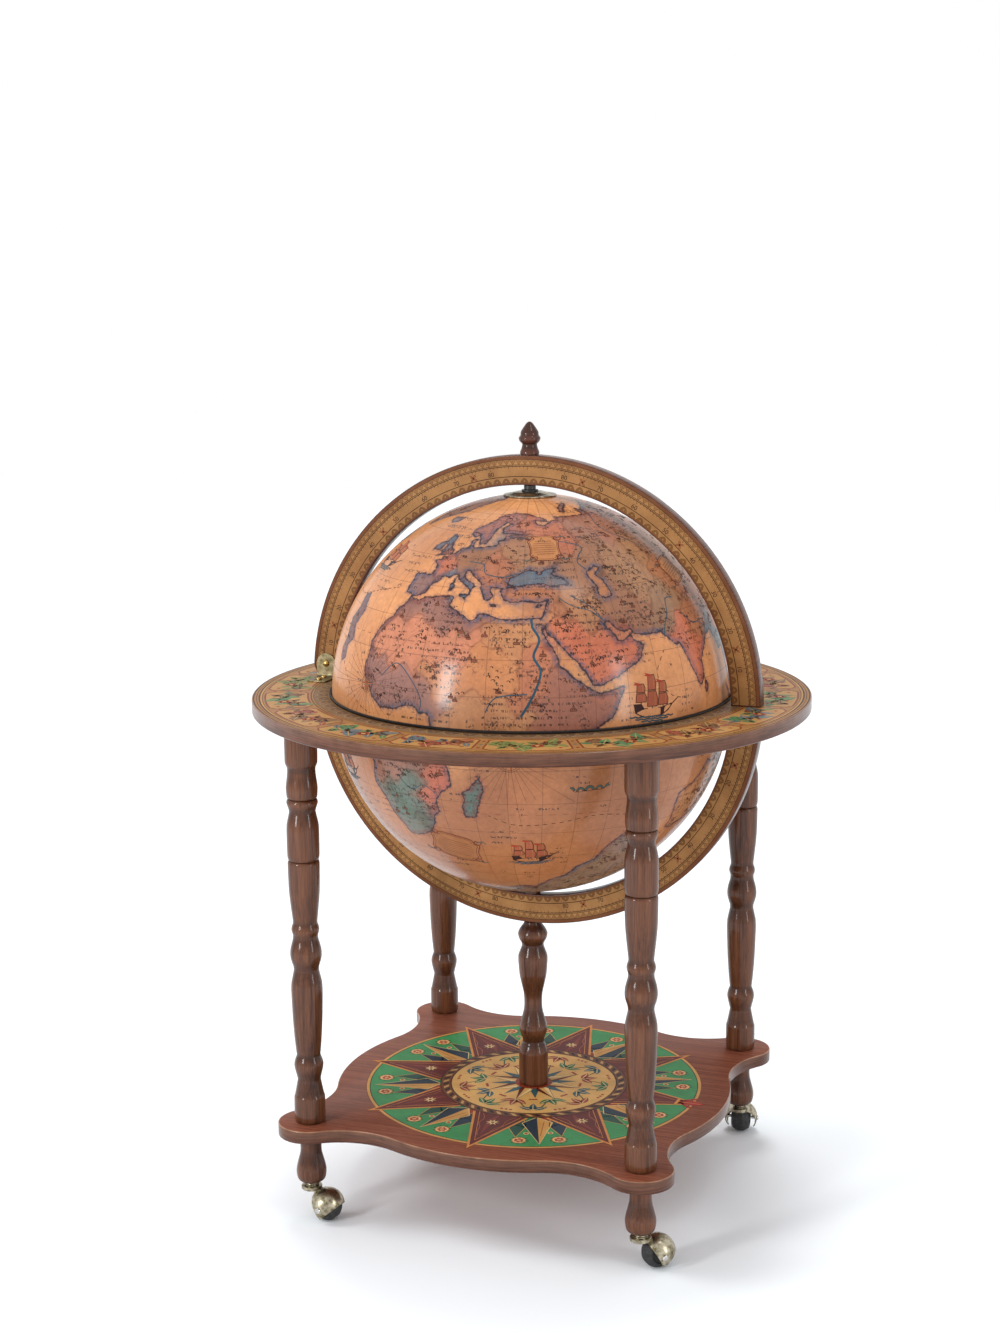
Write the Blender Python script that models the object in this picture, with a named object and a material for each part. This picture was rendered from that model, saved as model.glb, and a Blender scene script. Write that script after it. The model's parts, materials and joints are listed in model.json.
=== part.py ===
"""Globe bar: a drinks cabinet in the shape of a globe, standing on four turned legs with casters.

Frame: metres, +Z up, the origin on the floor under the globe's axis. The meridian arch lies in the
XZ plane, with its hinge at -X, and -Y is the front. The lower half of the globe is fixed in the
horizon ring and holds a bottle tray. The upper half hangs on a pin in the upper arch, turns on it,
and lifts with the arch about the hinge.
"""

import math

import bmesh
import bpy
from mathutils import Matrix, Vector

# Gaps between pieces that touch, and round a shaft in its hole
FIT = 0.0003

# Globe and meridian
GLOBE_RADIUS = 0.250
SHELL_WALL = 0.005
CENTRE_BELOW_RING_TOP = 0.002
MERIDIAN_GAP = 0.012
MERIDIAN_WIDTH = 0.037
MERIDIAN_THICKNESS = 0.0174

# Horizon ring and base board
RING_RADIUS = 0.350
RING_THICKNESS = 0.016
BOARD_THICKNESS = 0.016
BOARD_RADIUS = 0.255
LOBE_RADIUS = 0.040
FILLET_RADIUS = 0.100
LEG_OFFSET = 0.2165

# Bottle tray inside the lower half
TRAY_BELOW_RING_TOP = 0.031
TRAY_THICKNESS = 0.012
BOTTLE_WELL_RADIUS = 0.095
GLASS_HOLE_RADIUS = 0.031
GLASS_HOLE_PITCH_RADIUS = 0.168
GLASS_HOLES = 6
FLOOR_BELOW_TRAY = 0.136
FLOOR_THICKNESS = 0.010

# Spigots, rods and screws
STUD_RADIUS = 0.004
STUD_REACH = 0.020
STUD_IN_RING = 0.011
BORE_SPARE = 0.001
HEAD_RADIUS = 0.0075
HEAD_THICKNESS = 0.004
COLUMN_SCREW_REACH = 0.034
POLE_BOLT_REACH = 0.030
PEG_RADIUS = 0.003
PEG_REACH = 0.010

# Pole fittings at the top of the globe
CAP_RADIUS = 0.033
CAP_EDGE = 0.0012
CAP_CROWN_RADIUS = 0.014
CAP_CROWN_RISE = 0.0032
WASHER_RADIUS = 0.0104
WASHER_THICKNESS = 0.002
BUSH_RADIUS = 0.0074
ROD_IN_FINIAL = 0.016
NUT_RADIUS = 0.0075
NUT_THICKNESS = 0.0065
SPACER_RADIUS = 0.012
TRIM_WIDTH = 0.0032
TRIM_HEIGHT = 0.004

# Hinge of the arch
HEEL_ABOVE_RING = 0.0008
BRACKET_THICKNESS = 0.002
BRACKET_HALF_WIDTH = 0.0133
FLANGE_LENGTH = 0.031
FLANGE_SCREWS = (0.0080, 0.0225)
HINGE_BOLT_RADIUS = 0.0025
HINGE_HEAD_RADIUS = 0.0045
HINGE_HEAD_THICKNESS = 0.003
WOOD_SCREW_RADIUS = 0.0018
WOOD_SCREW_REACH = 0.011
WOOD_SCREW_HEAD_RADIUS = 0.0036
WOOD_SCREW_HEAD_THICKNESS = 0.0022
DOME_SHARE = 0.9

# Casters
WHEEL_RADIUS = 0.0192
WHEEL_HALF_WIDTH = 0.012
HOOD_GAP = 0.0016
HOOD_WALL = 0.0014
CASTER_TRAIL = 0.022
PLATE_RADIUS = 0.013
PLATE_THICKNESS = 0.0045
NECK_RADIUS = 0.009
NECK_HEIGHT = 0.0047
STEM_REACH = 0.033
BARREL = ((0.3, 1.0), (0.75, 0.87), (1.0, 0.73))
AXLE_RADIUS = 0.002
AXLE_HEAD_RADIUS = 0.0036
AXLE_HEAD_THICKNESS = 0.0013
STEM_CUT = (math.radians(209), 0.0065)
TRAIL_CUT = (math.radians(-49), 0.0105)

# Turned profiles, as (height above the piece's lower end, radius)
FOOT_PROFILE = (
    (0.000, 0.0124), (0.003, 0.0162), (0.0094, 0.0183), (0.0168, 0.0186), (0.0274, 0.0165),
    (0.0367, 0.0140), (0.046, 0.0133), (0.064, 0.0141),
)
LOWER_LEG_PROFILE = (
    (0.000, 0.0185), (0.0056, 0.0192), (0.0324, 0.0192), (0.0554, 0.0144), (0.0744, 0.0180),
    (0.0877, 0.0148), (0.158, 0.0192), (0.180, 0.0191), (0.198, 0.0156), (0.2176, 0.0195),
    (0.239, 0.0155), (0.250, 0.0172), (0.259, 0.0152), (0.287, 0.0180), (0.315, 0.0195),
    (0.330, 0.0196), (0.3366, 0.0184),
)
MIDDLE_LEG_PROFILE = (
    (0.000, 0.0184), (0.0084, 0.0198), (0.0444, 0.0198), (0.0544, 0.0178), (0.0614, 0.0163),
    (0.0729, 0.0192), (0.0774, 0.0176),
)
UPPER_LEG_PROFILE = (
    (0.000, 0.0176), (0.004, 0.0188), (0.013, 0.0193), (0.037, 0.0172), (0.046, 0.0200),
    (0.090, 0.0200),
)
COLUMN_PROFILE = (
    (0.000, 0.0180), (0.0049, 0.0189), (0.0398, 0.0187), (0.058, 0.0136), (0.0746, 0.0180),
    (0.0988, 0.0124), (0.109, 0.0115), (0.123, 0.0123), (0.1574, 0.0185), (0.171, 0.0189),
    (0.1874, 0.0141), (0.2028, 0.0190), (0.2104, 0.0155), (0.219, 0.0100),
)
FINIAL_PROFILE = (
    (0.000, 0.0119), (0.0094, 0.0096), (0.0124, 0.0093), (0.0165, 0.0126), (0.0196, 0.0135),
    (0.0227, 0.0118), (0.0282, 0.0106), (0.0337, 0.0071), (0.0396, 0.0029), (0.0411, 0.0022),
)

# Facets
GLOBE_FACETS = 40
GLOBE_ROWS = 6
RING_FACETS = 56
TURNED_FACETS = 12
SMALL_FACETS = 8
PIN_FACETS = 6
GLASS_FACETS = 12
TRIM_FACETS = 16
WHEEL_FACETS = 12
HOOD_ROWS = 6
DISC_ARC_FACETS = 6
LOBE_FACETS = 9
FILLET_FACETS = 3
BRACKET_FACETS = 10
ARCH_STEP = math.radians(6)

# Each corner's leg, as (sign of x, sign of y, the way its caster trails)
CORNERS = {
    "front_left": (-1, -1, math.radians(-7)),
    "front_right": (1, -1, math.radians(43)),
    "back_right": (1, 1, math.radians(99)),
    "back_left": (-1, 1, math.radians(156)),
}

# Heights that follow from the sizes
HOOD_RADIUS = WHEEL_RADIUS + HOOD_GAP + HOOD_WALL
PLATE_TOP = WHEEL_RADIUS + HOOD_RADIUS + FIT
FOOT_BOTTOM = PLATE_TOP + NECK_HEIGHT + 2 * FIT
BOARD_BOTTOM = FOOT_BOTTOM + FOOT_PROFILE[-1][0]
BOARD_TOP = BOARD_BOTTOM + BOARD_THICKNESS
LOWER_JOINT = BOARD_TOP + LOWER_LEG_PROFILE[-1][0]
UPPER_JOINT = LOWER_JOINT + MIDDLE_LEG_PROFILE[-1][0]
RING_BOTTOM = UPPER_JOINT + UPPER_LEG_PROFILE[-1][0]
RING_TOP = RING_BOTTOM + RING_THICKNESS
CENTRE = RING_TOP - CENTRE_BELOW_RING_TOP
TRAY_TOP = RING_TOP - TRAY_BELOW_RING_TOP
FLOOR_TOP = TRAY_TOP - TRAY_THICKNESS - FLOOR_BELOW_TRAY

# The meridian's edges, and its flats at the poles
ARCH_INNER = GLOBE_RADIUS + MERIDIAN_GAP
ARCH_OUTER = ARCH_INNER + MERIDIAN_WIDTH
INNER_FLAT = ARCH_INNER * math.cos(ARCH_STEP / 2)
OUTER_FLAT = ARCH_OUTER * math.cos(ARCH_STEP / 2)

# The hinge's axis, at the middle of the arch's heel
HEEL_RADIUS = MERIDIAN_WIDTH / 2
PIVOT_HEIGHT = RING_TOP + HEEL_ABOVE_RING + HEEL_RADIUS
PIVOT_ANGLE = math.asin((PIVOT_HEIGHT - CENTRE) / (ARCH_INNER + HEEL_RADIUS))
PIVOT = Vector((-(ARCH_INNER + HEEL_RADIUS) * math.cos(PIVOT_ANGLE), 0.0, PIVOT_HEIGHT))

WOOD = ("walnut_stain", (0.135, 0.048, 0.026), 0.38, 0.0)
PRINTED_WOOD = ("printed_band", (0.42, 0.22, 0.07), 0.42, 0.0)
MAP_PAPER = ("map_paper", (0.60, 0.25, 0.10), 0.40, 0.0)
INNER_WOOD = ("pale_wood", (0.40, 0.22, 0.10), 0.50, 0.0)
BRASS = ("brass", (0.52, 0.40, 0.18), 0.28, 1.0)
STEEL = ("zinc_plated_steel", (0.55, 0.55, 0.55), 0.35, 1.0)
BLACK_PLASTIC = ("black_plastic", (0.012, 0.012, 0.012), 0.40, 0.0)
RUBBER = ("grey_rubber", (0.035, 0.035, 0.038), 0.60, 0.0)
CORD = ("black_cord", (0.010, 0.009, 0.009), 0.70, 0.0)


def clear_scene():
    """Removes whatever the scene holds at the start."""
    for found in list(bpy.data.objects):
        bpy.data.objects.remove(found, do_unlink=True)


def finish_of(finish):
    """The material of a finish given as (name, colour, roughness, metallic)."""
    name, colour, roughness, metallic = finish
    material = bpy.data.materials.get(name)
    if material is None:
        material = bpy.data.materials.new(name)
        material.use_nodes = True
        shader = material.node_tree.nodes["Principled BSDF"]
        shader.inputs["Base Color"].default_value = (*colour, 1.0)
        shader.inputs["Roughness"].default_value = roughness
        shader.inputs["Metallic"].default_value = metallic
    return material


def add_object(name, data, finish=None, parent=None, place=None):
    """Links an object for a mesh, at a place in its parent's space."""
    created = bpy.data.objects.new(name, data)
    bpy.context.scene.collection.objects.link(created)
    if finish and not data.materials:
        data.materials.append(finish_of(finish))
    if parent:
        created.parent = parent
    if place:
        created.matrix_basis = place
    return created


def add_pivot(name, place, parent=None):
    """An empty on a joint's axis, which carries the pieces that move."""
    pivot = bpy.data.objects.new(name, None)
    bpy.context.scene.collection.objects.link(pivot)
    pivot.parent = parent
    pivot.matrix_basis = place
    return pivot


def mesh_of(name, shape):
    """Turns a bmesh into a mesh with smooth faces and sharp edges, facing out."""
    bmesh.ops.recalc_face_normals(shape, faces=shape.faces)
    data = bpy.data.meshes.new(name)
    shape.to_mesh(data)
    shape.free()
    data.shade_smooth()
    data.set_sharp_from_angle(angle=math.radians(35))
    return data


def turned(name, profile, facets=TURNED_FACETS, closed=False):
    """Spins a profile of (height, radius) points round Z; a closed one leaves a bore."""
    shape = bmesh.new()
    points = [shape.verts.new((radius, 0.0, height)) for height, radius in profile]
    if closed:
        ends = list(zip(points, points[1:] + points[:1]))
    else:
        low = shape.verts.new((0.0, 0.0, profile[0][0]))
        high = shape.verts.new((0.0, 0.0, profile[-1][0]))
        chain = [low, *points, high]
        ends = list(zip(chain, chain[1:]))
    edges = [shape.edges.new(pair) for pair in ends]
    bmesh.ops.spin(
        shape,
        geom=[*shape.verts, *edges],
        cent=(0.0, 0.0, 0.0),
        axis=(0.0, 0.0, 1.0),
        angle=math.tau,
        steps=facets,
        use_merge=True,
    )
    bmesh.ops.remove_doubles(shape, verts=shape.verts, dist=1e-6)
    return mesh_of(name, shape)


def stretched(profile, low, high):
    """The profile set between two heights, with a fit's gap under it."""
    bottom = low + FIT
    share = (high - bottom) / (profile[-1][0] - profile[0][0])
    return [(bottom + (height - profile[0][0]) * share, radius) for height, radius in profile]


def rod(low, high, radius):
    """The profile of a plain rod."""
    return [(low, radius), (high, radius)]


def washer(low, high, outer, inner):
    """The closed profile of a flat ring."""
    return [(low, inner), (low, outer), (high, outer), (high, inner)]


def slab(name, outline, thickness):
    """A flat outline in XY raised to a thickness in Z."""
    shape = bmesh.new()
    face = shape.faces.new([shape.verts.new((x, y, 0.0)) for x, y in outline])
    raised = bmesh.ops.extrude_face_region(shape, geom=[face])
    moved = [item for item in raised["geom"] if isinstance(item, bmesh.types.BMVert)]
    bmesh.ops.translate(shape, verts=moved, vec=(0.0, 0.0, thickness))
    return mesh_of(name, shape)


def along(direction, centre):
    """A place at a centre, with local Z turned to a direction."""
    turn = Vector((0.0, 0.0, 1.0)).rotation_difference(Vector(direction)).to_matrix().to_4x4()
    return Matrix.Translation(centre) @ turn


def joined(name, parts):
    """One mesh of several separate solids, each a mesh and its place."""
    shape = bmesh.new()
    for data, place in parts:
        data.transform(place)
        shape.from_mesh(data)
        bpy.data.meshes.remove(data)
    return mesh_of(name, shape)


def drills(name, holes):
    """Cutting rods as one mesh, from (centre, direction, shaft radius, length, facets).

    The facets of each hole clear the shaft's corners by the fit.
    """
    parts = []
    for centre, direction, radius, length, facets in holes:
        wide = (radius + FIT) / math.cos(math.pi / facets)
        parts.append((turned(name, rod(-length / 2, length / 2, wide), facets), along(direction, centre)))
    return joined(name, parts)


def shaped(data, steps):
    """The mesh after a row of Boolean steps, each an operation and a helper mesh."""
    body = add_object("working_body", data)
    helpers = []
    for operation, helper_data in steps:
        helper = add_object("cutter", helper_data)
        helper.hide_render = True
        helper.display_type = "WIRE"
        helpers.append(helper)
        step = body.modifiers.new(operation.lower(), "BOOLEAN")
        step.operation = operation
        step.object = helper
    bpy.context.view_layer.update()
    evaluated = body.evaluated_get(bpy.context.evaluated_depsgraph_get())
    result = bpy.data.meshes.new_from_object(evaluated)
    result.name = data.name
    for used in (body, *helpers):
        mesh = used.data
        bpy.data.objects.remove(used, do_unlink=True)
        bpy.data.meshes.remove(mesh)
    result.materials.clear()
    result.shade_smooth()
    result.set_sharp_from_angle(angle=math.radians(35))
    return result


def circle(radius, facets, start=0.0, sweep=math.tau, centre=(0.0, 0.0), ends=False):
    """Points on an arc; with ends, the last point of the sweep is there too."""
    count = facets + 1 if ends else facets
    return [
        (
            centre[0] + radius * math.cos(start + sweep * step / facets),
            centre[1] + radius * math.sin(start + sweep * step / facets),
        )
        for step in range(count)
    ]


def dome_profile(radius, rim, hole, seat):
    """Half a globe's (height, radius) points above its centre, from the rim to the pole's hole.

    A row lies at the seat's radius, so that a piece of that radius bears on it.
    """
    first = math.asin(rim / radius)
    last = math.acos(seat / radius)
    angles = [first + (last - first) * row / (GLOBE_ROWS - 1) for row in range(GLOBE_ROWS)]
    angles.append(math.acos(hole / radius))
    return [(radius * math.sin(angle), radius * math.cos(angle)) for angle in angles]


def height_on(profile, radius):
    """The height of a profile's straight facets at a radius."""
    for (low, wide), (high, narrow) in zip(profile, profile[1:]):
        if narrow <= radius <= wide:
            return low + (high - low) * (wide - radius) / (wide - narrow)
    return profile[-1][0]


def radius_on(profile, height):
    """The radius of a profile's straight facets at a height."""
    for (low, wide), (high, narrow) in zip(profile, profile[1:]):
        if low <= height <= high:
            return wide + (narrow - wide) * (height - low) / (high - low)
    return profile[0][1]


def shell(name, rim, seat, upwards):
    """Half of the globe's shell, as a mesh about the globe's centre."""
    hole = STUD_RADIUS + FIT
    outer = dome_profile(GLOBE_RADIUS, rim, hole, seat)
    inner = dome_profile(GLOBE_RADIUS - SHELL_WALL, rim, hole, seat)
    sign = 1 if upwards else -1
    profile = [(sign * height, radius) for height, radius in outer + inner[::-1]]
    return turned(name, profile, GLOBE_FACETS, closed=True)


def arc_edge(radius, foot, heel=None):
    """One edge of the meridian from its foot's height, over the pole, to the other foot or to the heel."""
    first = math.asin(foot / radius)
    last = math.pi - first if heel is None else heel
    steps = range(-math.floor(math.pi / ARCH_STEP), math.floor(math.pi / ARCH_STEP))
    angles = [math.pi / 2 + (step + 0.5) * ARCH_STEP for step in steps]
    spare = ARCH_STEP / 8
    inside = [angle for angle in angles if first + spare < angle < last - spare]
    points = [(radius * math.cos(angle), radius * math.sin(angle)) for angle in inside]
    points.insert(0, (radius * math.cos(first), foot))
    if heel is None:
        points.append((-radius * math.cos(first), foot))
    return points


def band(name, foot, heel=None):
    """A flat arc of the meridian, as a mesh standing in XZ about the globe's centre.

    Its angles are even about the pole, where a straight facet lies. It stands on a foot's height,
    and a heel is the angle of a round end.
    """
    outer = arc_edge(ARCH_OUTER, foot, heel)
    inner = arc_edge(ARCH_INNER, foot, heel)
    end = []
    if heel is not None:
        middle = ARCH_INNER + HEEL_RADIUS
        centre = (middle * math.cos(heel), middle * math.sin(heel))
        end = circle(HEEL_RADIUS, SMALL_FACETS, heel, math.pi, centre, ends=True)
    data = slab(name, outer + end + inner[::-1], MERIDIAN_THICKNESS)
    data.transform(Matrix.Translation((0.0, 0.0, -MERIDIAN_THICKNESS / 2)))
    data.transform(Matrix.Rotation(math.pi / 2, 4, "X"))
    return data


def board_outline():
    """The base board: a disc with a round lobe at each leg, run together by hollow fillets."""
    reach = math.hypot(LEG_OFFSET, LEG_OFFSET)
    hollow = BOARD_RADIUS + FILLET_RADIUS
    span = FILLET_RADIUS + LOBE_RADIUS
    between = math.acos((hollow**2 + reach**2 - span**2) / (2 * hollow * reach))
    points = []
    for quarter in range(4):
        corner = math.pi / 4 + quarter * math.pi / 2
        lobe = (reach * math.cos(corner), reach * math.sin(corner))
        side = corner - between
        other = corner + between
        entry = (hollow * math.cos(side), hollow * math.sin(side))
        leave = (hollow * math.cos(other), hollow * math.sin(other))
        from_disc = corner - math.pi / 2 + between
        points += circle(BOARD_RADIUS, DISC_ARC_FACETS, from_disc, side - from_disc)
        turn_in = math.atan2(lobe[1] - entry[1], lobe[0] - entry[0])
        points += hollow_arc(entry, side + math.pi, turn_in)
        turn_out = math.atan2(leave[1] - lobe[1], leave[0] - lobe[0])
        start = turn_in + math.pi
        points += circle(LOBE_RADIUS, LOBE_FACETS, start, (turn_out - start) % math.tau, lobe)
        points += hollow_arc(leave, turn_out + math.pi, other + math.pi)
    return points


def hollow_arc(centre, start, end):
    """A fillet's points, which run against the outline's turn."""
    sweep = -((start - end) % math.tau)
    return circle(FILLET_RADIUS, FILLET_FACETS, start, sweep, centre)


def leg_places():
    """Each corner's name and its leg's place on the floor plan."""
    for corner, (side, front, _) in CORNERS.items():
        yield corner, side * LEG_OFFSET, front * LEG_OFFSET


def bored(name, profile, low, high, below=0.0, above=0.0, spigot=0.0):
    """A turned piece between two heights, bored at its ends, or with a spigot on its top."""
    holes = []
    for end, depth, sign in ((low, below, 1), (high, above, -1)):
        if depth:
            middle = (0.0, 0.0, end + sign * (depth + BORE_SPARE) / 2)
            holes.append((middle, (0, 0, 1), STUD_RADIUS, depth + BORE_SPARE + 4 * FIT, SMALL_FACETS))
    outline = stretched(profile, low, high)
    if spigot:
        outline += rod(high, high + spigot, STUD_RADIUS)
    return shaped(turned(name, outline), [("DIFFERENCE", drills("bores", holes))])


def build_legs():
    """Four legs of three turned pieces each, with their feet, joined by spigots."""
    through = BOARD_THICKNESS + FIT + STUD_REACH
    turnings = (
        ("foot", FOOT_PROFILE, FOOT_BOTTOM - FIT, BOARD_BOTTOM - FIT, STEM_REACH, through),
        ("leg_lower", LOWER_LEG_PROFILE, BOARD_TOP, LOWER_JOINT, STUD_REACH, STUD_REACH),
        ("leg_middle", MIDDLE_LEG_PROFILE, LOWER_JOINT, UPPER_JOINT, STUD_REACH, STUD_REACH),
        ("leg_upper", UPPER_LEG_PROFILE, UPPER_JOINT, RING_BOTTOM - FIT, STUD_REACH, STUD_IN_RING),
    )
    pieces = {
        prefix: bored(prefix, profile, low, high, bore, spigot=spigot)
        for prefix, profile, low, high, bore, spigot in turnings
    }
    for corner, x, y in leg_places():
        for prefix, data in pieces.items():
            add_object(f"{prefix}_{corner}", data, WOOD, place=Matrix.Translation((x, y, 0.0)))


def build_board():
    """The base board on the feet, drilled for the feet's spigots and the column's screw."""
    data = slab("base_board", board_outline(), BOARD_THICKNESS)
    data.transform(Matrix.Translation((0.0, 0.0, BOARD_BOTTOM)))
    length = BOARD_THICKNESS * 2
    middle = BOARD_BOTTOM + BOARD_THICKNESS / 2
    places = [(0.0, 0.0), *((x, y) for _, x, y in leg_places())]
    holes = [((x, y, middle), (0, 0, 1), STUD_RADIUS, length, SMALL_FACETS) for x, y in places]
    sink = HEAD_THICKNESS + BORE_SPARE
    counterbore = [((0.0, 0.0, BOARD_BOTTOM), (0, 0, 1), HEAD_RADIUS, 2 * sink, TURNED_FACETS)]
    steps = [("DIFFERENCE", drills("drill", holes)), ("DIFFERENCE", drills("sink", counterbore))]
    add_object("base_board", shaped(data, steps), WOOD)


def headed(name, low, head, high):
    """A screw that stands upright with its head below."""
    profile = [(low, HEAD_RADIUS), (head, HEAD_RADIUS), (head, STUD_RADIUS), (high, STUD_RADIUS)]
    return turned(name, profile, SMALL_FACETS)


def build_column():
    """The turned column under the meridian, and the screw that holds it to the board."""
    top = CENTRE - OUTER_FLAT - FIT
    screw = COLUMN_SCREW_REACH
    column = bored("centre_column", COLUMN_PROFILE, BOARD_TOP, top, screw, POLE_BOLT_REACH)
    add_object("centre_column", column, WOOD)
    head = BOARD_BOTTOM + BORE_SPARE + HEAD_THICKNESS - FIT
    data = headed("column_screw", head - HEAD_THICKNESS, head, BOARD_TOP + screw)
    add_object("column_screw", data, STEEL)


def build_ring():
    """The horizon ring on the legs, drilled for the spigots, pegs and bracket screws."""
    data = turned("horizon_ring", rod(RING_BOTTOM, RING_TOP, RING_RADIUS), RING_FACETS)
    hollow = turned("ring_bore", rod(RING_BOTTOM - FIT, RING_TOP + FIT, GLOBE_RADIUS + FIT), GLOBE_FACETS)
    holes = []
    for _, x, y in leg_places():
        depth = STUD_IN_RING + BORE_SPARE
        holes.append(((x, y, RING_BOTTOM), (0, 0, 1), STUD_RADIUS, 2 * depth, SMALL_FACETS))
    for x in peg_places():
        depth = PEG_REACH + BORE_SPARE
        holes.append(((x, 0.0, RING_BOTTOM), (0, 0, 1), PEG_RADIUS, 2 * depth, PIN_FACETS))
    for y in screw_places():
        depth = WOOD_SCREW_REACH + BORE_SPARE
        holes.append(((PIVOT.x, y, RING_TOP), (0, 0, 1), WOOD_SCREW_RADIUS, 2 * depth, PIN_FACETS))
    steps = [("DIFFERENCE", hollow), ("DIFFERENCE", drills("ring_holes", holes))]
    add_object("horizon_ring", shaped(data, steps), PRINTED_WOOD)


def peg_places():
    """Where the lower meridian's two ends are pegged to the ring."""
    middle = ARCH_INNER + MERIDIAN_WIDTH / 2
    return (-middle, middle)


def screw_places():
    """Where the screws of the two hinge brackets stand, across the arch."""
    face = MERIDIAN_THICKNESS / 2 + FIT + BRACKET_THICKNESS
    return [side * (face + reach) for side in (-1, 1) for reach in FLANGE_SCREWS]


def build_lower_globe():
    """The fixed half of the globe with its meridian, spacer, bolt, tray and bottle floor."""
    place = Matrix.Translation((0.0, 0.0, CENTRE))
    half = shell("lower_hemisphere", 0.0, HEAD_RADIUS, upwards=False)
    add_object("lower_hemisphere", half, MAP_PAPER, place=place)

    arc = band("lower_meridian", CENTRE - RING_BOTTOM + FIT)
    arc.transform(Matrix.Diagonal((1.0, 1.0, -1.0, 1.0)))
    arc.flip_normals()
    middle = (0.0, 0.0, -(INNER_FLAT + OUTER_FLAT) / 2)
    holes = [(middle, (0, 0, 1), STUD_RADIUS, 2 * MERIDIAN_WIDTH, SMALL_FACETS)]
    peg_top = RING_BOTTOM + PEG_REACH - CENTRE
    pegs = []
    for x in peg_places():
        peg = turned("peg", rod(peg_top - 2 * PEG_REACH, peg_top, PEG_RADIUS), PIN_FACETS)
        pegs.append((peg, Matrix.Translation((x, 0.0, 0.0))))
    steps = [("UNION", joined("pegs", pegs)), ("DIFFERENCE", drills("meridian_hole", holes))]
    add_object("lower_meridian", shaped(arc, steps), PRINTED_WOOD, place=place)

    hole = STUD_RADIUS + FIT
    outer = dome_profile(GLOBE_RADIUS, 0.0, hole, HEAD_RADIUS)
    inner = dome_profile(GLOBE_RADIUS - SHELL_WALL, 0.0, hole, HEAD_RADIUS)
    low = CENTRE - INNER_FLAT + FIT
    high = CENTRE - outer[-1][0] - FIT
    spacer = turned("south_spacer", washer(low, high, SPACER_RADIUS, hole), closed=True)
    add_object("south_spacer", spacer, WOOD)

    seat = CENTRE - height_on(inner, HEAD_RADIUS) + FIT
    end = CENTRE - OUTER_FLAT - POLE_BOLT_REACH
    bolt = rod(end, seat, STUD_RADIUS) + rod(seat, seat + HEAD_THICKNESS, HEAD_RADIUS)
    add_object("south_pole_bolt", turned("south_pole_bolt", bolt, SMALL_FACETS), STEEL)

    build_tray(inner)


def build_tray(bowl):
    """The tray for glasses round the bottle well, and the floor that the bottles stand on."""
    tray = bowl_disc("bottle_tray", bowl, TRAY_TOP, TRAY_THICKNESS, BOTTLE_WELL_RADIUS)
    middle = TRAY_TOP - TRAY_THICKNESS / 2
    holes = []
    for x, y in circle(GLASS_HOLE_PITCH_RADIUS, GLASS_HOLES):
        holes.append(((x, y, middle), (0, 0, 1), GLASS_HOLE_RADIUS, 2 * TRAY_THICKNESS, GLASS_FACETS))
    steps = [("DIFFERENCE", drills("glass_holes", holes))]
    add_object("bottle_tray", shaped(tray, steps), INNER_WOOD)
    add_object("bottle_floor", bowl_disc("bottle_floor", bowl, FLOOR_TOP, FLOOR_THICKNESS), INNER_WOOD)


def bowl_disc(name, bowl, top, thickness, hole=None):
    """A disc that seats in the lower half's bowl, with its edge cut to the bowl's slope."""
    upper = radius_on(bowl, CENTRE - top) - FIT
    lower = radius_on(bowl, CENTRE - top + thickness) - FIT
    edge = [(top - thickness, lower), (top, upper)]
    if hole is None:
        return turned(name, edge, GLOBE_FACETS)
    return turned(name, [(top - thickness, hole), *edge, (top, hole)], GLOBE_FACETS, closed=True)


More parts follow.
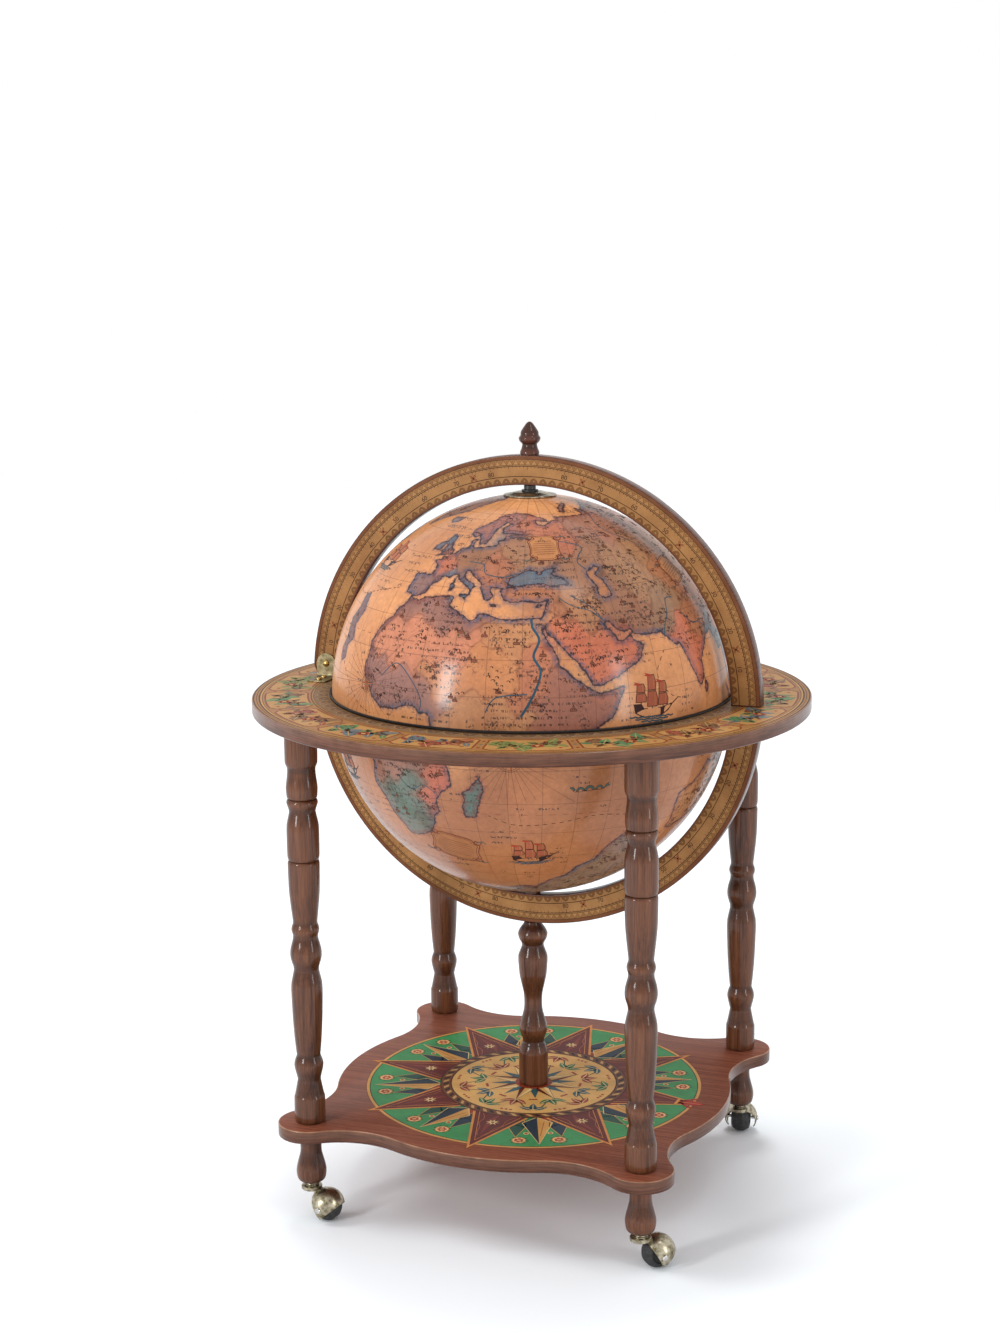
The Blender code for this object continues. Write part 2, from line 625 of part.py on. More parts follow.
def build_hinge():
    """The two brackets on the ring, their screws, and the bolt that the arch turns on."""
    inner_face = MERIDIAN_THICKNESS / 2 + FIT
    outer_face = inner_face + BRACKET_THICKNESS
    foot = RING_TOP + FIT
    rise = PIVOT.z - foot
    round_top = circle(BRACKET_HALF_WIDTH, BRACKET_FACETS, 0.0, math.pi, (0.0, rise), ends=True)
    plate_outline = [(BRACKET_HALF_WIDTH, 0.0), *round_top, (-BRACKET_HALF_WIDTH, 0.0)]
    reach = BRACKET_THICKNESS + FLANGE_LENGTH
    flange_outline = [
        (-BRACKET_HALF_WIDTH, 0.0),
        (BRACKET_HALF_WIDTH, 0.0),
        (BRACKET_HALF_WIDTH, reach),
        (-BRACKET_HALF_WIDTH, reach),
    ]
    for side, word in ((-1, "front"), (1, "back")):
        plate = slab("plate", plate_outline, BRACKET_THICKNESS)
        plate.transform(Matrix.Translation((0.0, 0.0, inner_face)))
        plate.transform(Matrix(((1, 0, 0, 0), (0, 0, side, 0), (0, 1, 0, 0), (0, 0, 0, 1))))
        plate.transform(Matrix.Translation((PIVOT.x, 0.0, foot)))
        flange = slab("flange", flange_outline, BRACKET_THICKNESS)
        flange.transform(Matrix.Diagonal((1.0, side, 1.0, 1.0)))
        flange.transform(Matrix.Translation((PIVOT.x, side * inner_face, foot)))
        for data in (plate, flange):
            outward(data)
        through = 4 * BRACKET_THICKNESS
        holes = [((PIVOT.x, side * inner_face, PIVOT.z), (0, 1, 0), HINGE_BOLT_RADIUS, through, SMALL_FACETS)]
        for number, length in enumerate(FLANGE_SCREWS, 1):
            place = Vector((PIVOT.x, side * (outer_face + length), foot))
            holes.append((place, (0, 0, 1), WOOD_SCREW_RADIUS, through, PIN_FACETS))
            head = foot + BRACKET_THICKNESS + FIT
            profile = [
                (RING_TOP - WOOD_SCREW_REACH, WOOD_SCREW_RADIUS),
                (head, WOOD_SCREW_RADIUS),
                (head, WOOD_SCREW_HEAD_RADIUS),
                (head + WOOD_SCREW_HEAD_THICKNESS / 2, WOOD_SCREW_HEAD_RADIUS),
                (head + WOOD_SCREW_HEAD_THICKNESS, WOOD_SCREW_HEAD_RADIUS / 2),
            ]
            screw = turned("hinge_screw", profile, PIN_FACETS)
            stand = Matrix.Translation((place.x, place.y, 0.0))
            add_object(f"hinge_screw_{word}_{number}", screw, BRASS, place=stand)
        steps = [("UNION", flange), ("DIFFERENCE", drills("bracket_holes", holes))]
        add_object(f"hinge_bracket_{word}", shaped(plate, steps), BRASS)

    seat = outer_face + FIT
    nut = HINGE_HEAD_THICKNESS
    bolt = [
        (-seat - HINGE_HEAD_THICKNESS, HINGE_HEAD_RADIUS / 2),
        (-seat - HINGE_HEAD_THICKNESS / 2, HINGE_HEAD_RADIUS * DOME_SHARE),
        (-seat, HINGE_HEAD_RADIUS),
        (-seat, HINGE_BOLT_RADIUS),
        (seat + nut + FIT, HINGE_BOLT_RADIUS),
    ]
    place = Matrix.Translation(PIVOT) @ Matrix.Rotation(-math.pi / 2, 4, "X")
    add_object("hinge_bolt", turned("hinge_bolt", bolt), BRASS, place=place)
    ring = hexagon("hinge_nut", seat, seat + nut, HINGE_HEAD_RADIUS, HINGE_BOLT_RADIUS)
    add_object("hinge_nut", ring, BRASS, place=place)


def hexagon(name, low, high, outer, shaft):
    """A nut between two heights, with its hole for a shaft."""
    hole = [((0.0, 0.0, (low + high) / 2), (0, 0, 1), shaft, 2 * (high - low), TURNED_FACETS)]
    body = turned(name, rod(low, high, outer), PIN_FACETS)
    return shaped(body, [("DIFFERENCE", drills("nut_hole", hole))])


def outward(data):
    """Turns a mesh's faces out after it was mirrored."""
    shape = bmesh.new()
    shape.from_mesh(data)
    bmesh.ops.recalc_face_normals(shape, faces=shape.faces)
    shape.to_mesh(data)
    shape.free()


def build_lid():
    """The upper arch with its finial, and the pin, washer, bush and nut that carry the upper half."""
    lid = add_pivot("lid_pivot", Matrix.Translation(PIVOT))
    to_lid = Matrix.Translation(-PIVOT)
    arc = band("upper_meridian", RING_TOP + FIT - CENTRE, math.pi - PIVOT_ANGLE)
    hinge = PIVOT - Vector((0.0, 0.0, CENTRE))
    pole = (0.0, 0.0, (INNER_FLAT + OUTER_FLAT) / 2)
    holes = [
        (pole, (0, 0, 1), STUD_RADIUS, 2 * MERIDIAN_WIDTH, SMALL_FACETS),
        (hinge, (0, 1, 0), HINGE_BOLT_RADIUS, 2 * MERIDIAN_THICKNESS, TURNED_FACETS),
    ]
    arch = shaped(arc, [("DIFFERENCE", drills("arch_holes", holes))])
    to_centre = to_lid @ Matrix.Translation((0.0, 0.0, CENTRE))
    add_object("upper_meridian", arch, PRINTED_WOOD, lid, to_centre)

    hole = STUD_RADIUS + FIT
    low = CENTRE + OUTER_FLAT
    high = low + FINIAL_PROFILE[-1][0]
    finial = bored("finial", FINIAL_PROFILE, low, high, ROD_IN_FINIAL)
    add_object("finial", finial, WOOD, lid, to_lid)

    crown = cap_profile()[-1][0]
    bush_low = crown + FIT + WASHER_THICKNESS + FIT
    disc = turned("pole_washer", washer(crown + FIT, bush_low - FIT, WASHER_RADIUS, hole), closed=True)
    add_object("pole_washer", disc, BLACK_PLASTIC, lid, to_lid)
    bush = turned("pole_bush", washer(bush_low, CENTRE + INNER_FLAT - FIT, BUSH_RADIUS, hole), closed=True)
    add_object("pole_bush", bush, BLACK_PLASTIC, lid, to_lid)

    inner = dome_profile(GLOBE_RADIUS - SHELL_WALL, CENTRE_BELOW_RING_TOP + FIT, hole, CAP_RADIUS)
    nut_top = CENTRE + height_on(inner, NUT_RADIUS) - FIT
    nut = hexagon("pole_nut", nut_top - NUT_THICKNESS, nut_top, NUT_RADIUS, STUD_RADIUS)
    add_object("pole_nut", nut, STEEL, lid, to_lid)
    rod_end = nut_top - NUT_THICKNESS - STUD_RADIUS
    pin = turned("pole_rod", rod(rod_end, low + ROD_IN_FINIAL, STUD_RADIUS), SMALL_FACETS)
    add_object("pole_rod", pin, STEEL, lid, to_lid)

    build_upper_globe(lid, to_lid)


def cap_profile():
    """The cap's upper face at the pole, as (height, radius) from its edge to its hole."""
    hole = STUD_RADIUS + FIT
    outer = dome_profile(GLOBE_RADIUS, CENTRE_BELOW_RING_TOP + FIT, hole, CAP_RADIUS)
    edge = CENTRE + height_on(outer, CAP_RADIUS) + FIT + CAP_EDGE
    crown = CENTRE + outer[-1][0] + FIT + CAP_CROWN_RISE
    shoulder = edge + (crown - edge) * 0.75
    return [(edge, CAP_RADIUS), (shoulder, CAP_CROWN_RADIUS), (crown, WASHER_RADIUS), (crown, hole)]


def build_upper_globe(lid, to_lid):
    """The half of the globe that turns under the arch, with its cap and the trim round its foot."""
    turn = add_pivot("upper_globe_axis", to_lid @ Matrix.Translation((0.0, 0.0, CENTRE)), lid)
    down = Matrix.Translation((0.0, 0.0, -CENTRE))
    rim = CENTRE_BELOW_RING_TOP + FIT
    add_object("upper_hemisphere", shell("upper_hemisphere", rim, CAP_RADIUS, True), MAP_PAPER, turn)

    hole = STUD_RADIUS + FIT
    outer = dome_profile(GLOBE_RADIUS, rim, hole, CAP_RADIUS)
    under = [(CENTRE + outer[-1][0] + FIT, hole), (CENTRE + height_on(outer, CAP_RADIUS) + FIT, CAP_RADIUS)]
    cap = turned("pole_cap", under + cap_profile(), TRIM_FACETS, closed=True)
    add_object("pole_cap", cap, BRASS, turn, down)

    inner = GLOBE_RADIUS + FIT
    low = RING_TOP + FIT
    profile = [
        (low, inner),
        (low, inner + TRIM_WIDTH * 0.8),
        (low + TRIM_HEIGHT / 2, inner + TRIM_WIDTH),
        (low + TRIM_HEIGHT, inner + TRIM_WIDTH * 0.7),
        (low + TRIM_HEIGHT, inner),
    ]
    add_object("rim_trim", turned("rim_trim", profile, GLOBE_FACETS, closed=True), CORD, turn, down)


def caster_hood():
    """The caster's hood about its stem's axis: a spherical cap with two ears, a plate and a web."""
    wheel = Vector((CASTER_TRAIL, 0.0, WHEEL_RADIUS))
    to_axle = Matrix.Translation(wheel) @ Matrix.Rotation(math.pi / 2, 4, "X")
    ball = ball_mesh("hood", HOOD_RADIUS)
    ball.transform(to_axle)
    steps = []
    for angle, distance in (STEM_CUT, TRAIL_CUT):
        size = 2 * HOOD_RADIUS
        block = slab("block", [(0.0, -size), (size, -size), (size, size), (0.0, size)], 2 * size)
        block.transform(Matrix.Translation((distance, 0.0, -size)))
        block.transform(Matrix.Translation(wheel) @ Matrix.Rotation(-angle, 4, "Y"))
        steps.append(("DIFFERENCE", block))
    plate_low = PLATE_TOP - PLATE_THICKNESS
    steps.append(("UNION", turned("plate", rod(plate_low, PLATE_TOP, PLATE_RADIUS))))
    web_width = PLATE_RADIUS
    web = slab(
        "web",
        [
            (CASTER_TRAIL - HOOD_RADIUS * 0.7, -web_width / 2),
            (CASTER_TRAIL - HOOD_RADIUS * 0.35, -web_width / 2),
            (CASTER_TRAIL - HOOD_RADIUS * 0.35, web_width / 2),
            (CASTER_TRAIL - HOOD_RADIUS * 0.7, web_width / 2),
        ],
        PLATE_THICKNESS + FIT,
    )
    web.transform(Matrix.Translation((0.0, 0.0, plate_low - PLATE_THICKNESS)))
    steps.append(("UNION", web))
    hollow = ball_mesh("hollow", HOOD_RADIUS - HOOD_WALL)
    hollow.transform(to_axle)
    steps.append(("DIFFERENCE", hollow))
    stem = ((0.0, 0.0, PLATE_TOP), (0, 0, 1), STUD_RADIUS, 4 * PLATE_THICKNESS, SMALL_FACETS)
    axle = (wheel, (0, 1, 0), AXLE_RADIUS, 4 * HOOD_RADIUS, PIN_FACETS)
    steps.append(("DIFFERENCE", drills("hood_holes", [stem, axle])))
    return shaped(ball, steps)


def ball_mesh(name, radius):
    """A ball about Z whose facets line up with the wheel's."""
    rows = [math.pi * row / HOOD_ROWS for row in range(1, HOOD_ROWS)]
    shape = bmesh.new()
    chain = [shape.verts.new((0.0, 0.0, -radius))]
    chain += [shape.verts.new((radius * math.sin(row), 0.0, -radius * math.cos(row))) for row in rows]
    chain.append(shape.verts.new((0.0, 0.0, radius)))
    edges = [shape.edges.new(pair) for pair in zip(chain, chain[1:])]
    bmesh.ops.spin(
        shape,
        geom=[*shape.verts, *edges],
        cent=(0.0, 0.0, 0.0),
        axis=(0.0, 0.0, 1.0),
        angle=math.tau,
        steps=WHEEL_FACETS,
        use_merge=True,
    )
    bmesh.ops.remove_doubles(shape, verts=shape.verts, dist=1e-6)
    return mesh_of(name, shape)


def ball_height(radius, out):
    """How far the facets round a ball's pole lie from its centre, at a distance out from the pole."""
    row = math.pi / HOOD_ROWS
    return radius - radius * (1 - math.cos(row)) * out / (radius * math.sin(row))


def caster_wheel():
    """The barrel-shaped wheel about its axle, with a flat tread."""
    bore = AXLE_RADIUS + FIT
    side = [(WHEEL_HALF_WIDTH * across, WHEEL_RADIUS * share) for across, share in BARREL]
    profile = [(-height, radius) for height, radius in side[::-1]] + side
    profile = [(-WHEEL_HALF_WIDTH, bore), *profile, (WHEEL_HALF_WIDTH, bore)]
    return turned("caster_wheel", profile, WHEEL_FACETS, closed=True)


def caster_axle():
    """The riveted axle, with a shoulder at each side that keeps the wheel in the middle."""
    shoulder = WHEEL_HALF_WIDTH + FIT
    inside = ball_height(HOOD_RADIUS - HOOD_WALL, AXLE_HEAD_RADIUS) - FIT
    outside = HOOD_RADIUS + FIT
    head = outside + AXLE_HEAD_THICKNESS
    half = [
        (head, AXLE_HEAD_RADIUS),
        (outside, AXLE_HEAD_RADIUS),
        (outside, AXLE_RADIUS),
        (inside, AXLE_RADIUS),
        (inside, AXLE_HEAD_RADIUS),
        (shoulder, AXLE_HEAD_RADIUS),
        (shoulder, AXLE_RADIUS),
    ]
    mirrored = [(-height, radius) for height, radius in half]
    return turned("caster_axle", mirrored + half[::-1], PIN_FACETS)


def caster_stem():
    """The fixed stem: a rod up into the foot, the neck under it and the riveted end below the plate."""
    rivet_top = PLATE_TOP - PLATE_THICKNESS - FIT
    neck_low = PLATE_TOP + FIT
    neck_high = neck_low + NECK_HEIGHT
    rivet = STUD_RADIUS * 1.3
    profile = [
        (rivet_top - STUD_RADIUS / 2, STUD_RADIUS),
        (rivet_top - STUD_RADIUS / 4, rivet),
        (rivet_top, rivet),
        (rivet_top, STUD_RADIUS),
        (neck_low, STUD_RADIUS),
        (neck_low, NECK_RADIUS),
        (neck_high, NECK_RADIUS * 0.9),
        (neck_high, STUD_RADIUS),
        (FOOT_BOTTOM + STEM_REACH, STUD_RADIUS),
    ]
    return turned("caster_stem", profile, SMALL_FACETS)


def build_casters():
    """A caster in each foot: a fixed stem, and a hood with its axle and wheel that swivels on it."""
    stem = caster_stem()
    hood = caster_hood()
    axle = caster_axle()
    wheel = caster_wheel()
    for corner, x, y in leg_places():
        foot = Matrix.Translation((x, y, 0.0))
        add_object(f"caster_stem_{corner}", stem, STEEL, place=foot)
        swivel = add_pivot(f"swivel_{corner}", foot @ Matrix.Rotation(CORNERS[corner][2], 4, "Z"))
        add_object(f"caster_hood_{corner}", hood, BRASS, swivel)
        to_axle = Matrix.Translation((CASTER_TRAIL, 0.0, WHEEL_RADIUS)) @ Matrix.Rotation(math.pi / 2, 4, "X")
        add_object(f"caster_axle_{corner}", axle, STEEL, swivel, to_axle)
        add_object(f"caster_wheel_{corner}", wheel, RUBBER, swivel, to_axle)


clear_scene()
build_board()
build_legs()
build_column()
build_ring()
build_lower_globe()
build_hinge()
build_lid()
build_casters()
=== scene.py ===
"""Looks of the globe bar: a printed map on both halves, printed bands, turned legs and casters.

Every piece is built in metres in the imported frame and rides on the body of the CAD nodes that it
replaces. Sizes in the sub-assemblies are in millimetres, as a joiner would note them.
"""

import json
import logging
import math
import random
from collections.abc import Callable, Iterable, Sequence
from dataclasses import dataclass, field
from enum import Enum

import bmesh
import bpy
import numpy as np
from mathutils import Matrix, Vector
from mathutils.geometry import delaunay_2d_cdt

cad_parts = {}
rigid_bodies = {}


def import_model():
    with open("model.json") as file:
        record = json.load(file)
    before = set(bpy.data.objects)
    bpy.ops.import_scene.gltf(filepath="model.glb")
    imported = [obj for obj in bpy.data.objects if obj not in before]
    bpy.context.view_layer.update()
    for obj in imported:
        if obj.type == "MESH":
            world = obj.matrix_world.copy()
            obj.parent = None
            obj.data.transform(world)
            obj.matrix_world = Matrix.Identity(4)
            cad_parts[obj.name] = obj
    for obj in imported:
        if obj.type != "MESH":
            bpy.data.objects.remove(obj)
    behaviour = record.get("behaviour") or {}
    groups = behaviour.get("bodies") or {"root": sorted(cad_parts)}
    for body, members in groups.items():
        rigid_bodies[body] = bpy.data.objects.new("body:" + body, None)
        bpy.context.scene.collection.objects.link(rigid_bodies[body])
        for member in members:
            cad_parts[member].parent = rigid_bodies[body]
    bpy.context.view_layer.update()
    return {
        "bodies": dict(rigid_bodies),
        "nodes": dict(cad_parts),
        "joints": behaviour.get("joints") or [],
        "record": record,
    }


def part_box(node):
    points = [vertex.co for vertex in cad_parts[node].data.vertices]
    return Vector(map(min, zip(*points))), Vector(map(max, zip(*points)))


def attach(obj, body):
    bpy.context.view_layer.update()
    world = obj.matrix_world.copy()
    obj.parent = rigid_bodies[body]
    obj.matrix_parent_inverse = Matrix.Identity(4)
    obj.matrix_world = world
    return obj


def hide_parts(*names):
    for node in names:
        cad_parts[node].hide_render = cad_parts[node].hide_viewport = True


log = logging.getLogger("globe_bar")

Point = tuple[float, float]
Mesh = bpy.types.Mesh
Node = bpy.types.Node
Socket = bpy.types.NodeSocket
Tree = bpy.types.NodeTree

MM = 0.001
SHARP = math.radians(35)

# The globe's radius and the height of its centre, in mm
GLOBE_RADIUS = 250.0
GLOBE_HEIGHT = 645.0

# How far a print lies over its ground, in mm, so that neither shows through the other
PRINT_LIFT = 0.02

# Kinds of node that the finishes are made of
BUMP = "ShaderNodeBump"
MAPPING = "ShaderNodeMapping"
MATH = "ShaderNodeMath"
MIX = "ShaderNodeMix"
NOISE = "ShaderNodeTexNoise"
PLACE = "ShaderNodeTexCoord"
RAMP = "ShaderNodeValToRGB"
RANGE = "ShaderNodeMapRange"
READ = "ShaderNodeAttribute"
SPLIT = "ShaderNodeSeparateXYZ"
VECTOR = "ShaderNodeVectorMath"
VORONOI = "ShaderNodeTexVoronoi"


def linear(colour: str) -> tuple[float, float, float, float]:
    """Turns an sRGB hex value into linear light.

    Args:
        colour: The colour as #RRGGBB.

    Returns:
        Red, green, blue and alpha, each from 0 to 1.
    """
    shares = [int(colour[start : start + 2], 16) / 255 for start in (1, 3, 5)]
    parts = [share / 12.92 if share <= 0.04045 else ((share + 0.055) / 1.055) ** 2.4 for share in shares]
    return (*parts, 1.0)


def add(tree: Tree, kind: str, inputs: Sequence | dict = (), **settings: object) -> Node:
    """Adds a node with its settings and links.

    Args:
        tree: The node tree that the node goes into.
        kind: The node's type.
        inputs: What goes into its sockets, by name or in their order. A node or a socket is
            linked, a hex string is set as a colour, and any other value is set as it is.
        **settings: The node's own properties; stops are a colour ramp's (place, colour) pairs.

    Returns:
        The new node.
    """
    node = tree.nodes.new(kind)
    for place, colour in settings.pop("stops", ()):
        known = [stop for stop in node.color_ramp.elements if abs(stop.position - place) < 1e-6]
        stop = known[0] if known else node.color_ramp.elements.new(place)
        stop.color = linear(colour)
    for name, value in settings.items():
        setattr(node, name, value)
    sockets = [socket for socket in node.inputs if socket.enabled]
    pairs = inputs.items() if isinstance(inputs, dict) else enumerate(inputs)
    for key, value in pairs:
        socket = sockets[key] if isinstance(key, int) else next(s for s in sockets if s.name == key)
        join(value, socket)
    return node


def join(value: object, socket: Socket) -> None:
    """Links a node or a socket into a socket, or sets a plain value on it.

    Args:
        value: A node, a socket, a hex colour or a value.
        socket: The socket that takes it.
    """
    if isinstance(value, Node):
        value = next(output for output in value.outputs if output.enabled)
    if isinstance(value, Socket):
        socket.id_data.links.new(value, socket)
    else:
        socket.default_value = linear(value) if isinstance(value, str) else value


def feed(shader: Node, inputs: dict) -> None:
    """Joins values to a shader's sockets by name.

    Args:
        shader: The shader.
        inputs: What goes into each socket: a node, a socket, a hex colour or a value.
    """
    for name, value in inputs.items():
        join(value, shader.inputs[name])


@dataclass(frozen=True)
class Finish:
    """What a surface is made of and how it was treated; each kind of finish paints its own tree."""

    def name(self) -> str:
        """The finish's plain name, with its options."""
        options = [str(getattr(value, "name", value)).lower() for value in vars(self).values()]
        return "_".join([type(self).__name__, *options]).replace("#", "")[:60]

    def material(self) -> bpy.types.Material:
        """The finish as a material, made once.

        Returns:
            The material.
        """
        known = bpy.data.materials.get(self.name())
        if known:
            return known
        made = bpy.data.materials.new(self.name())
        made.use_nodes = True
        tree = made.node_tree
        feed(tree.nodes["Principled BSDF"], self.paint(tree, add(tree, PLACE).outputs["Object"]))
        return made

    def paint(self, tree: Tree, place: Socket) -> dict[str, object]:
        """Lays the finish's patterns.

        Args:
            tree: The material's node tree.
            place: Where each point of the piece lies, in metres.

        Returns:
            What goes into each of the shader's sockets.
        """
        raise NotImplementedError


class Grain(Enum):
    """Which way the wood's fibres run, as the size in mm of one streak along x, y and z."""

    UPRIGHT = (2.2, 2.2, 70.0)
    ALONG_X = (70.0, 2.2, 2.2)


@dataclass(frozen=True)
class StainedBeech(Finish):
    """Steamed beech, turned or sawn, rubbed with a brown walnut stain and sprayed with satin varnish.

    The stain gathers in the pores, the grooves are darkened towards the dark stain as painted shade, and the
    varnish gives soft long highlights.
    """

    grain: Grain = Grain.UPRIGHT
    dark: str = "#2C140B"
    light: str = "#774930"

    def paint(self, tree: Tree, place: Socket) -> dict[str, object]:
        """Lays broad streaks, fine fibres, pores and painted shade in the grooves over each other."""
        streak = tuple(1 / (size * MM) for size in self.grain.value)
        stretched = add(tree, MAPPING, {"Vector": place, "Scale": streak})
        broad = add(tree, NOISE, {"Vector": stretched, "Scale": 0.22, "Detail": 3.0, "Roughness": 0.55})
        fibres = add(tree, NOISE, {"Vector": stretched, "Scale": 1.3, "Detail": 5.0, "Roughness": 0.6})
        tone = add(tree, MIX, (0.45, broad, fibres))
        ground = add(tree, RAMP, (tone,), stops=((0.0, self.dark), (1.0, self.light)))
        ground.color_ramp.elements[0].position = 0.32
        ground.color_ramp.elements[1].position = 0.68
        # Beech rays are flecks about 0.3 mm wide and 3 mm long, drawn 0.6 mm wide here so that they show
        pores = add(tree, VORONOI, {"Vector": stretched, "Scale": 2.4, "Randomness": 1.0})
        speck = add(tree, RANGE, (pores.outputs["Distance"], 0.10, 0.24, 0.55, 0.0))
        flecked = add(tree, MIX, (speck, ground, self.dark), data_type="RGBA")
        # Painted shade: the grooves between the swellings are darkened towards the dark stain colour
        groove = add(tree, READ, attribute_name="groove").outputs["Fac"]
        groove_shade = add(tree, MATH, (groove, 0.75), operation="MULTIPLY", use_clamp=True)
        stained = add(tree, MIX, (groove_shade, flecked, self.dark), data_type="RGBA")
        sheen = add(tree, RANGE, (fibres, 0.3, 0.7, 0.36, 0.5))
        relief = add(tree, BUMP, {"Strength": 0.12, "Distance": 0.0002, "Height": tone})
        return {
            "Base Color": stained, "Roughness": sheen, "Normal": relief, "IOR": 1.5,
            "Specular IOR Level": 0.08, "Coat Weight": 0.5, "Coat Roughness": 0.12,
        }


@dataclass(frozen=True)
class BoardVeneer(Finish):
    """Fine red-brown mahogany veneer on the flat boards, sanded flat under satin varnish.

    Its fibres are much finer than the turned beech's, so it looks even and warm, with short pores.
    """

    dark: str = "#633427"
    light: str = "#8F553F"

    def paint(self, tree: Tree, place: Socket) -> dict[str, object]:
        """Lays long soft bands and short pores along X."""
        # A band is about 4 mm by 300 mm, a pore 0.3 mm by 4 mm and drawn 0.8 mm wide
        bands = add(tree, MAPPING, {"Vector": place, "Scale": (3.3, 250.0, 250.0)})
        pores = add(tree, MAPPING, {"Vector": place, "Scale": (90.0, 1250.0, 1250.0)})
        band = add(tree, NOISE, {"Vector": bands, "Scale": 1.0, "Detail": 4.0, "Roughness": 0.6})
        pore = add(tree, NOISE, {"Vector": pores, "Scale": 1.0, "Detail": 2.0})
        tone = add(tree, MIX, (0.4, band, pore))
        share = add(tree, RANGE, (tone, 0.35, 0.65, 0.0, 1.0))
        colour = add(tree, MIX, (share, self.dark, self.light), data_type="RGBA")
        relief = add(tree, BUMP, {"Strength": 0.08, "Distance": 0.0001, "Height": pore})
        return {
            "Base Color": colour, "Normal": relief, "Roughness": 0.42, "IOR": 1.5, "Specular IOR Level": 0.08,
        }


@dataclass(frozen=True)
class StainedEdge(Finish):
    """The board's sawn and rounded edge, stained like the legs; the sharp upper arris is lighter, partly
    rubbed wear and partly a painted highlight.
    """

    dark: str = "#32180E"
    light: str = "#653B2A"

    def paint(self, tree: Tree, place: Socket) -> dict[str, object]:
        """Lays level layers of end grain, with the lighter arris from the piece's own values: partly rubbed
        wear and partly a painted highlight.
        """
        # The board's plies are 1.5 mm high and their fibres run 40 mm before they fade
        plies = add(tree, MAPPING, {"Vector": place, "Scale": (25.0, 25.0, 660.0)})
        ply = add(tree, NOISE, {"Vector": plies, "Scale": 1.0, "Detail": 4.0, "Roughness": 0.6})
        share = add(tree, RANGE, (ply, 0.3, 0.7, 0.0, 1.0))
        stained = add(tree, MIX, (share, self.dark, self.light), data_type="RGBA")
        wear = add(tree, READ, attribute_name="wear").outputs["Fac"]
        # The lighter arris, partly rubbed wear and partly a painted highlight, varies in patches of 17 mm
        patchy = add(tree, NOISE, {"Vector": place, "Scale": 60.0, "Detail": 3.0})
        rubbed_and_highlight = add(tree, MATH, (wear, patchy), operation="MULTIPLY", use_clamp=True)
        colour = add(tree, MIX, (rubbed_and_highlight, stained, "#B08468"), data_type="RGBA")
        return {
            "Base Color": colour, "Roughness": 0.34, "IOR": 1.5, "Specular IOR Level": 0.12,
            "Coat Weight": 0.35, "Coat Roughness": 0.14,
        }


@dataclass(frozen=True)
class PrintedSheet(Finish):
    """Offset print on thin paper, glued to the board and varnished over.

    Each ink's colour comes with the shape it fills. Ink that is printed lies uneven on the fibres,
    aged varnish yellows it in clouds, and fine crackle breaks the solid areas.
    """

    age: float = 0.25

    def paint(self, tree: Tree, place: Socket) -> dict[str, object]:
        """Lays clouds of age and a fine crackle over the inks."""
        ink = add(tree, READ, attribute_name="ink").outputs["Color"]
        # Clouds of age are some 30 mm across, paper fibres about 0.5 mm and drawn at 1.2 mm
        cloud = add(tree, NOISE, {"Vector": place, "Scale": 33.0, "Detail": 3.0, "Roughness": 0.6})
        fibre = add(tree, NOISE, {"Vector": place, "Scale": 800.0, "Detail": 2.0})
        crack = add(tree, VORONOI, {"Vector": place, "Scale": 260.0}, feature="DISTANCE_TO_EDGE")
        clouded = add(tree, RANGE, (cloud, 0.35, 0.7, 0.0, self.age))
        aged = add(tree, MIX, (clouded, ink, "#8A5A30"), data_type="RGBA", blend_type="MULTIPLY")
        mottle = add(tree, RANGE, (fibre, 0.3, 0.7, 0.86, 1.1))
        line = add(tree, RANGE, (crack.outputs["Distance"], 0.0, 0.03, 0.9, 1.0))
        shade = add(tree, MATH, (mottle, line), operation="MULTIPLY")
        colour = add(tree, VECTOR, {"Vector": aged, "Scale": shade}, operation="SCALE")
        return {"Base Color": colour, "Roughness": 0.40, "IOR": 1.5, "Specular IOR Level": 0.08}


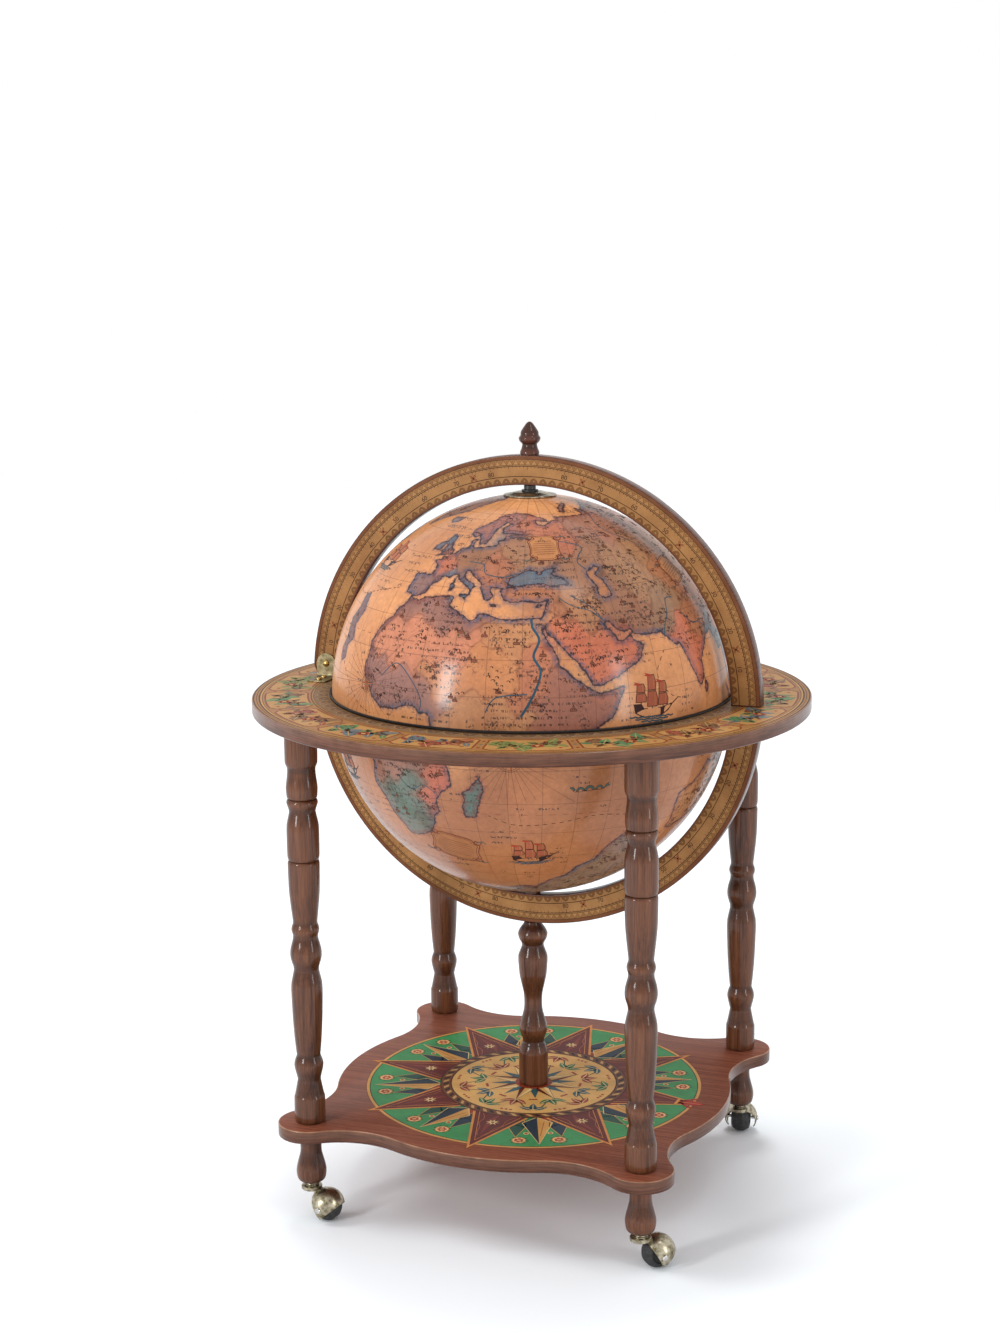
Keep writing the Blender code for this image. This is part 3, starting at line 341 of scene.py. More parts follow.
@dataclass
class MapPlate:
    """The colour and the ink of the map, laid layer by layer over the ground painted so far.

    The coast is the distance in from it in mm, the land 1 on land and 0 at sea, and ragged an uneven
    field that breaks strokes up.
    """

    tree: Tree
    place: Socket
    twist: float
    ink: str = "#2B1A1C"

    def __post_init__(self) -> None:
        """Reads the piece's own map values and lays the washes, with the painted shade on the lower half's
        sea, as the first ground.
        """
        tree = self.tree
        self.level = add(tree, SPLIT, (self.place,)).outputs["Z"]
        shore, land_wash, sea_wash = (
            add(tree, READ, attribute_name=name).outputs[output]
            for name, output in (("shore", "Fac"), ("land_wash", "Color"), ("sea_wash", "Color"))
        )
        # The engraver's coast wanders 1.5 mm about the drawn outline, in bays of 9 mm and 3 mm
        bays = add(tree, NOISE, {"Vector": self.place, "Scale": 110.0, "Detail": 4.0, "Roughness": 0.65})
        wander = add(tree, MATH, (bays, 0.5), operation="SUBTRACT")
        self.coast = add(tree, MATH, (wander, 6.0, shore), operation="MULTIPLY_ADD")
        self.land = add(tree, RANGE, (self.coast, -0.12, 0.12, 0.0, 1.0))
        self.ragged = add(tree, NOISE, {"Vector": self.place, "Scale": 260.0, "Detail": 2.0})
        self.ground = add(tree, MIX, (self.land, sea_wash, land_wash), data_type="RGBA")

    def cover(self, share: Node, colour: str | Node, blend: str = "MIX") -> None:
        """Lays a colour over the ground.

        Args:
            share: How much of it covers, from 0 to 1.
            colour: The colour, in hex or as a node.
            blend: How the two mix.
        """
        self.ground = add(
            self.tree, MIX, (share, self.ground, colour), data_type="RGBA", blend_type=blend
        )

    def shade(self, share: Node) -> None:
        """Darkens or lightens the ground by a factor."""
        self.ground = add(self.tree, VECTOR, {"Vector": self.ground, "Scale": share}, operation="SCALE")

    def age(self) -> None:
        """Darkens the sheet in clouds and gives it the mottle of rag paper."""
        tree, place = self.tree, self.place
        # Clouds of brown are some 90 mm across, the rag's mottle 6 mm
        cloud = add(tree, NOISE, {"Vector": place, "Scale": 11.0, "Detail": 5.0, "Roughness": 0.6})
        mottle = add(tree, NOISE, {"Vector": place, "Scale": 170.0, "Detail": 4.0, "Roughness": 0.7})
        self.cover(add(tree, RANGE, (cloud, 0.38, 0.72, 0.0, 0.34)), "#A8653F", "MULTIPLY")
        self.shade(add(tree, RANGE, (mottle, 0.25, 0.75, 0.80, 1.16)))

    def shade_coast(self) -> None:
        """Hatches the sea along the coast and rims the land with the same blue and red by hand."""
        tree = self.tree
        # Level strokes, one each 0.9 mm, run 1.5 to 8 mm out to sea
        phase = add(tree, MATH, (self.level, math.tau / (0.9 * MM)), operation="MULTIPLY")
        stroke = add(tree, MATH, (phase,), operation="SINE")
        reach = add(tree, RANGE, (self.ragged, 0.35, 0.65, -1.5, -8.0))
        off_shore = add(tree, RANGE, (self.coast, reach, 0.0, 0.0, 0.9))
        hatch = add(tree, RANGE, (stroke, -0.9, 0.9, 0.35, 1.0))
        sea_side = add(tree, MATH, (1.0, self.land), operation="SUBTRACT")
        hatched = add(tree, MATH, (off_shore, hatch), operation="MULTIPLY")
        shade = add(tree, MATH, (hatched, sea_side), operation="MULTIPLY", use_clamp=True)
        # The brush changes from blue to red each 110 mm or so
        tint = add(tree, NOISE, {"Vector": self.place, "Scale": 9.0, "Detail": 2.0})
        cool = add(tree, RANGE, (tint, 0.42, 0.56, 0.0, 1.0))
        brushed = add(tree, MIX, (cool, "#6E3430", "#34455E"), data_type="RGBA")
        self.cover(shade, brushed)
        rim = add(tree, RANGE, (self.coast, 0.5, 8.0, 1.0, 0.0))
        broken = add(tree, RANGE, (self.ragged, 0.38, 0.6, 0.3, 1.0))
        inland = add(tree, MATH, (rim, broken), operation="MULTIPLY")
        self.cover(add(tree, MATH, (inland, self.land), operation="MULTIPLY"), brushed)

    def draw_borders(self) -> None:
        """Runs two washes together over 3 mm, with a darker line of colour between them."""
        away = add(self.tree, READ, attribute_name="border").outputs["Fac"]
        shaky = add(self.tree, MATH, (self.ragged, 2.0, away), operation="MULTIPLY_ADD")
        between = add(self.tree, RANGE, (shaky, 1.2, 3.4, 0.5, 0.0))
        self.cover(add(self.tree, MATH, (between, self.land), operation="MULTIPLY"), "#8A5E58", "MULTIPLY")

    def draw_hills(self) -> None:
        """Draws ranges of hills: dark strokes 1 to 3 mm long, in patches some 25 mm across."""
        tree, place = self.tree, self.place
        strokes = add(tree, NOISE, {"Vector": place, "Scale": 300.0, "Detail": 3.0, "Roughness": 0.7})
        patch = add(tree, NOISE, {"Vector": place, "Scale": 42.0, "Detail": 2.0})
        dark = add(tree, RANGE, (strokes, 0.53, 0.60, 0.0, 0.85))
        patchy = add(tree, RANGE, (patch, 0.50, 0.60, 0.0, 1.0))
        marks = add(tree, MATH, (dark, patchy), operation="MULTIPLY")
        self.cover(add(tree, MATH, (marks, self.land), operation="MULTIPLY", use_clamp=True), self.ink)

    def draw_rows(self) -> None:
        """Fills plains and some open sea with rows of upright ticks, 8 mm apart."""
        tree, place = self.tree, self.place
        row = add(tree, MATH, (self.level, 8.0 * MM), operation="DIVIDE")
        within = add(tree, MATH, (row,), operation="FRACT")
        in_row = add(tree, RANGE, (within, 0.30, 0.38, 1.0, 0.0))
        narrow = add(tree, MAPPING, {"Vector": place, "Scale": (520.0, 520.0, 110.0)})
        ticks = add(tree, NOISE, {"Vector": narrow, "Scale": 1.0, "Detail": 1.0})
        ticked = add(tree, RANGE, (ticks, 0.50, 0.57, 0.0, 0.8))
        patch = add(tree, NOISE, {"Vector": place, "Scale": 24.0, "Detail": 1.0})
        few = add(tree, RANGE, (self.land, 0.0, 1.0, 0.60, 0.52))
        among = add(tree, MATH, (patch, few), operation="GREATER_THAN")
        rows = add(tree, MATH, (in_row, ticked), operation="MULTIPLY")
        self.cover(add(tree, MATH, (rows, among), operation="MULTIPLY", use_clamp=True), self.ink)

    def draw_coast(self) -> None:
        """Draws the coast's own line, about 1 mm wide and swelling here and there."""
        edge = add(self.tree, MATH, (self.coast,), operation="ABSOLUTE")
        swell = add(self.tree, RANGE, (self.ragged, 0.38, 0.62, 2.0, 0.7))
        weighed = add(self.tree, MATH, (edge, swell), operation="MULTIPLY")
        self.cover(add(self.tree, RANGE, (weighed, 0.6, 1.4, 0.95, 0.0)), self.ink)

    def survey(self) -> None:
        """Draws the graticule each 10 degrees and sets off the twelve gores by a change of tone."""
        tree = self.tree
        centre = (0.0, 0.0, GLOBE_HEIGHT * MM)
        about = add(tree, VECTOR, (self.place, centre), operation="SUBTRACT")
        x, y, z = add(tree, SPLIT, (about,)).outputs
        flat = add(tree, MATH, (y, x), operation="ARCTAN2")
        azimuth = add(tree, MATH, (flat, 180 / math.pi, self.twist), operation="MULTIPLY_ADD")
        rise = add(tree, MATH, (z, GLOBE_RADIUS * MM), operation="DIVIDE")
        climb = add(tree, MATH, (rise,), operation="ARCSINE")
        latitude = add(tree, MATH, (climb, 180 / math.pi), operation="MULTIPLY")
        squeeze = add(tree, MATH, (climb,), operation="COSINE")
        degree = GLOBE_RADIUS * math.pi / 180
        for angle, narrow in ((azimuth, squeeze), (latitude, 1.0)):
            near = add(tree, MATH, (angle, 5.0), operation="PINGPONG")
            away = add(tree, MATH, (near, degree), operation="MULTIPLY")
            distance = add(tree, MATH, (away, narrow), operation="MULTIPLY")
            self.cover(add(tree, RANGE, (distance, 0.2, 0.6, 0.55, 0.0)), "#5A3324")
        gore = add(tree, MATH, (azimuth, 30.0), operation="DIVIDE")
        number = add(tree, MATH, (gore,), operation="FLOOR")
        chance = add(tree, "ShaderNodeTexWhiteNoise", (number,), noise_dimensions="1D")
        self.shade(add(tree, RANGE, (chance.outputs["Value"], 0.0, 1.0, 0.93, 1.06)))


@dataclass(frozen=True)
class MapPaper(Finish):
    """Twelve printed gores of antique-style map paper on the globe, washed by hand and varnished.

    The sheets' seams show every 30 degrees, the coasts are engraved and shaded, the lands carry thin
    washes, and the clear varnish gives a sharp soft-edged reflection.
    """

    twist: float = 0.0

    def paint(self, tree: Tree, place: Socket) -> dict[str, object]:
        """Lays the map's layers over each other and varnishes them."""
        plate = MapPlate(tree, place, self.twist)
        plate.age()
        plate.shade_coast()
        plate.draw_borders()
        plate.draw_hills()
        plate.draw_rows()
        plate.draw_coast()
        plate.survey()
        # The pasted gores cockle in waves of 17 mm
        relief = add(tree, NOISE, {"Vector": plate.place, "Scale": 60.0, "Detail": 2.0})
        bump = add(tree, BUMP, {"Strength": 0.05, "Distance": 0.0003, "Height": relief})
        return {
            "Base Color": plate.ground, "Normal": bump, "Roughness": 0.44, "IOR": 1.5,
            "Specular IOR Level": 0.12, "Coat Weight": 0.45, "Coat Roughness": 0.17,
        }


@dataclass(frozen=True)
class LiningPaper(Finish):
    """Plain tan lining paper inside the halves, brushed on in overlapping strips under thin varnish."""

    def paint(self, tree: Tree, place: Socket) -> dict[str, object]:
        """Gives the paper its clouds and the faint rims of its strips."""
        # Clouds of paste are some 70 mm across, tufts of fibres 2.4 mm, strips 30 degrees wide
        cloud = add(tree, NOISE, {"Vector": place, "Scale": 14.0, "Detail": 5.0, "Roughness": 0.6})
        fibre = add(tree, NOISE, {"Vector": place, "Scale": 420.0, "Detail": 3.0})
        tone = add(tree, MIX, (0.35, cloud, fibre))
        share = add(tree, RANGE, (tone, 0.3, 0.7, 0.0, 1.0))
        ground = add(tree, MIX, (share, "#9C6A40", "#C99A66"), data_type="RGBA")
        split = add(tree, SPLIT, (place,))
        flat = add(tree, MATH, (split.outputs["Y"], split.outputs["X"]), operation="ARCTAN2")
        near = add(tree, MATH, (flat, math.pi / 12), operation="PINGPONG")
        seam = add(tree, RANGE, (near, 0.0, 0.008, 0.45, 0.0))
        colour = add(tree, MIX, (seam, ground, "#7A4C2A"), data_type="RGBA")
        bump = add(tree, BUMP, {"Strength": 0.1, "Distance": 0.0003, "Height": fibre})
        return {
            "Base Color": colour, "Normal": bump, "Roughness": 0.5, "IOR": 1.5, "Coat Weight": 0.15,
            "Coat Roughness": 0.3,
        }


@dataclass(frozen=True)
class TrayPlywood(Finish):
    """Birch plywood with a clear satin varnish, for the tray and the bottle floor inside the globe."""

    def paint(self, tree: Tree, place: Socket) -> dict[str, object]:
        """Lays pale rotary-cut figure along X."""
        # Rotary-cut birch has long loops some 12 mm wide, with fibres of 0.5 mm drawn at 1 mm
        loops = add(tree, MAPPING, {"Vector": place, "Scale": (6.0, 80.0, 80.0)})
        fibres = add(tree, MAPPING, {"Vector": place, "Scale": (40.0, 1000.0, 1000.0)})
        loop = add(tree, NOISE, {"Vector": loops, "Scale": 1.0, "Detail": 3.0, "Distortion": 0.6})
        fibre = add(tree, NOISE, {"Vector": fibres, "Scale": 1.0, "Detail": 2.0})
        tone = add(tree, MIX, (0.4, loop, fibre))
        share = add(tree, RANGE, (tone, 0.3, 0.7, 0.0, 1.0))
        colour = add(tree, MIX, (share, "#A67445", "#CFA06B"), data_type="RGBA")
        return {
            "Base Color": colour, "Roughness": 0.42, "IOR": 1.5, "Coat Weight": 0.25, "Coat Roughness": 0.2,
        }


class Plating(Enum):
    """The metals on the stand, as the lighter and the darker colour of their clouds, and the roughness."""

    ANTIQUE_BRASS = ("#B9B09A", "#6A6149", 0.26)
    OLIVE_BRASS = ("#978A6C", "#6E6446", 0.42)
    BRIGHT_BRASS = ("#D9B978", "#9A7838", 0.16)
    ZINC = ("#C9CACB", "#8D8F92", 0.30)
    NICKEL = ("#E4E2DD", "#A9A6A0", 0.12)


@dataclass(frozen=True)
class PlatedMetal(Finish):
    """Pressed or turned metal, plated and lacquered.

    Plating clouds lighter and darker with handling; fine brush marks soften its reflections.
    """

    plating: Plating = Plating.ANTIQUE_BRASS

    def paint(self, tree: Tree, place: Socket) -> dict[str, object]:
        """Clouds the plating and varies its gloss."""
        light, dark, roughness = self.plating.value
        # Clouds of tarnish are about 6 mm across, brush marks 0.4 mm
        cloud = add(tree, NOISE, {"Vector": place, "Scale": 160.0, "Detail": 4.0, "Roughness": 0.6})
        brush = add(tree, NOISE, {"Vector": place, "Scale": 2500.0, "Detail": 1.0})
        share = add(tree, RANGE, (cloud, 0.35, 0.6, 0.0, 1.0))
        colour = add(tree, MIX, (share, dark, light), data_type="RGBA")
        rough = add(tree, RANGE, (cloud, 0.3, 0.7, roughness + 0.14, roughness))
        bump = add(tree, BUMP, {"Strength": 0.06, "Distance": 0.0001, "Height": brush})
        return {"Base Color": colour, "Roughness": rough, "Normal": bump, "Metallic": 1.0}


@dataclass(frozen=True)
class MouldedNylon(Finish):
    """Black moulded nylon of the bush and washer, with the dull even skin of a mould."""

    def paint(self, tree: Tree, place: Socket) -> dict[str, object]:
        """Gives the skin a faint grain of 0.5 mm."""
        grain = add(tree, NOISE, {"Vector": place, "Scale": 2000.0, "Detail": 2.0})
        colour = add(tree, MIX, (grain, "#141313", "#232120"), data_type="RGBA")
        bump = add(tree, BUMP, {"Strength": 0.1, "Distance": 0.0001, "Height": grain})
        return {"Base Color": colour, "Normal": bump, "Roughness": 0.42, "IOR": 1.53}


@dataclass(frozen=True)
class TreadRubber(Finish):
    """Dark grey rubber of the casters' wheels, dusty on the tread and scuffed."""

    def paint(self, tree: Tree, place: Socket) -> dict[str, object]:
        """Lays dust in patches of 5 mm over the black."""
        dust = add(tree, NOISE, {"Vector": place, "Scale": 200.0, "Detail": 4.0, "Roughness": 0.7})
        share = add(tree, RANGE, (dust, 0.45, 0.75, 0.0, 1.0))
        colour = add(tree, MIX, (share, "#1C1C1D", "#3B3936"), data_type="RGBA")
        bump = add(tree, BUMP, {"Strength": 0.15, "Distance": 0.0002, "Height": dust})
        return {"Base Color": colour, "Normal": bump, "Roughness": 0.6, "IOR": 1.52}


@dataclass(frozen=True)
class TwistedCord(Finish):
    """Black mercerised cotton cord, twisted from two plies, with a soft sheen and fine fibres."""

    def paint(self, tree: Tree, place: Socket) -> dict[str, object]:
        """Varies the black along the fibres and adds their sheen."""
        # The cotton's fibres lie in tufts of 0.45 mm
        fibre = add(tree, NOISE, {"Vector": place, "Scale": 2200.0, "Detail": 3.0})
        colour = add(tree, MIX, (fibre, "#0D0B0A", "#2A2320"), data_type="RGBA")
        bump = add(tree, BUMP, {"Strength": 0.3, "Distance": 0.0002, "Height": fibre})
        return {
            "Base Color": colour, "Normal": bump, "Roughness": 0.5, "Sheen Weight": 0.2,
            "Sheen Roughness": 0.4,
        }


def dressed(name: str, mesh: Mesh, *finishes: Finish) -> bpy.types.Object:
    """Puts a mesh into the scene with its finishes, smooth but for its sharp edges.

    Args:
        name: The piece's name.
        mesh: Its mesh.
        *finishes: Its finishes, in the order of the faces' material numbers.

    Returns:
        The new object, at the frame's origin.
    """
    for finish in finishes:
        mesh.materials.append(finish.material())
    mesh.shade_smooth()
    mesh.set_sharp_from_angle(angle=SHARP)
    return placed_in_scene(bpy.data.objects.new(name, mesh))


def placed_in_scene(made: bpy.types.Object) -> bpy.types.Object:
    """Links an object into the scene and gives it back."""
    bpy.context.scene.collection.objects.link(made)
    return made


@dataclass(frozen=True)
class Seat:
    """Where a piece belongs: the body that carries it, its material slot, which is not used, the CAD nodes it
    stands for.
    """

    body: str
    slot: str
    nodes: tuple[str, ...] = ()

    def take(self, name: str, mesh: Mesh, *finishes: Finish) -> None:
        """Dresses a mesh that is in place and lets it ride on the seat's body.

        Args:
            name: The piece's name.
            mesh: Its mesh.
            *finishes: Its finishes, in the order of the faces' material numbers.
        """
        piece = dressed(name, mesh, *finishes)
        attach(piece, self.body)
        if self.nodes:
            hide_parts(*self.nodes)
        log.info("%s rides on %s: %d faces", name, self.body, len(mesh.polygons))


def flowing(points: Sequence[Point], step: float = 1.2) -> list[Point]:
    """Runs a smooth curve through a turned profile's (height, radius) points.

    Args:
        points: The profile's points in mm; a point written twice is a sharp corner.
        step: How long one straight piece is, in mm.

    Returns:
        The curve's points in mm.
    """
    curve = [points[0]]
    for index, (start, end) in enumerate(zip(points, points[1:])):
        length = math.dist(start, end)
        if length == 0:
            continue
        before = points[max(index - 1, 0)]
        after = points[min(index + 2, len(points) - 1)]
        pieces = max(1, round(length / step))
        for number in range(1, pieces + 1):
            t = number / pieces
            weights = (
                -0.5 * t + t**2 - 0.5 * t**3,
                1 - 2.5 * t**2 + 1.5 * t**3,
                0.5 * t + 2 * t**2 - 1.5 * t**3,
                -0.5 * t**2 + 0.5 * t**3,
            )
            known = (before, start, end, after)
            curve.append(tuple(sum(w * p[axis] for w, p in zip(weights, known)) for axis in (0, 1)))
    return curve


def baked(name: str, shape: bmesh.types.BMesh) -> Mesh:
    """Turns an editable shape into a mesh and lets go of it.

    Args:
        name: The mesh's name.
        shape: The editable shape.

    Returns:
        The mesh.
    """
    mesh = bpy.data.meshes.new(name)
    shape.to_mesh(mesh)
    shape.free()
    return mesh


def valued(mesh: Mesh, name: str, values: Sequence, domain: str = "POINT") -> None:
    """Stores values on a mesh for its finish to read.

    Args:
        mesh: The mesh.
        name: The name that the finish reads them by.
        values: One number or one colour for each point or corner.
        domain: Whether they belong to points or to corners.
    """
    table = np.asarray(values, dtype=np.float32)
    kind, key = ("FLOAT", "value") if table.ndim == 1 else ("FLOAT_COLOR", "color")
    mesh.attributes.new(name, kind, domain).data.foreach_set(key, table.ravel())


def skinned(name: str, grid: np.ndarray, loop: bool) -> Mesh:
    """Stretches a skin over rows of points, each row closed on itself.

    Args:
        name: The mesh's name.
        grid: The rows of points in mm, anticlockwise when they are seen from the last row.
        loop: Whether the last row joins the first; otherwise a flat face closes either end.

    Returns:
        The mesh, with the faces between rows first.
    """
    here = np.arange(grid.shape[0] * grid.shape[1]).reshape(grid.shape[:2])
    after = np.roll(here, -1, axis=0)
    sides = np.stack((here, np.roll(here, -1, axis=1), np.roll(after, -1, axis=1), after), axis=-1)
    faces = sides[: None if loop else -1].reshape(-1, 4).tolist()
    if not loop:
        faces += [here[0, ::-1].tolist(), here[-1].tolist()]
    mesh = bpy.data.meshes.new(name)
    mesh.from_pydata((grid * MM).reshape(-1, 3).tolist(), [], faces)
    return mesh


def lathe(name: str, profile: Sequence[Point], facets: int = 64, loop: bool = False) -> Mesh:
    """Spins a profile round Z.

    Args:
        name: The mesh's name.
        profile: (height, radius) points in mm, going up the outer side.
        facets: How many faces go round.
        loop: Whether the profile closes on itself, as a ring's does.

    Returns:
        The mesh, with a groove value on each point that says how deep it lies, which the turned wood's finish
        darkens as painted shade.
    """
    angles = np.linspace(0.0, math.tau, facets, endpoint=False)
    heights, radii = np.array(profile, dtype=float).T
    grid = np.empty((len(profile), facets, 3))
    grid[:, :, 0] = radii[:, None] * np.cos(angles)
    grid[:, :, 1] = radii[:, None] * np.sin(angles)
    grid[:, :, 2] = heights[:, None]
    mesh = skinned(name, grid, loop)
    valued(mesh, "groove", np.repeat(hollows(heights, radii), facets))
    return mesh


def hollows(heights: np.ndarray, radii: np.ndarray) -> np.ndarray:
    """How deep each point of a turned profile lies between the swellings beside it.

    Args:
        heights: The points' heights in mm.
        radii: Their radii in mm.

    Returns:
        0 on the swellings to 1 in the grooves.
    """
    reach = 9.0
    full_depth = 3.0
    near = np.abs(heights[:, None] - heights[None, :]) < reach
    highest = np.where(near, radii[None, :], 0.0).max(axis=1)
    return np.clip((highest - radii) / full_depth, 0.0, 1.0)


def collar(low: float, high: float, outer: float, bore: float, ease: float) -> list[Point]:
    """The closed (height, radius) section of a ring whose outer edges are eased, in mm."""
    edge = outer - ease
    outside = [(low, edge), (low + ease, outer), (high - ease, outer), (high, edge)]
    return [*outside, (high, bore), (low, bore)]


def placed(mesh: Mesh, x: float, y: float, z: float = 0.0) -> Mesh:
    """Moves a mesh by x, y and z in mm and gives it back."""
    mesh.transform(Matrix.Translation(Vector((x, y, z)) * MM))
    return mesh


def merged(name: str, parts: Iterable[Mesh]) -> Mesh:
    """One mesh of several.

    Args:
        name: The new mesh's name.
        parts: The meshes, which are used up.

    Returns:
        The joint mesh.
    """
    shape = bmesh.new()
    for part in parts:
        shape.from_mesh(part)
        bpy.data.meshes.remove(part)
    return baked(name, shape)


def extent(node: str) -> Point:
    """The heights in mm of a CAD node's underside and top."""
    low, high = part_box(node)
    return (low.z / MM, high.z / MM)


def polar(radius: float, degrees: float, centre: Point = (0.0, 0.0)) -> Point:
    """The point at a distance and an angle from a centre."""
    angle = math.radians(degrees)
    return (centre[0] + radius * math.cos(angle), centre[1] + radius * math.sin(angle))


def arc(radius: float, start: float, end: float, steps: int, centre: Point = (0.0, 0.0)) -> list[Point]:
    """Points along an arc between two angles in degrees, with both its ends."""
    return [polar(radius, start + (end - start) * step / steps, centre) for step in range(steps + 1)]


@dataclass
class Sheet:
    """Printed shapes in a plane, in mm, laid over each other a hair apart to make one mesh.

    A motif is drawn with its own turn and centre, which move_to sets.
    """

    lift: float = 0.03
    shapes: list[tuple[list[Point], str, int]] = field(default_factory=list)
    centre: Point = (0.0, 0.0)
    turn: float = 0.0
    size: float = 1.0

    def move_to(self, centre: Point = (0.0, 0.0), turn: float = 0.0, size: float = 1.0) -> None:
        """Sets where the next shapes' own origin lies, how it is turned, and their scale."""
        self.centre = centre
        self.turn = turn
        self.size = size

    def fill(self, points: Sequence[Point], ink: str, level: int = 1) -> None:
        """Fills an outline with an ink.

        Args:
            points: The outline, in the motif's own place.
            ink: The colour in hex.
            level: Which layer it lies in; a higher one covers a lower one.
        """
        cosine = math.cos(math.radians(self.turn)) * self.size
        sine = math.sin(math.radians(self.turn)) * self.size
        moved = [self.position(x * cosine - y * sine, x * sine + y * cosine) for x, y in points]
        turning = sum(a[0] * b[1] - b[0] * a[1] for a, b in zip(moved, [*moved[1:], moved[0]]))
        self.shapes.append((moved if turning > 0 else moved[::-1], ink, level))

    def outlined(self, points: Sequence[Point], ink: str, level: int, width: float, rim: str) -> None:
        """Fills an outline and draws its rim in the layer above.

        Args:
            points: The outline, in the motif's own place.
            ink: The colour inside it, in hex.
            level: Which layer it lies in.
            width: The rim's width in mm.
            rim: The rim's colour in hex.
        """
        self.fill(points, ink, level)
        self.line(points, width, rim, level + 1, closed=True)

    def position(self, across: float, up: float) -> Point:
        """The sheet's own point for an offset from the motif's centre, in mm."""
        return (self.centre[0] + across, self.centre[1] + up)

    def line(
        self, points: Sequence[Point], width: float, ink: str, level: int = 1, closed: bool = False
    ) -> None:
        """Draws a line through points, with mitred corners.

        Args:
            points: The line's points.
            width: Its width in mm.
            ink: The colour in hex.
            level: Which layer it lies in.
            closed: Whether it comes back to its start.
        """
        count = len(points)
        least_stretch = 0.5
        sides = []
        for index, point in enumerate(points):
            before = points[index - 1] if closed or index else point
            after = points[(index + 1) % count] if closed or index < count - 1 else point
            first = np.subtract(point, before)
            second = np.subtract(after, point)
            first = first / (np.linalg.norm(first) or 1.0)
            second = second / (np.linalg.norm(second) or 1.0)
            along = first + second
            along = along / (np.linalg.norm(along) or 1.0)
            stretch = max(abs(float(np.dot(along, first if first.any() else second))), least_stretch)
            normal = np.array((-along[1], along[0])) * width / 2 / stretch
            sides.append((tuple(point + normal), tuple(point - normal)))
        for index in range(count if closed else count - 1):
            left, right = sides[index]
            next_left, next_right = sides[(index + 1) % count]
            self.fill([right, next_right, next_left, left], ink, level)

    def band(
        self,
        inner: float,
        outer: float,
        ink: str,
        level: int = 1,
        span: Point = (0.0, 360.0),
        steps: int = 192,
    ) -> None:
        """Fills a ring, or a stretch of it, between two radii.

        Args:
            inner: The smaller radius in mm.
            outer: The larger one.
            ink: The colour in hex.
            level: Which layer it lies in.
            span: Where the stretch starts and ends, in degrees.
            steps: How many pieces it is made of.
        """
        angles = np.linspace(*span, steps + 1)
        for first, last in zip(angles, angles[1:]):
            corners = [polar(inner, first), polar(outer, first), polar(outer, last), polar(inner, last)]
            self.fill(corners, ink, level)

    def disc(self, radius: float, ink: str, level: int = 1, at: Point = (0.0, 0.0), steps: int = 16) -> None:
        """Fills a round spot."""
        self.fill(arc(radius, 0, 360 - 360 / steps, steps - 1, at), ink, level)

    def leaf(self, length: float, width: float, ink: str, vein: str, level: int = 1) -> None:
        """Draws a pointed leaf that grows along X from the motif's origin, with its vein.

        Args:
            length: Its length in mm.
            width: Its greatest width in mm.
            ink: Its colour in hex.
            vein: The vein's colour in hex.
            level: Which layer it lies in; its vein lies in the one above.
        """
        steps = 8
        upper = [
            (length * step / steps, width / 2 * math.sin(math.pi * (step / steps) ** 0.8))
            for step in range(steps + 1)
        ]
        self.fill([*upper, *((x, -y) for x, y in reversed(upper[1:-1]))], ink, level)
        self.line([(0.0, 0.0), (length * 0.85, 0.0)], width * 0.1, vein, level + 1)

    def mesh(self, name: str, place: Callable[[float, float, float], Vector]) -> Mesh:
        """Makes the printed shapes into one mesh.

        Args:
            name: The mesh's name.
            place: Gives the point in metres for x, y and a height over the sheet in mm.

        Returns:
            The mesh, with each face's colour in its ink values.
        """
        vertices = []
        faces = []
        inks = []
        for points, ink, level in self.shapes:
            first = len(vertices)
            vertices += [place(x, y, level * self.lift) for x, y in points]
            faces.append(tuple(range(first, len(vertices))))
            inks += [linear(ink)] * len(points)
        mesh = bpy.data.meshes.new(name)
        mesh.from_pydata(vertices, [], faces)
        valued(mesh, "ink", inks, "CORNER")
        return mesh


def on_level(height: float) -> Callable[[float, float, float], Vector]:
    """Lays a sheet flat on a level, face up; the height is in mm."""
    return lambda x, y, lift: Vector((x, y, height + lift)) * MM


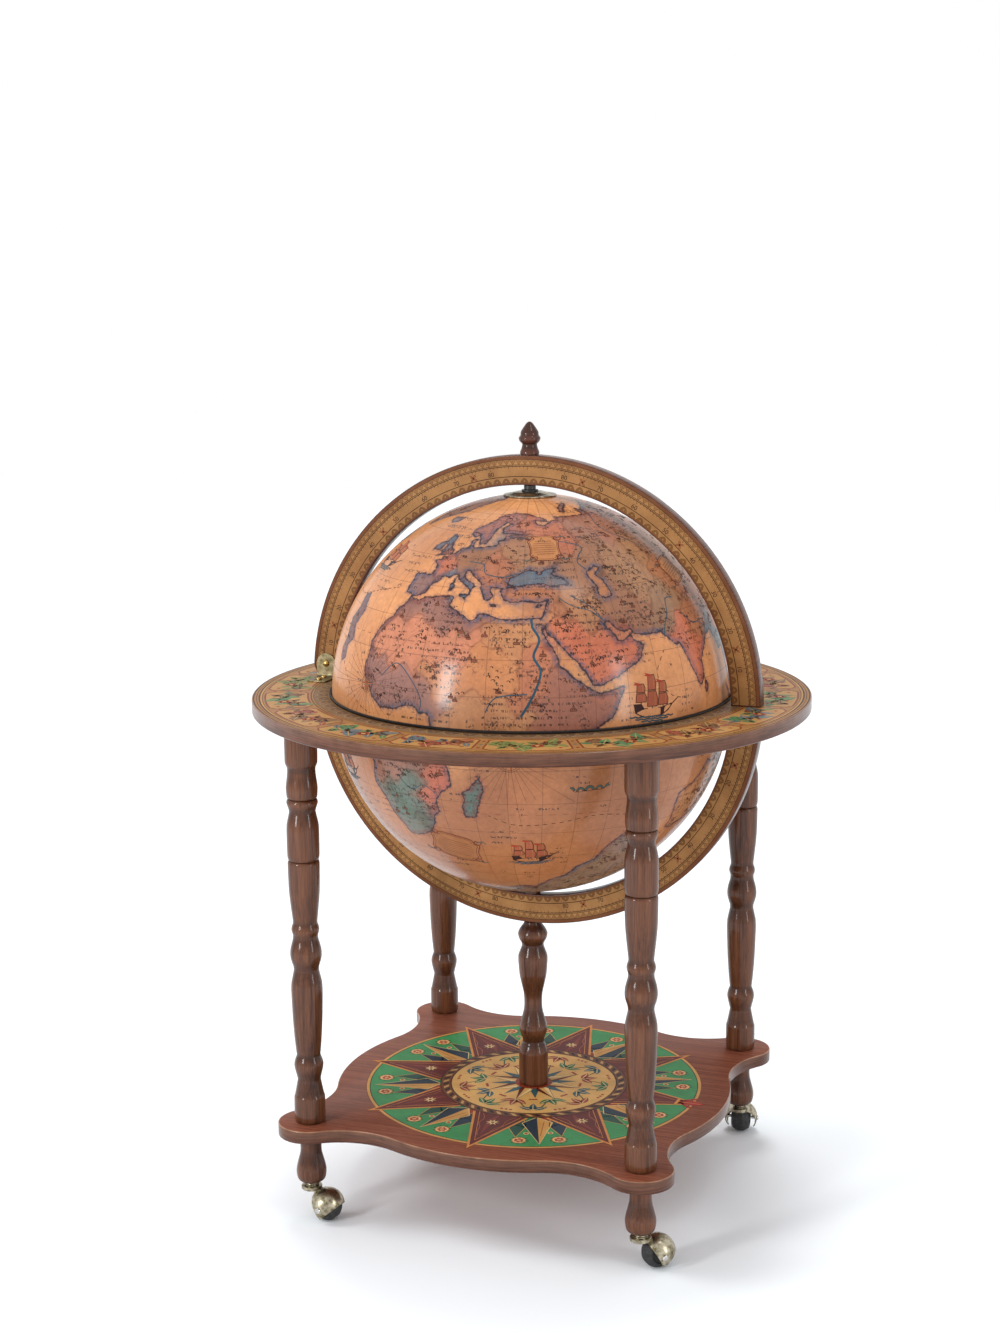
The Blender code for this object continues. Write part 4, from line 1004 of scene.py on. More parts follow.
@dataclass
class Turnings:
    """The turned beech: feet, three-piece legs, the column, the spacer and the finial, sizes in mm.

    Each profile is (height, radius) from a piece's lower end to its upper one.
    """

    leg_offset: float = 216.5
    corners: dict[str, Point] = field(
        default_factory=lambda: {
            "front_left": (-1, -1),
            "front_right": (1, -1),
            "back_right": (1, 1),
            "back_left": (-1, 1),
        }
    )
    foot: tuple[Point, ...] = (
        (47.0, 11.4), (48.2, 13.6), (50.0, 16.0), (53.0, 17.7), (60.0, 18.7), (67.5, 18.1), (83.7, 14.0),
        (89.0, 13.3), (94.0, 13.2), (110.7, 14.1),
    )
    lower: tuple[Point, ...] = (
        (127.3, 17.7), (127.3, 17.7), (128.6, 18.5), (132.6, 19.2), (146.0, 19.3), (157.5, 19.2),
        (160.4, 18.9), (163.5, 17.9), (176.0, 15.4), (181.8, 14.4), (184.6, 14.6), (198.6, 17.8),
        (205.4, 17.5), (213.0, 15.0), (215.4, 14.8), (222.0, 15.5), (237.5, 16.9), (260.0, 18.3),
        (285.0, 19.2), (297.0, 19.5), (305.0, 19.2), (310.0, 18.5), (322.0, 15.9), (325.6, 15.6),
        (329.6, 16.2), (335.0, 17.9), (340.0, 19.1), (344.6, 19.5), (350.0, 19.1), (356.0, 17.8),
        (362.0, 16.1), (366.0, 15.5), (369.6, 15.6), (372.4, 16.6), (376.0, 17.2), (379.6, 16.6),
        (382.6, 15.5), (386.0, 15.1), (394.0, 15.9), (414.0, 18.0), (430.0, 19.1), (457.0, 19.6),
        (461.6, 19.3), (463.0, 18.8), (463.6, 18.0), (463.6, 18.0),
    )
    middle: tuple[Point, ...] = (
        (463.9, 17.6), (463.9, 17.6), (464.8, 18.6), (467.0, 19.3), (472.0, 19.8), (490.0, 19.9),
        (505.0, 19.8), (512.0, 18.9), (522.0, 16.7), (525.4, 16.3), (528.6, 16.9), (535.6, 19.1),
        (538.4, 18.9), (540.2, 18.1), (541.0, 17.2), (541.0, 17.2),
    )
    upper: tuple[Point, ...] = (
        (541.3, 16.9), (541.3, 16.9), (542.4, 18.1), (545.0, 18.8), (556.0, 19.3), (569.0, 17.7),
        (579.0, 17.3), (584.8, 19.4), (592.0, 20.0), (626.0, 20.0), (629.4, 19.6), (630.7, 18.8),
        (630.7, 18.8),
    )
    column: tuple[Point, ...] = (
        (127.3, 17.4), (127.3, 17.4), (128.6, 18.3), (131.9, 18.9), (150.0, 18.9), (166.8, 18.7),
        (172.0, 18.2), (179.0, 16.1), (182.0, 14.5), (185.0, 13.6), (188.6, 14.2), (197.6, 17.3),
        (201.6, 18.0), (206.6, 17.5), (212.0, 16.1), (225.8, 12.4), (236.0, 11.5), (250.0, 12.3),
        (267.0, 16.0), (276.0, 17.6), (291.6, 18.9), (298.0, 18.9), (302.0, 18.2), (309.6, 15.3),
        (314.4, 14.1), (317.8, 14.9), (322.0, 17.2), (326.0, 18.6), (329.8, 19.0), (333.6, 17.6),
        (337.4, 15.5), (341.7, 12.3), (345.6, 10.4), (345.6, 10.4),
    )
    finial: tuple[Point, ...] = (
        (944.4, 11.4), (944.4, 11.4), (945.4, 11.9), (948.0, 11.7), (950.1, 10.8), (952.2, 10.0),
        (956.0, 9.2), (957.9, 9.8), (959.4, 11.4), (961.1, 12.6), (963.0, 13.3), (964.2, 13.5),
        (965.8, 13.0), (967.3, 11.8), (968.6, 11.2), (970.6, 11.2), (972.8, 10.6), (975.6, 8.9),
        (981.4, 4.9), (983.4, 3.0), (984.5, 1.2), (984.6, 0.4),
    )

    def build(self) -> None:
        """Turns every piece and sets it in place."""
        wood = StainedBeech()
        parts = {
            "foot": self.foot,
            "leg_lower": self.lower,
            "leg_middle": self.middle,
            "leg_upper": self.upper,
        }
        for corner, (side, front) in self.corners.items():
            for part, profile in parts.items():
                mesh = lathe(part, flowing(profile))
                placed(mesh, side * self.leg_offset, front * self.leg_offset)
                seat = Seat("stand", "walnut_stain", (f"{part}_{corner}",))
                seat.take(f"turned_{part}_{corner}", mesh, wood)
        column = lathe("column", flowing(self.column))
        Seat("stand", "walnut_stain", ("centre_column",)).take("turned_column", column, wood)
        finial = lathe("finial", flowing(self.finial, 0.6))
        darker = StainedBeech(dark="#2E170D", light="#64382A")
        Seat("lid", "walnut_stain", ("finial",)).take("turned_finial", finial, darker)
        # The rounded collar between the lower meridian and the globe
        low, high = extent("south_spacer")
        bore, end, belly = 4.3, 10.4, 11.9
        profile = ((low, bore), (low, end), ((low + high) / 2, belly), (high, end), (high, bore))
        spacer = lathe("spacer", profile, facets=48, loop=True)
        Seat("stand", "walnut_stain", ("south_spacer",)).take("turned_spacer", spacer, wood)


@dataclass
class BaseBoard:
    """The shaped base board, sizes in mm.

    The outline is a disc with a round lobe at each leg, run together by hollow fillets.
    """

    disc_radius: float = 255.0
    lobe_radius: float = 40.0
    fillet_radius: float = 100.0
    leg_reach: float = 216.5 * math.sqrt(2)
    arris: float = 1.2

    def outline(self, inset: float = 0.0) -> list[Point]:
        """The board's outline, drawn in by an inset.

        Args:
            inset: How far inside the edge the outline runs, in mm.

        Returns:
            Points anticlockwise round the board.
        """
        hollow = self.disc_radius + self.fillet_radius
        span = self.fillet_radius + self.lobe_radius
        cosine = (hollow**2 + self.leg_reach**2 - span**2) / (2 * hollow * self.leg_reach)
        between = math.degrees(math.acos(cosine))
        points = []
        for quarter in range(4):
            corner = 45.0 + 90.0 * quarter
            lobe = polar(self.leg_reach, corner)
            entry = polar(hollow, corner - between)
            leave = polar(hollow, corner + between)
            turn_in = math.degrees(math.atan2(lobe[1] - entry[1], lobe[0] - entry[0]))
            turn_out = math.degrees(math.atan2(leave[1] - lobe[1], leave[0] - lobe[0]))
            side = corner - between
            points += arc(self.disc_radius - inset, corner - 90 + between, side, 36)[:-1]
            sweep = -((side + 180 - turn_in) % 360)
            points += arc(self.fillet_radius + inset, side + 180, side + 180 + sweep, 18, entry)[:-1]
            start = turn_in + 180
            points += arc(self.lobe_radius - inset, start, start + (turn_out - start) % 360, 40, lobe)[:-1]
            back = turn_out + 180
            sweep = -((back - corner - between - 180) % 360)
            points += arc(self.fillet_radius + inset, back, back + sweep, 18, leave)[:-1]
        return points

    def build(self) -> None:
        """Cuts the board, rounds its edge and prints its top."""
        bottom, top = extent("base_board")
        eased = self.arris * 0.3
        rings = (
            (bottom, self.arris), (bottom + eased, eased), (bottom + self.arris, 0.0),
            (top - self.arris, 0.0), (top - eased, eased), (top, self.arris),
        )
        grid = np.array([[(x, y, height) for x, y in self.outline(inset)] for height, inset in rings])
        mesh = skinned("base_board", grid, loop=False)
        # The upper arris is lighter, partly rubbed wear and partly a painted highlight, and the flat faces at
        # both ends are veneered
        valued(mesh, "wear", np.repeat((0.0, 0.0, 0.0, 0.25, 1.5, 1.5), grid.shape[1]))
        for end in (-2, -1):
            mesh.polygons[end].material_index = 1
        board = Seat("stand", "walnut_stain", ("base_board",))
        board.take("board_body", mesh, StainedEdge(), BoardVeneer())
        rose = CompassRose()
        rose.draw()
        printed = rose.mesh("rose", on_level(top + PRINT_LIFT))
        Seat("stand", "walnut_stain").take("board_compass_rose", printed, PrintedSheet())


@dataclass
class CompassRose(Sheet):
    """The traditional compass rose printed on the board's top, about the board's middle, in mm."""

    rose_radius: float = 217.5
    point_reach: float = 231.0
    roundel_radius: float = 120.0
    maroon: str = "#5E1F1A"
    orange: str = "#CC8440"
    green: str = "#3C8A52"
    navy: str = "#22323F"
    tan: str = "#C99450"
    cream: str = "#E3C48C"
    rust: str = "#8E3B26"
    black: str = "#1A1310"

    def draw(self) -> None:
        """Draws the ground, the points, the flowers and the middle."""
        self.band(self.roundel_radius, self.rose_radius, self.green, 0)
        self.band(self.rose_radius - 4.5, self.rose_radius, self.tan, 1)
        self.band(self.rose_radius - 5.6, self.rose_radius - 4.5, self.black, 1)
        self.band(self.rose_radius - 0.7, self.rose_radius, "#7A3A22", 2)
        self.panels()
        for draw, turn in ((self.small_point, 22.5), (self.rosettes, 0.0), (self.big_point, 0.0)):
            for point in range(8):
                draw(turn + 45 * point)
        self.fleur()
        self.roundel()

    def panels(self) -> None:
        """Hollow-sided panels in red-brown and green that fill the ground next to the roundel."""
        inner = self.roundel_radius
        for point in range(16):
            middle = 11.25 + 22.5 * point
            ink = self.rust if point % 2 else "#2D6E4A"
            steps = 10
            rim = [
                polar(inner + 26 + 15 * abs(2 * step / steps - 1) ** 1.6, middle - 9 + 18 * step / steps)
                for step in range(steps + 1)
            ]
            foot = arc(inner, middle + 9, middle - 9, steps)
            self.fill([*rim, *foot], ink, 1)
            self.line(rim, 1.3, self.cream, 2)
            self.line([polar(inner + 4, middle), polar(inner + 22, middle)], 1.0, self.orange, 2)

    def big_point(self, turn: float) -> None:
        """One of the eight long maroon points, outlined in orange, with its small cream star.

        Args:
            turn: Where it points, in degrees.
        """
        base = self.roundel_radius - 2
        half = 37.0
        self.move_to(turn=turn)
        self.fill([(base, -half), (self.point_reach, 0.0), (base, half)], self.orange, 5)
        self.fill([(base, -half + 3.4), (self.point_reach - 9.0, 0.0), (base, half - 3.4)], self.maroon, 6)
        self.line([(base, -half + 9), (self.point_reach - 26.0, 0.0), (base, half - 9)], 0.9, self.orange, 7)
        for side in (-1, 1):
            scroll = [(base + 3, side * 22.0), (base + 18, side * 15.0), (base + 34, side * 15.5)]
            scroll += [(base + 46, side * 9.5), (base + 60, side * 7.5), (base + 72, side * 2.5)]
            self.line(flowing(scroll, 3.0), 0.9, "#A65A36", 8)
        self.fill([(base, 0.0), (base + 24, -9.0), (base + 70, 0.0)], "#7C3227", 7)
        star = [polar(9.0 if step % 2 == 0 else 3.4, 22.5 * step, (base + 27.0, 0.0)) for step in range(16)]
        self.fill(star, self.cream, 8)
        self.disc(2.2, self.maroon, 9, (base + 27.0, 0.0))
        self.move_to()

    def small_point(self, turn: float) -> None:
        """One of the eight split points in between, half navy and half tan.

        Args:
            turn: Where it points, in degrees.
        """
        base = self.roundel_radius
        reach = self.rose_radius - 12
        half = 19.0
        self.move_to(turn=turn)
        self.fill([(base, 0.0), (base + 18, -half), (reach, 0.0)], self.navy, 3)
        self.fill([(base, 0.0), (reach, 0.0), (base + 18, half)], self.tan, 3)
        edge = [(base, 0.0), (base + 18, -half), (reach, 0.0), (base + 18, half)]
        self.line(edge, 1.0, self.cream, 4, True)
        self.line([(base + 14, half * 0.45), (reach - 26, half * 0.12)], 0.8, self.rust, 4)
        for side, ink in ((-1, "#1F4A3C"), (1, self.navy)):
            wing = [
                (base + along, side * half * across)
                for along, across in ((2, 0.9), (16, 2.1), (62, 1.5), (30, 0.75))
            ]
            self.outlined(wing, ink, 2, 1.0, self.tan)
        self.move_to()

    def rosettes(self, turn: float) -> None:
        """Round red and cream flowers on leaves at both sides of a long point.

        Args:
            turn: Where the point points, in degrees.
        """
        for side in (-1, 1):
            centre = polar(self.rose_radius - 24, turn + side * 15.2)
            self.move_to(centre, turn + side * 12)
            for leaf in range(8):
                petal = [polar(12.2 if lean == 0 else 9.6, 45 * leaf + lean) for lean in (-17, 0, 17)]
                self.fill([*petal, (0.0, 0.0)], "#2A5B3C", 1)
            self.disc(9.0, self.orange, 2)
            self.disc(7.6, self.cream, 3)
            for petal in range(6):
                self.disc(2.3, "#A8402A", 4, polar(4.3, 60 * petal), 8)
            self.disc(1.9, self.tan, 5, steps=8)
            self.move_to()
            spot = polar(self.rose_radius - 46, turn + side * 17.5)
            self.disc(3.6, self.cream, 2, spot, 10)
            self.disc(2.4, "#A8402A", 3, spot, 10)

    def fleur(self) -> None:
        """The bold red lily that marks the rose's one chief point, towards +X."""
        red = "#A3281E"
        self.move_to((self.point_reach - 40, 0.0), 0.0)
        petal = [(0.0, 0.0), (12.0, 6.5), (26.0, 7.5), (40.0, 0.0), (26.0, -7.5), (12.0, -6.5)]
        self.fill(petal, red, 10)
        for side in (-1, 1):
            curl = [(4.0, side * 2.0), (12.0, side * 8.0), (20.0, side * 15.0), (27.0, side * 17.0)]
            curl += [(25.0, side * 12.0), (18.0, side * 8.0), (10.0, side * 1.0)]
            self.fill(curl if side < 0 else curl[::-1], red, 10)
        self.line([(6.0, 0.0), (34.0, 0.0)], 1.0, self.orange, 11)
        self.fill([(2.0, -10.0), (6.0, -10.0), (6.0, 10.0), (2.0, 10.0)], self.orange, 11)
        self.move_to()

    def roundel(self) -> None:
        """The round middle: a rope border, a ring of scrolling vine and an inner sixteen-point star."""
        outer = self.roundel_radius
        self.band(outer - 12, outer + 1.5, "#6B3B22", 10)
        self.band(outer + 0.4, outer + 1.5, self.black, 11)
        twists = 72
        for twist in range(twists):
            start = 360 * twist / twists
            slant = 360 / twists
            strand = [polar(outer - 9.6, start), polar(outer - 9.6, start + slant * 0.55)]
            strand += [polar(outer - 2.6, start + slant * 1.15), polar(outer - 2.6, start + slant * 0.6)]
            self.fill(strand, "#B9925A" if twist % 2 else self.black, 11)
        self.band(0.5, outer - 12, "#D0A15E", 10)
        self.band(outer - 13.4, outer - 12, self.black, 12)
        self.vine(outer - 40, 16.0)
        for turn in range(0, 360, 45):
            self.move_to(turn=turn + 22.5)
            self.fill([(16.0, 0.0), (30.0, -5.5), (56.0, 0.0), (30.0, 5.5)], "#35545A", 12)
            self.move_to(turn=turn)
            self.fill([(14.0, -4.0), (28.0, -8.5), (64.0, 0.0)], self.maroon, 13)
            self.fill([(14.0, 4.0), (64.0, 0.0), (28.0, 8.5)], self.cream, 13)
            self.line([(14.0, 0.0), (28.0, -8.5), (64.0, 0.0), (28.0, 8.5)], 0.8, self.black, 14, True)
        self.move_to()
        self.disc(24.0, self.rust, 14, steps=48)

    def vine(self, radius: float, swing: float) -> None:
        """A vine that winds round the roundel, with leaves, berries and tendrils.

        Args:
            radius: The ring that the vine winds about, in mm.
            swing: How far it swings to either side, in mm.
        """
        waves = 9
        steps = waves * 16
        stem = [
            polar(radius + swing * math.sin(math.tau * waves * step / steps), 360 * step / steps)
            for step in range(steps)
        ]
        self.line(stem, 1.8, "#3B4A2C", 11, True)
        inks = ("#3F6B46", self.rust, "#35545A")
        for wave in range(waves * 2):
            middle = 360 * (wave + 0.5) / (waves * 2)
            side = 1 if wave % 2 == 0 else -1
            crest = polar(radius + side * swing, middle)
            for lean in (-62, 0, 58):
                inward = middle + (180 if side > 0 else 0) + lean
                self.move_to(crest, inward)
                self.leaf(21.0, 9.5, inks[wave % 3], self.cream, 12)
            self.move_to()
            for berry in (-5, 0, 5):
                spot = polar(radius - side * (swing + 3), middle + berry * 0.7)
                self.disc(2.1, "#8E2A20", 12, spot, 8)


@dataclass
class HorizonRing:
    """The horizon ring: a flat veneered ring, sizes in mm."""

    outer: float = 349.8
    inner: float = 250.4
    arris: float = 0.9

    def build(self) -> None:
        """Makes the ring and prints its top."""
        bottom, top = extent("horizon_ring")
        facets = 192
        profile = collar(bottom, top, self.outer, self.inner, self.arris)
        mesh = lathe("ring", profile, facets, loop=True)
        # The upper arris is lighter, partly rubbed wear and partly a painted highlight
        valued(mesh, "wear", np.repeat((0.0, 0.0, 0.3, 0.8, 0.0, 0.0), facets))
        ring = Seat("stand", "printed_band", ("horizon_ring",))
        ring.take("ring_body", mesh, StainedEdge(), BoardVeneer())
        bands = RingPrint(inner=self.inner, outer=self.outer)
        bands.draw()
        printed = bands.mesh("calendar", on_level(top + PRINT_LIFT))
        Seat("stand", "printed_band").take("ring_print", printed, PrintedSheet())


@dataclass
class RingPrint(Sheet):
    """The horizon ring's print: bands, panels with leaves, and lunettes, about its middle, in mm."""

    lift: float = 0.025
    outer: float = 349.8
    inner: float = 250.4
    ground: str = "#9A6E40"
    brown: str = "#3A2016"
    panels: int = 18

    def draw(self) -> None:
        """Draws the bands and all the panels."""
        self.band(self.inner + 0.4, self.outer - 1.2, self.ground, 0)
        lines = ((347.4, 1.6), (343.6, 0.8), (340.2, 1.8), (336.6, 0.6), (276.0, 1.2), (272.8, 0.6))
        for radius, width in lines:
            self.band(radius - width / 2, radius + width / 2, self.brown, 1)
        self.band(337.2, 339.2, "#B98B4C", 1)
        self.band(253.6, 272.4, "#7B6148", 1)
        self.lunettes()
        for number in range(self.panels):
            self.panel(number)

    def lunettes(self) -> None:
        """The row of small dark arches with light rims beside the globe."""
        count = 72
        for number in range(count):
            middle = 360 * number / count
            span = 180 / count
            arch = [
                polar(255.0 + 13.5 * math.sin(math.pi * step / 8) ** 0.6, middle - span + 2 * span * step / 8)
                for step in range(9)
            ]
            self.fill(arch, "#665040", 2)
            self.line(arch, 0.9, "#A88254", 3)
            self.disc(1.6, "#A8763C", 3, polar(260.5, middle), 8)

    def panel(self, number: int) -> None:
        """A rounded panel with a spray of leaves, and the flower between it and the next.

        Args:
            number: Which panel it is.
        """
        span = 360 / self.panels
        middle = span * (number + 0.5)
        inner, outer = 280.0, 333.0
        fills = ("#4F7A52", "#7A5A3C", "#5A6A70", "#8E4C38", "#6E7A46")
        edge = span / 2 - 1.1
        cut = 1.5
        frame = [polar(inner + 5, middle - edge), polar(inner, middle - edge + cut)]
        frame += arc(inner, middle - edge + cut, middle + edge - cut, 8)[1:]
        frame += [polar(inner + 5, middle + edge), polar(outer - 6, middle + edge)]
        frame += arc(outer, middle + edge - cut, middle - edge + cut, 8)
        frame += [polar(outer - 6, middle - edge)]
        self.outlined(frame, "#AD824C", 1, 2.2, "#7A3A28")
        self.sprig((inner + outer) / 2, middle, span, fills[number % 5], fills[(number * 2 + 1) % 5])
        joint = middle + span / 2
        for radius in (290.0, 306.5, 323.0):
            self.disc(2.2, "#4F6468" if radius == 306.5 else "#7A2A1E", 2, polar(radius, joint), 8)

    def sprig(
        self, radius: float, middle: float, span: float, ink: str, second: str
    ) -> None:
        """A winding sprig along the ring, with leaves of two colours, berries and a flower.

        Args:
            radius: The radius that it winds about, in mm.
            middle: The angle of its middle.
            span: The angle of its panel.
            ink: The colour of its larger leaves.
            second: The colour of its smaller leaves.
        """
        steps = 24
        swing = 8.0
        stem = [
            polar(radius + swing * math.sin(math.tau * share), middle + span * 0.38 * (2 * share - 1))
            for share in (step / steps for step in range(steps + 1))
        ]
        self.line(stem, 1.6, "#6A3426", 4)
        self.clump(radius - 9, middle - span * 0.27, second)
        self.clump(radius + 8, middle - span * 0.02, ink)
        self.clump(radius - 10, middle + span * 0.26, "#6B4A36")
        for number in range(7):
            share = (number + 0.5) / 7
            angle = middle + span * 0.38 * (2 * share - 1)
            foot = polar(radius + swing * math.sin(math.tau * share), angle)
            outward = number % 2 == 0
            self.move_to(foot, angle + (38 if outward else 142) + 16 * math.sin(5.0 * number + middle))
            large = number in (1, 2, 4, 5)
            leaf_ink = ink if large else second
            self.leaf(28.0 if large else 19.0, 13.0 if large else 8.5, leaf_ink, "#B08A54", 5)
            self.move_to(foot, angle + (-128 if outward else -42))
            self.leaf(17.0, 7.5, second if large else ink, self.brown, 5)
        self.move_to()
        for number, share in enumerate((-0.30, -0.12, 0.2, 0.33)):
            spot = polar(radius + (15 if number % 2 else -17), middle + span * share)
            self.disc(2.4, "#8E3A2A", 6, spot, 8)
        centre = polar(radius + 4, middle + span * 0.10)
        for petal in range(6):
            self.disc(3.6, "#9A4430", 7, polar(4.6, 60 * petal + middle, centre), 10)
        self.disc(3.0, "#C2955A", 8, centre, 10)

    def clump(self, radius: float, angle: float, ink: str) -> None:
        """A clump of soft-edged foliage, 30 mm across, behind the leaves.

        Args:
            radius: The radius of its middle, in mm.
            angle: The angle of its middle.
            ink: Its colour.
        """
        centre = polar(radius, angle)
        for lobe in range(7):
            spread = 9.5 if lobe % 2 else 6.5
            spot = polar(spread, 51.4 * lobe + 3 * angle, centre)
            self.disc(5.6 if lobe % 2 else 4.4, ink, 2, spot, 12)
        self.disc(7.0, ink, 3, centre, 14)
        for stroke in range(5):
            tip = polar(10.5, 72 * stroke + 5 * angle, centre)
            self.line([polar(3.0, 72 * stroke + 5 * angle, centre), tip], 1.1, "#4A3424", 4)




@dataclass
class Meridian:
    """The two halves of the meridian arch with their printed faces, sizes in mm.

    The lower one is pegged into the ring. The upper one turns on the hinge's bolt, at its round heel.
    """

    inner: float = 262.0
    outer: float = 299.0
    half_thickness: float = 8.7
    arris: float = 0.8
    heel_radius: float = 18.5
    clearance: float = 0.3

    def edge(self, radius: float, foot: float, far: float) -> list[Point]:
        """One edge of the arch from its foot's height over the pole to an angle, about the globe's centre."""
        return arc(radius, math.degrees(math.asin(foot / radius)), far, 96)

    def body(self, name: str, outline: Sequence[Point], below: bool) -> Mesh:
        """Cuts the arch from board, with its arrises rounded.

        Args:
            name: The mesh's name.
            outline: The arch's outline about the globe's centre, anticlockwise.
            below: Whether it hangs under the ring.

        Returns:
            The mesh.
        """
        shape = bmesh.new()
        flip = -1 if below else 1
        front_face = [Vector((x, -self.half_thickness, GLOBE_HEIGHT + flip * y)) * MM for x, y in outline]
        front = shape.faces.new([shape.verts.new(corner) for corner in front_face][::flip])
        raised = bmesh.ops.extrude_face_region(shape, geom=[front])
        moved = [item for item in raised["geom"] if isinstance(item, bmesh.types.BMVert)]
        bmesh.ops.translate(shape, verts=moved, vec=Vector((0.0, 2 * self.half_thickness, 0.0)) * MM)
        bmesh.ops.recalc_face_normals(shape, faces=shape.faces)
        rims = [
            edge
            for edge in shape.edges
            if len(edge.link_faces) == 2 and any(len(face.verts) > 4 for face in edge.link_faces)
        ]
        bmesh.ops.bevel(shape, geom=rims, offset=self.arris * MM, segments=2, profile=0.5, affect="EDGES")
        return baked(name, shape)

    def build(self) -> None:
        """Makes both halves of the arch and prints their faces."""
        lower = self.body("lower", self.closed_arch(self.peg_foot()), below=True)
        Seat("stand", "printed_band", ("lower_meridian",)).take("meridian_below", lower, StainedEdge())

        foot = extent("horizon_ring")[1] + self.clearance - GLOBE_HEIGHT
        bolt_low, bolt_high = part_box("hinge_bolt")
        pivot = (bolt_low + bolt_high) / 2 / MM
        heel = math.degrees(math.atan2(pivot.z - GLOBE_HEIGHT, pivot.x))
        outline = self.edge(self.outer, foot, heel)
        middle = polar((self.inner + self.outer) / 2, heel)
        outline += arc(self.heel_radius, heel, heel + 180, 24, middle)[1:-1]
        outline += self.edge(self.inner, foot, heel)[::-1]
        upper = self.body("upper", outline, below=False)
        Seat("lid", "printed_band", ("upper_meridian",)).take("meridian_above", upper, StainedEdge())

        for side, word in ((-1, "front"), (1, "back")):
            above = ArchPrint(arch=self, side=side, up=1, foot=foot, heel=heel)
            above.take(f"meridian_print_above_{word}", "lid")
            below = ArchPrint(arch=self, side=side, up=-1, foot=self.peg_foot())
            below.take(f"meridian_print_below_{word}", "stand")

    def peg_foot(self) -> float:
        """How far under the globe's centre the lower arch's flat ends lie, where it meets the ring."""
        return GLOBE_HEIGHT - extent("horizon_ring")[0] + self.clearance

    def closed_arch(self, foot: float) -> list[Point]:
        """The outline of the arch with two flat feet at one height."""
        outer = self.edge(self.outer, foot, 180 - math.degrees(math.asin(foot / self.outer)))
        inner = self.edge(self.inner, foot, 180 - math.degrees(math.asin(foot / self.inner)))
        return outer + inner[::-1]


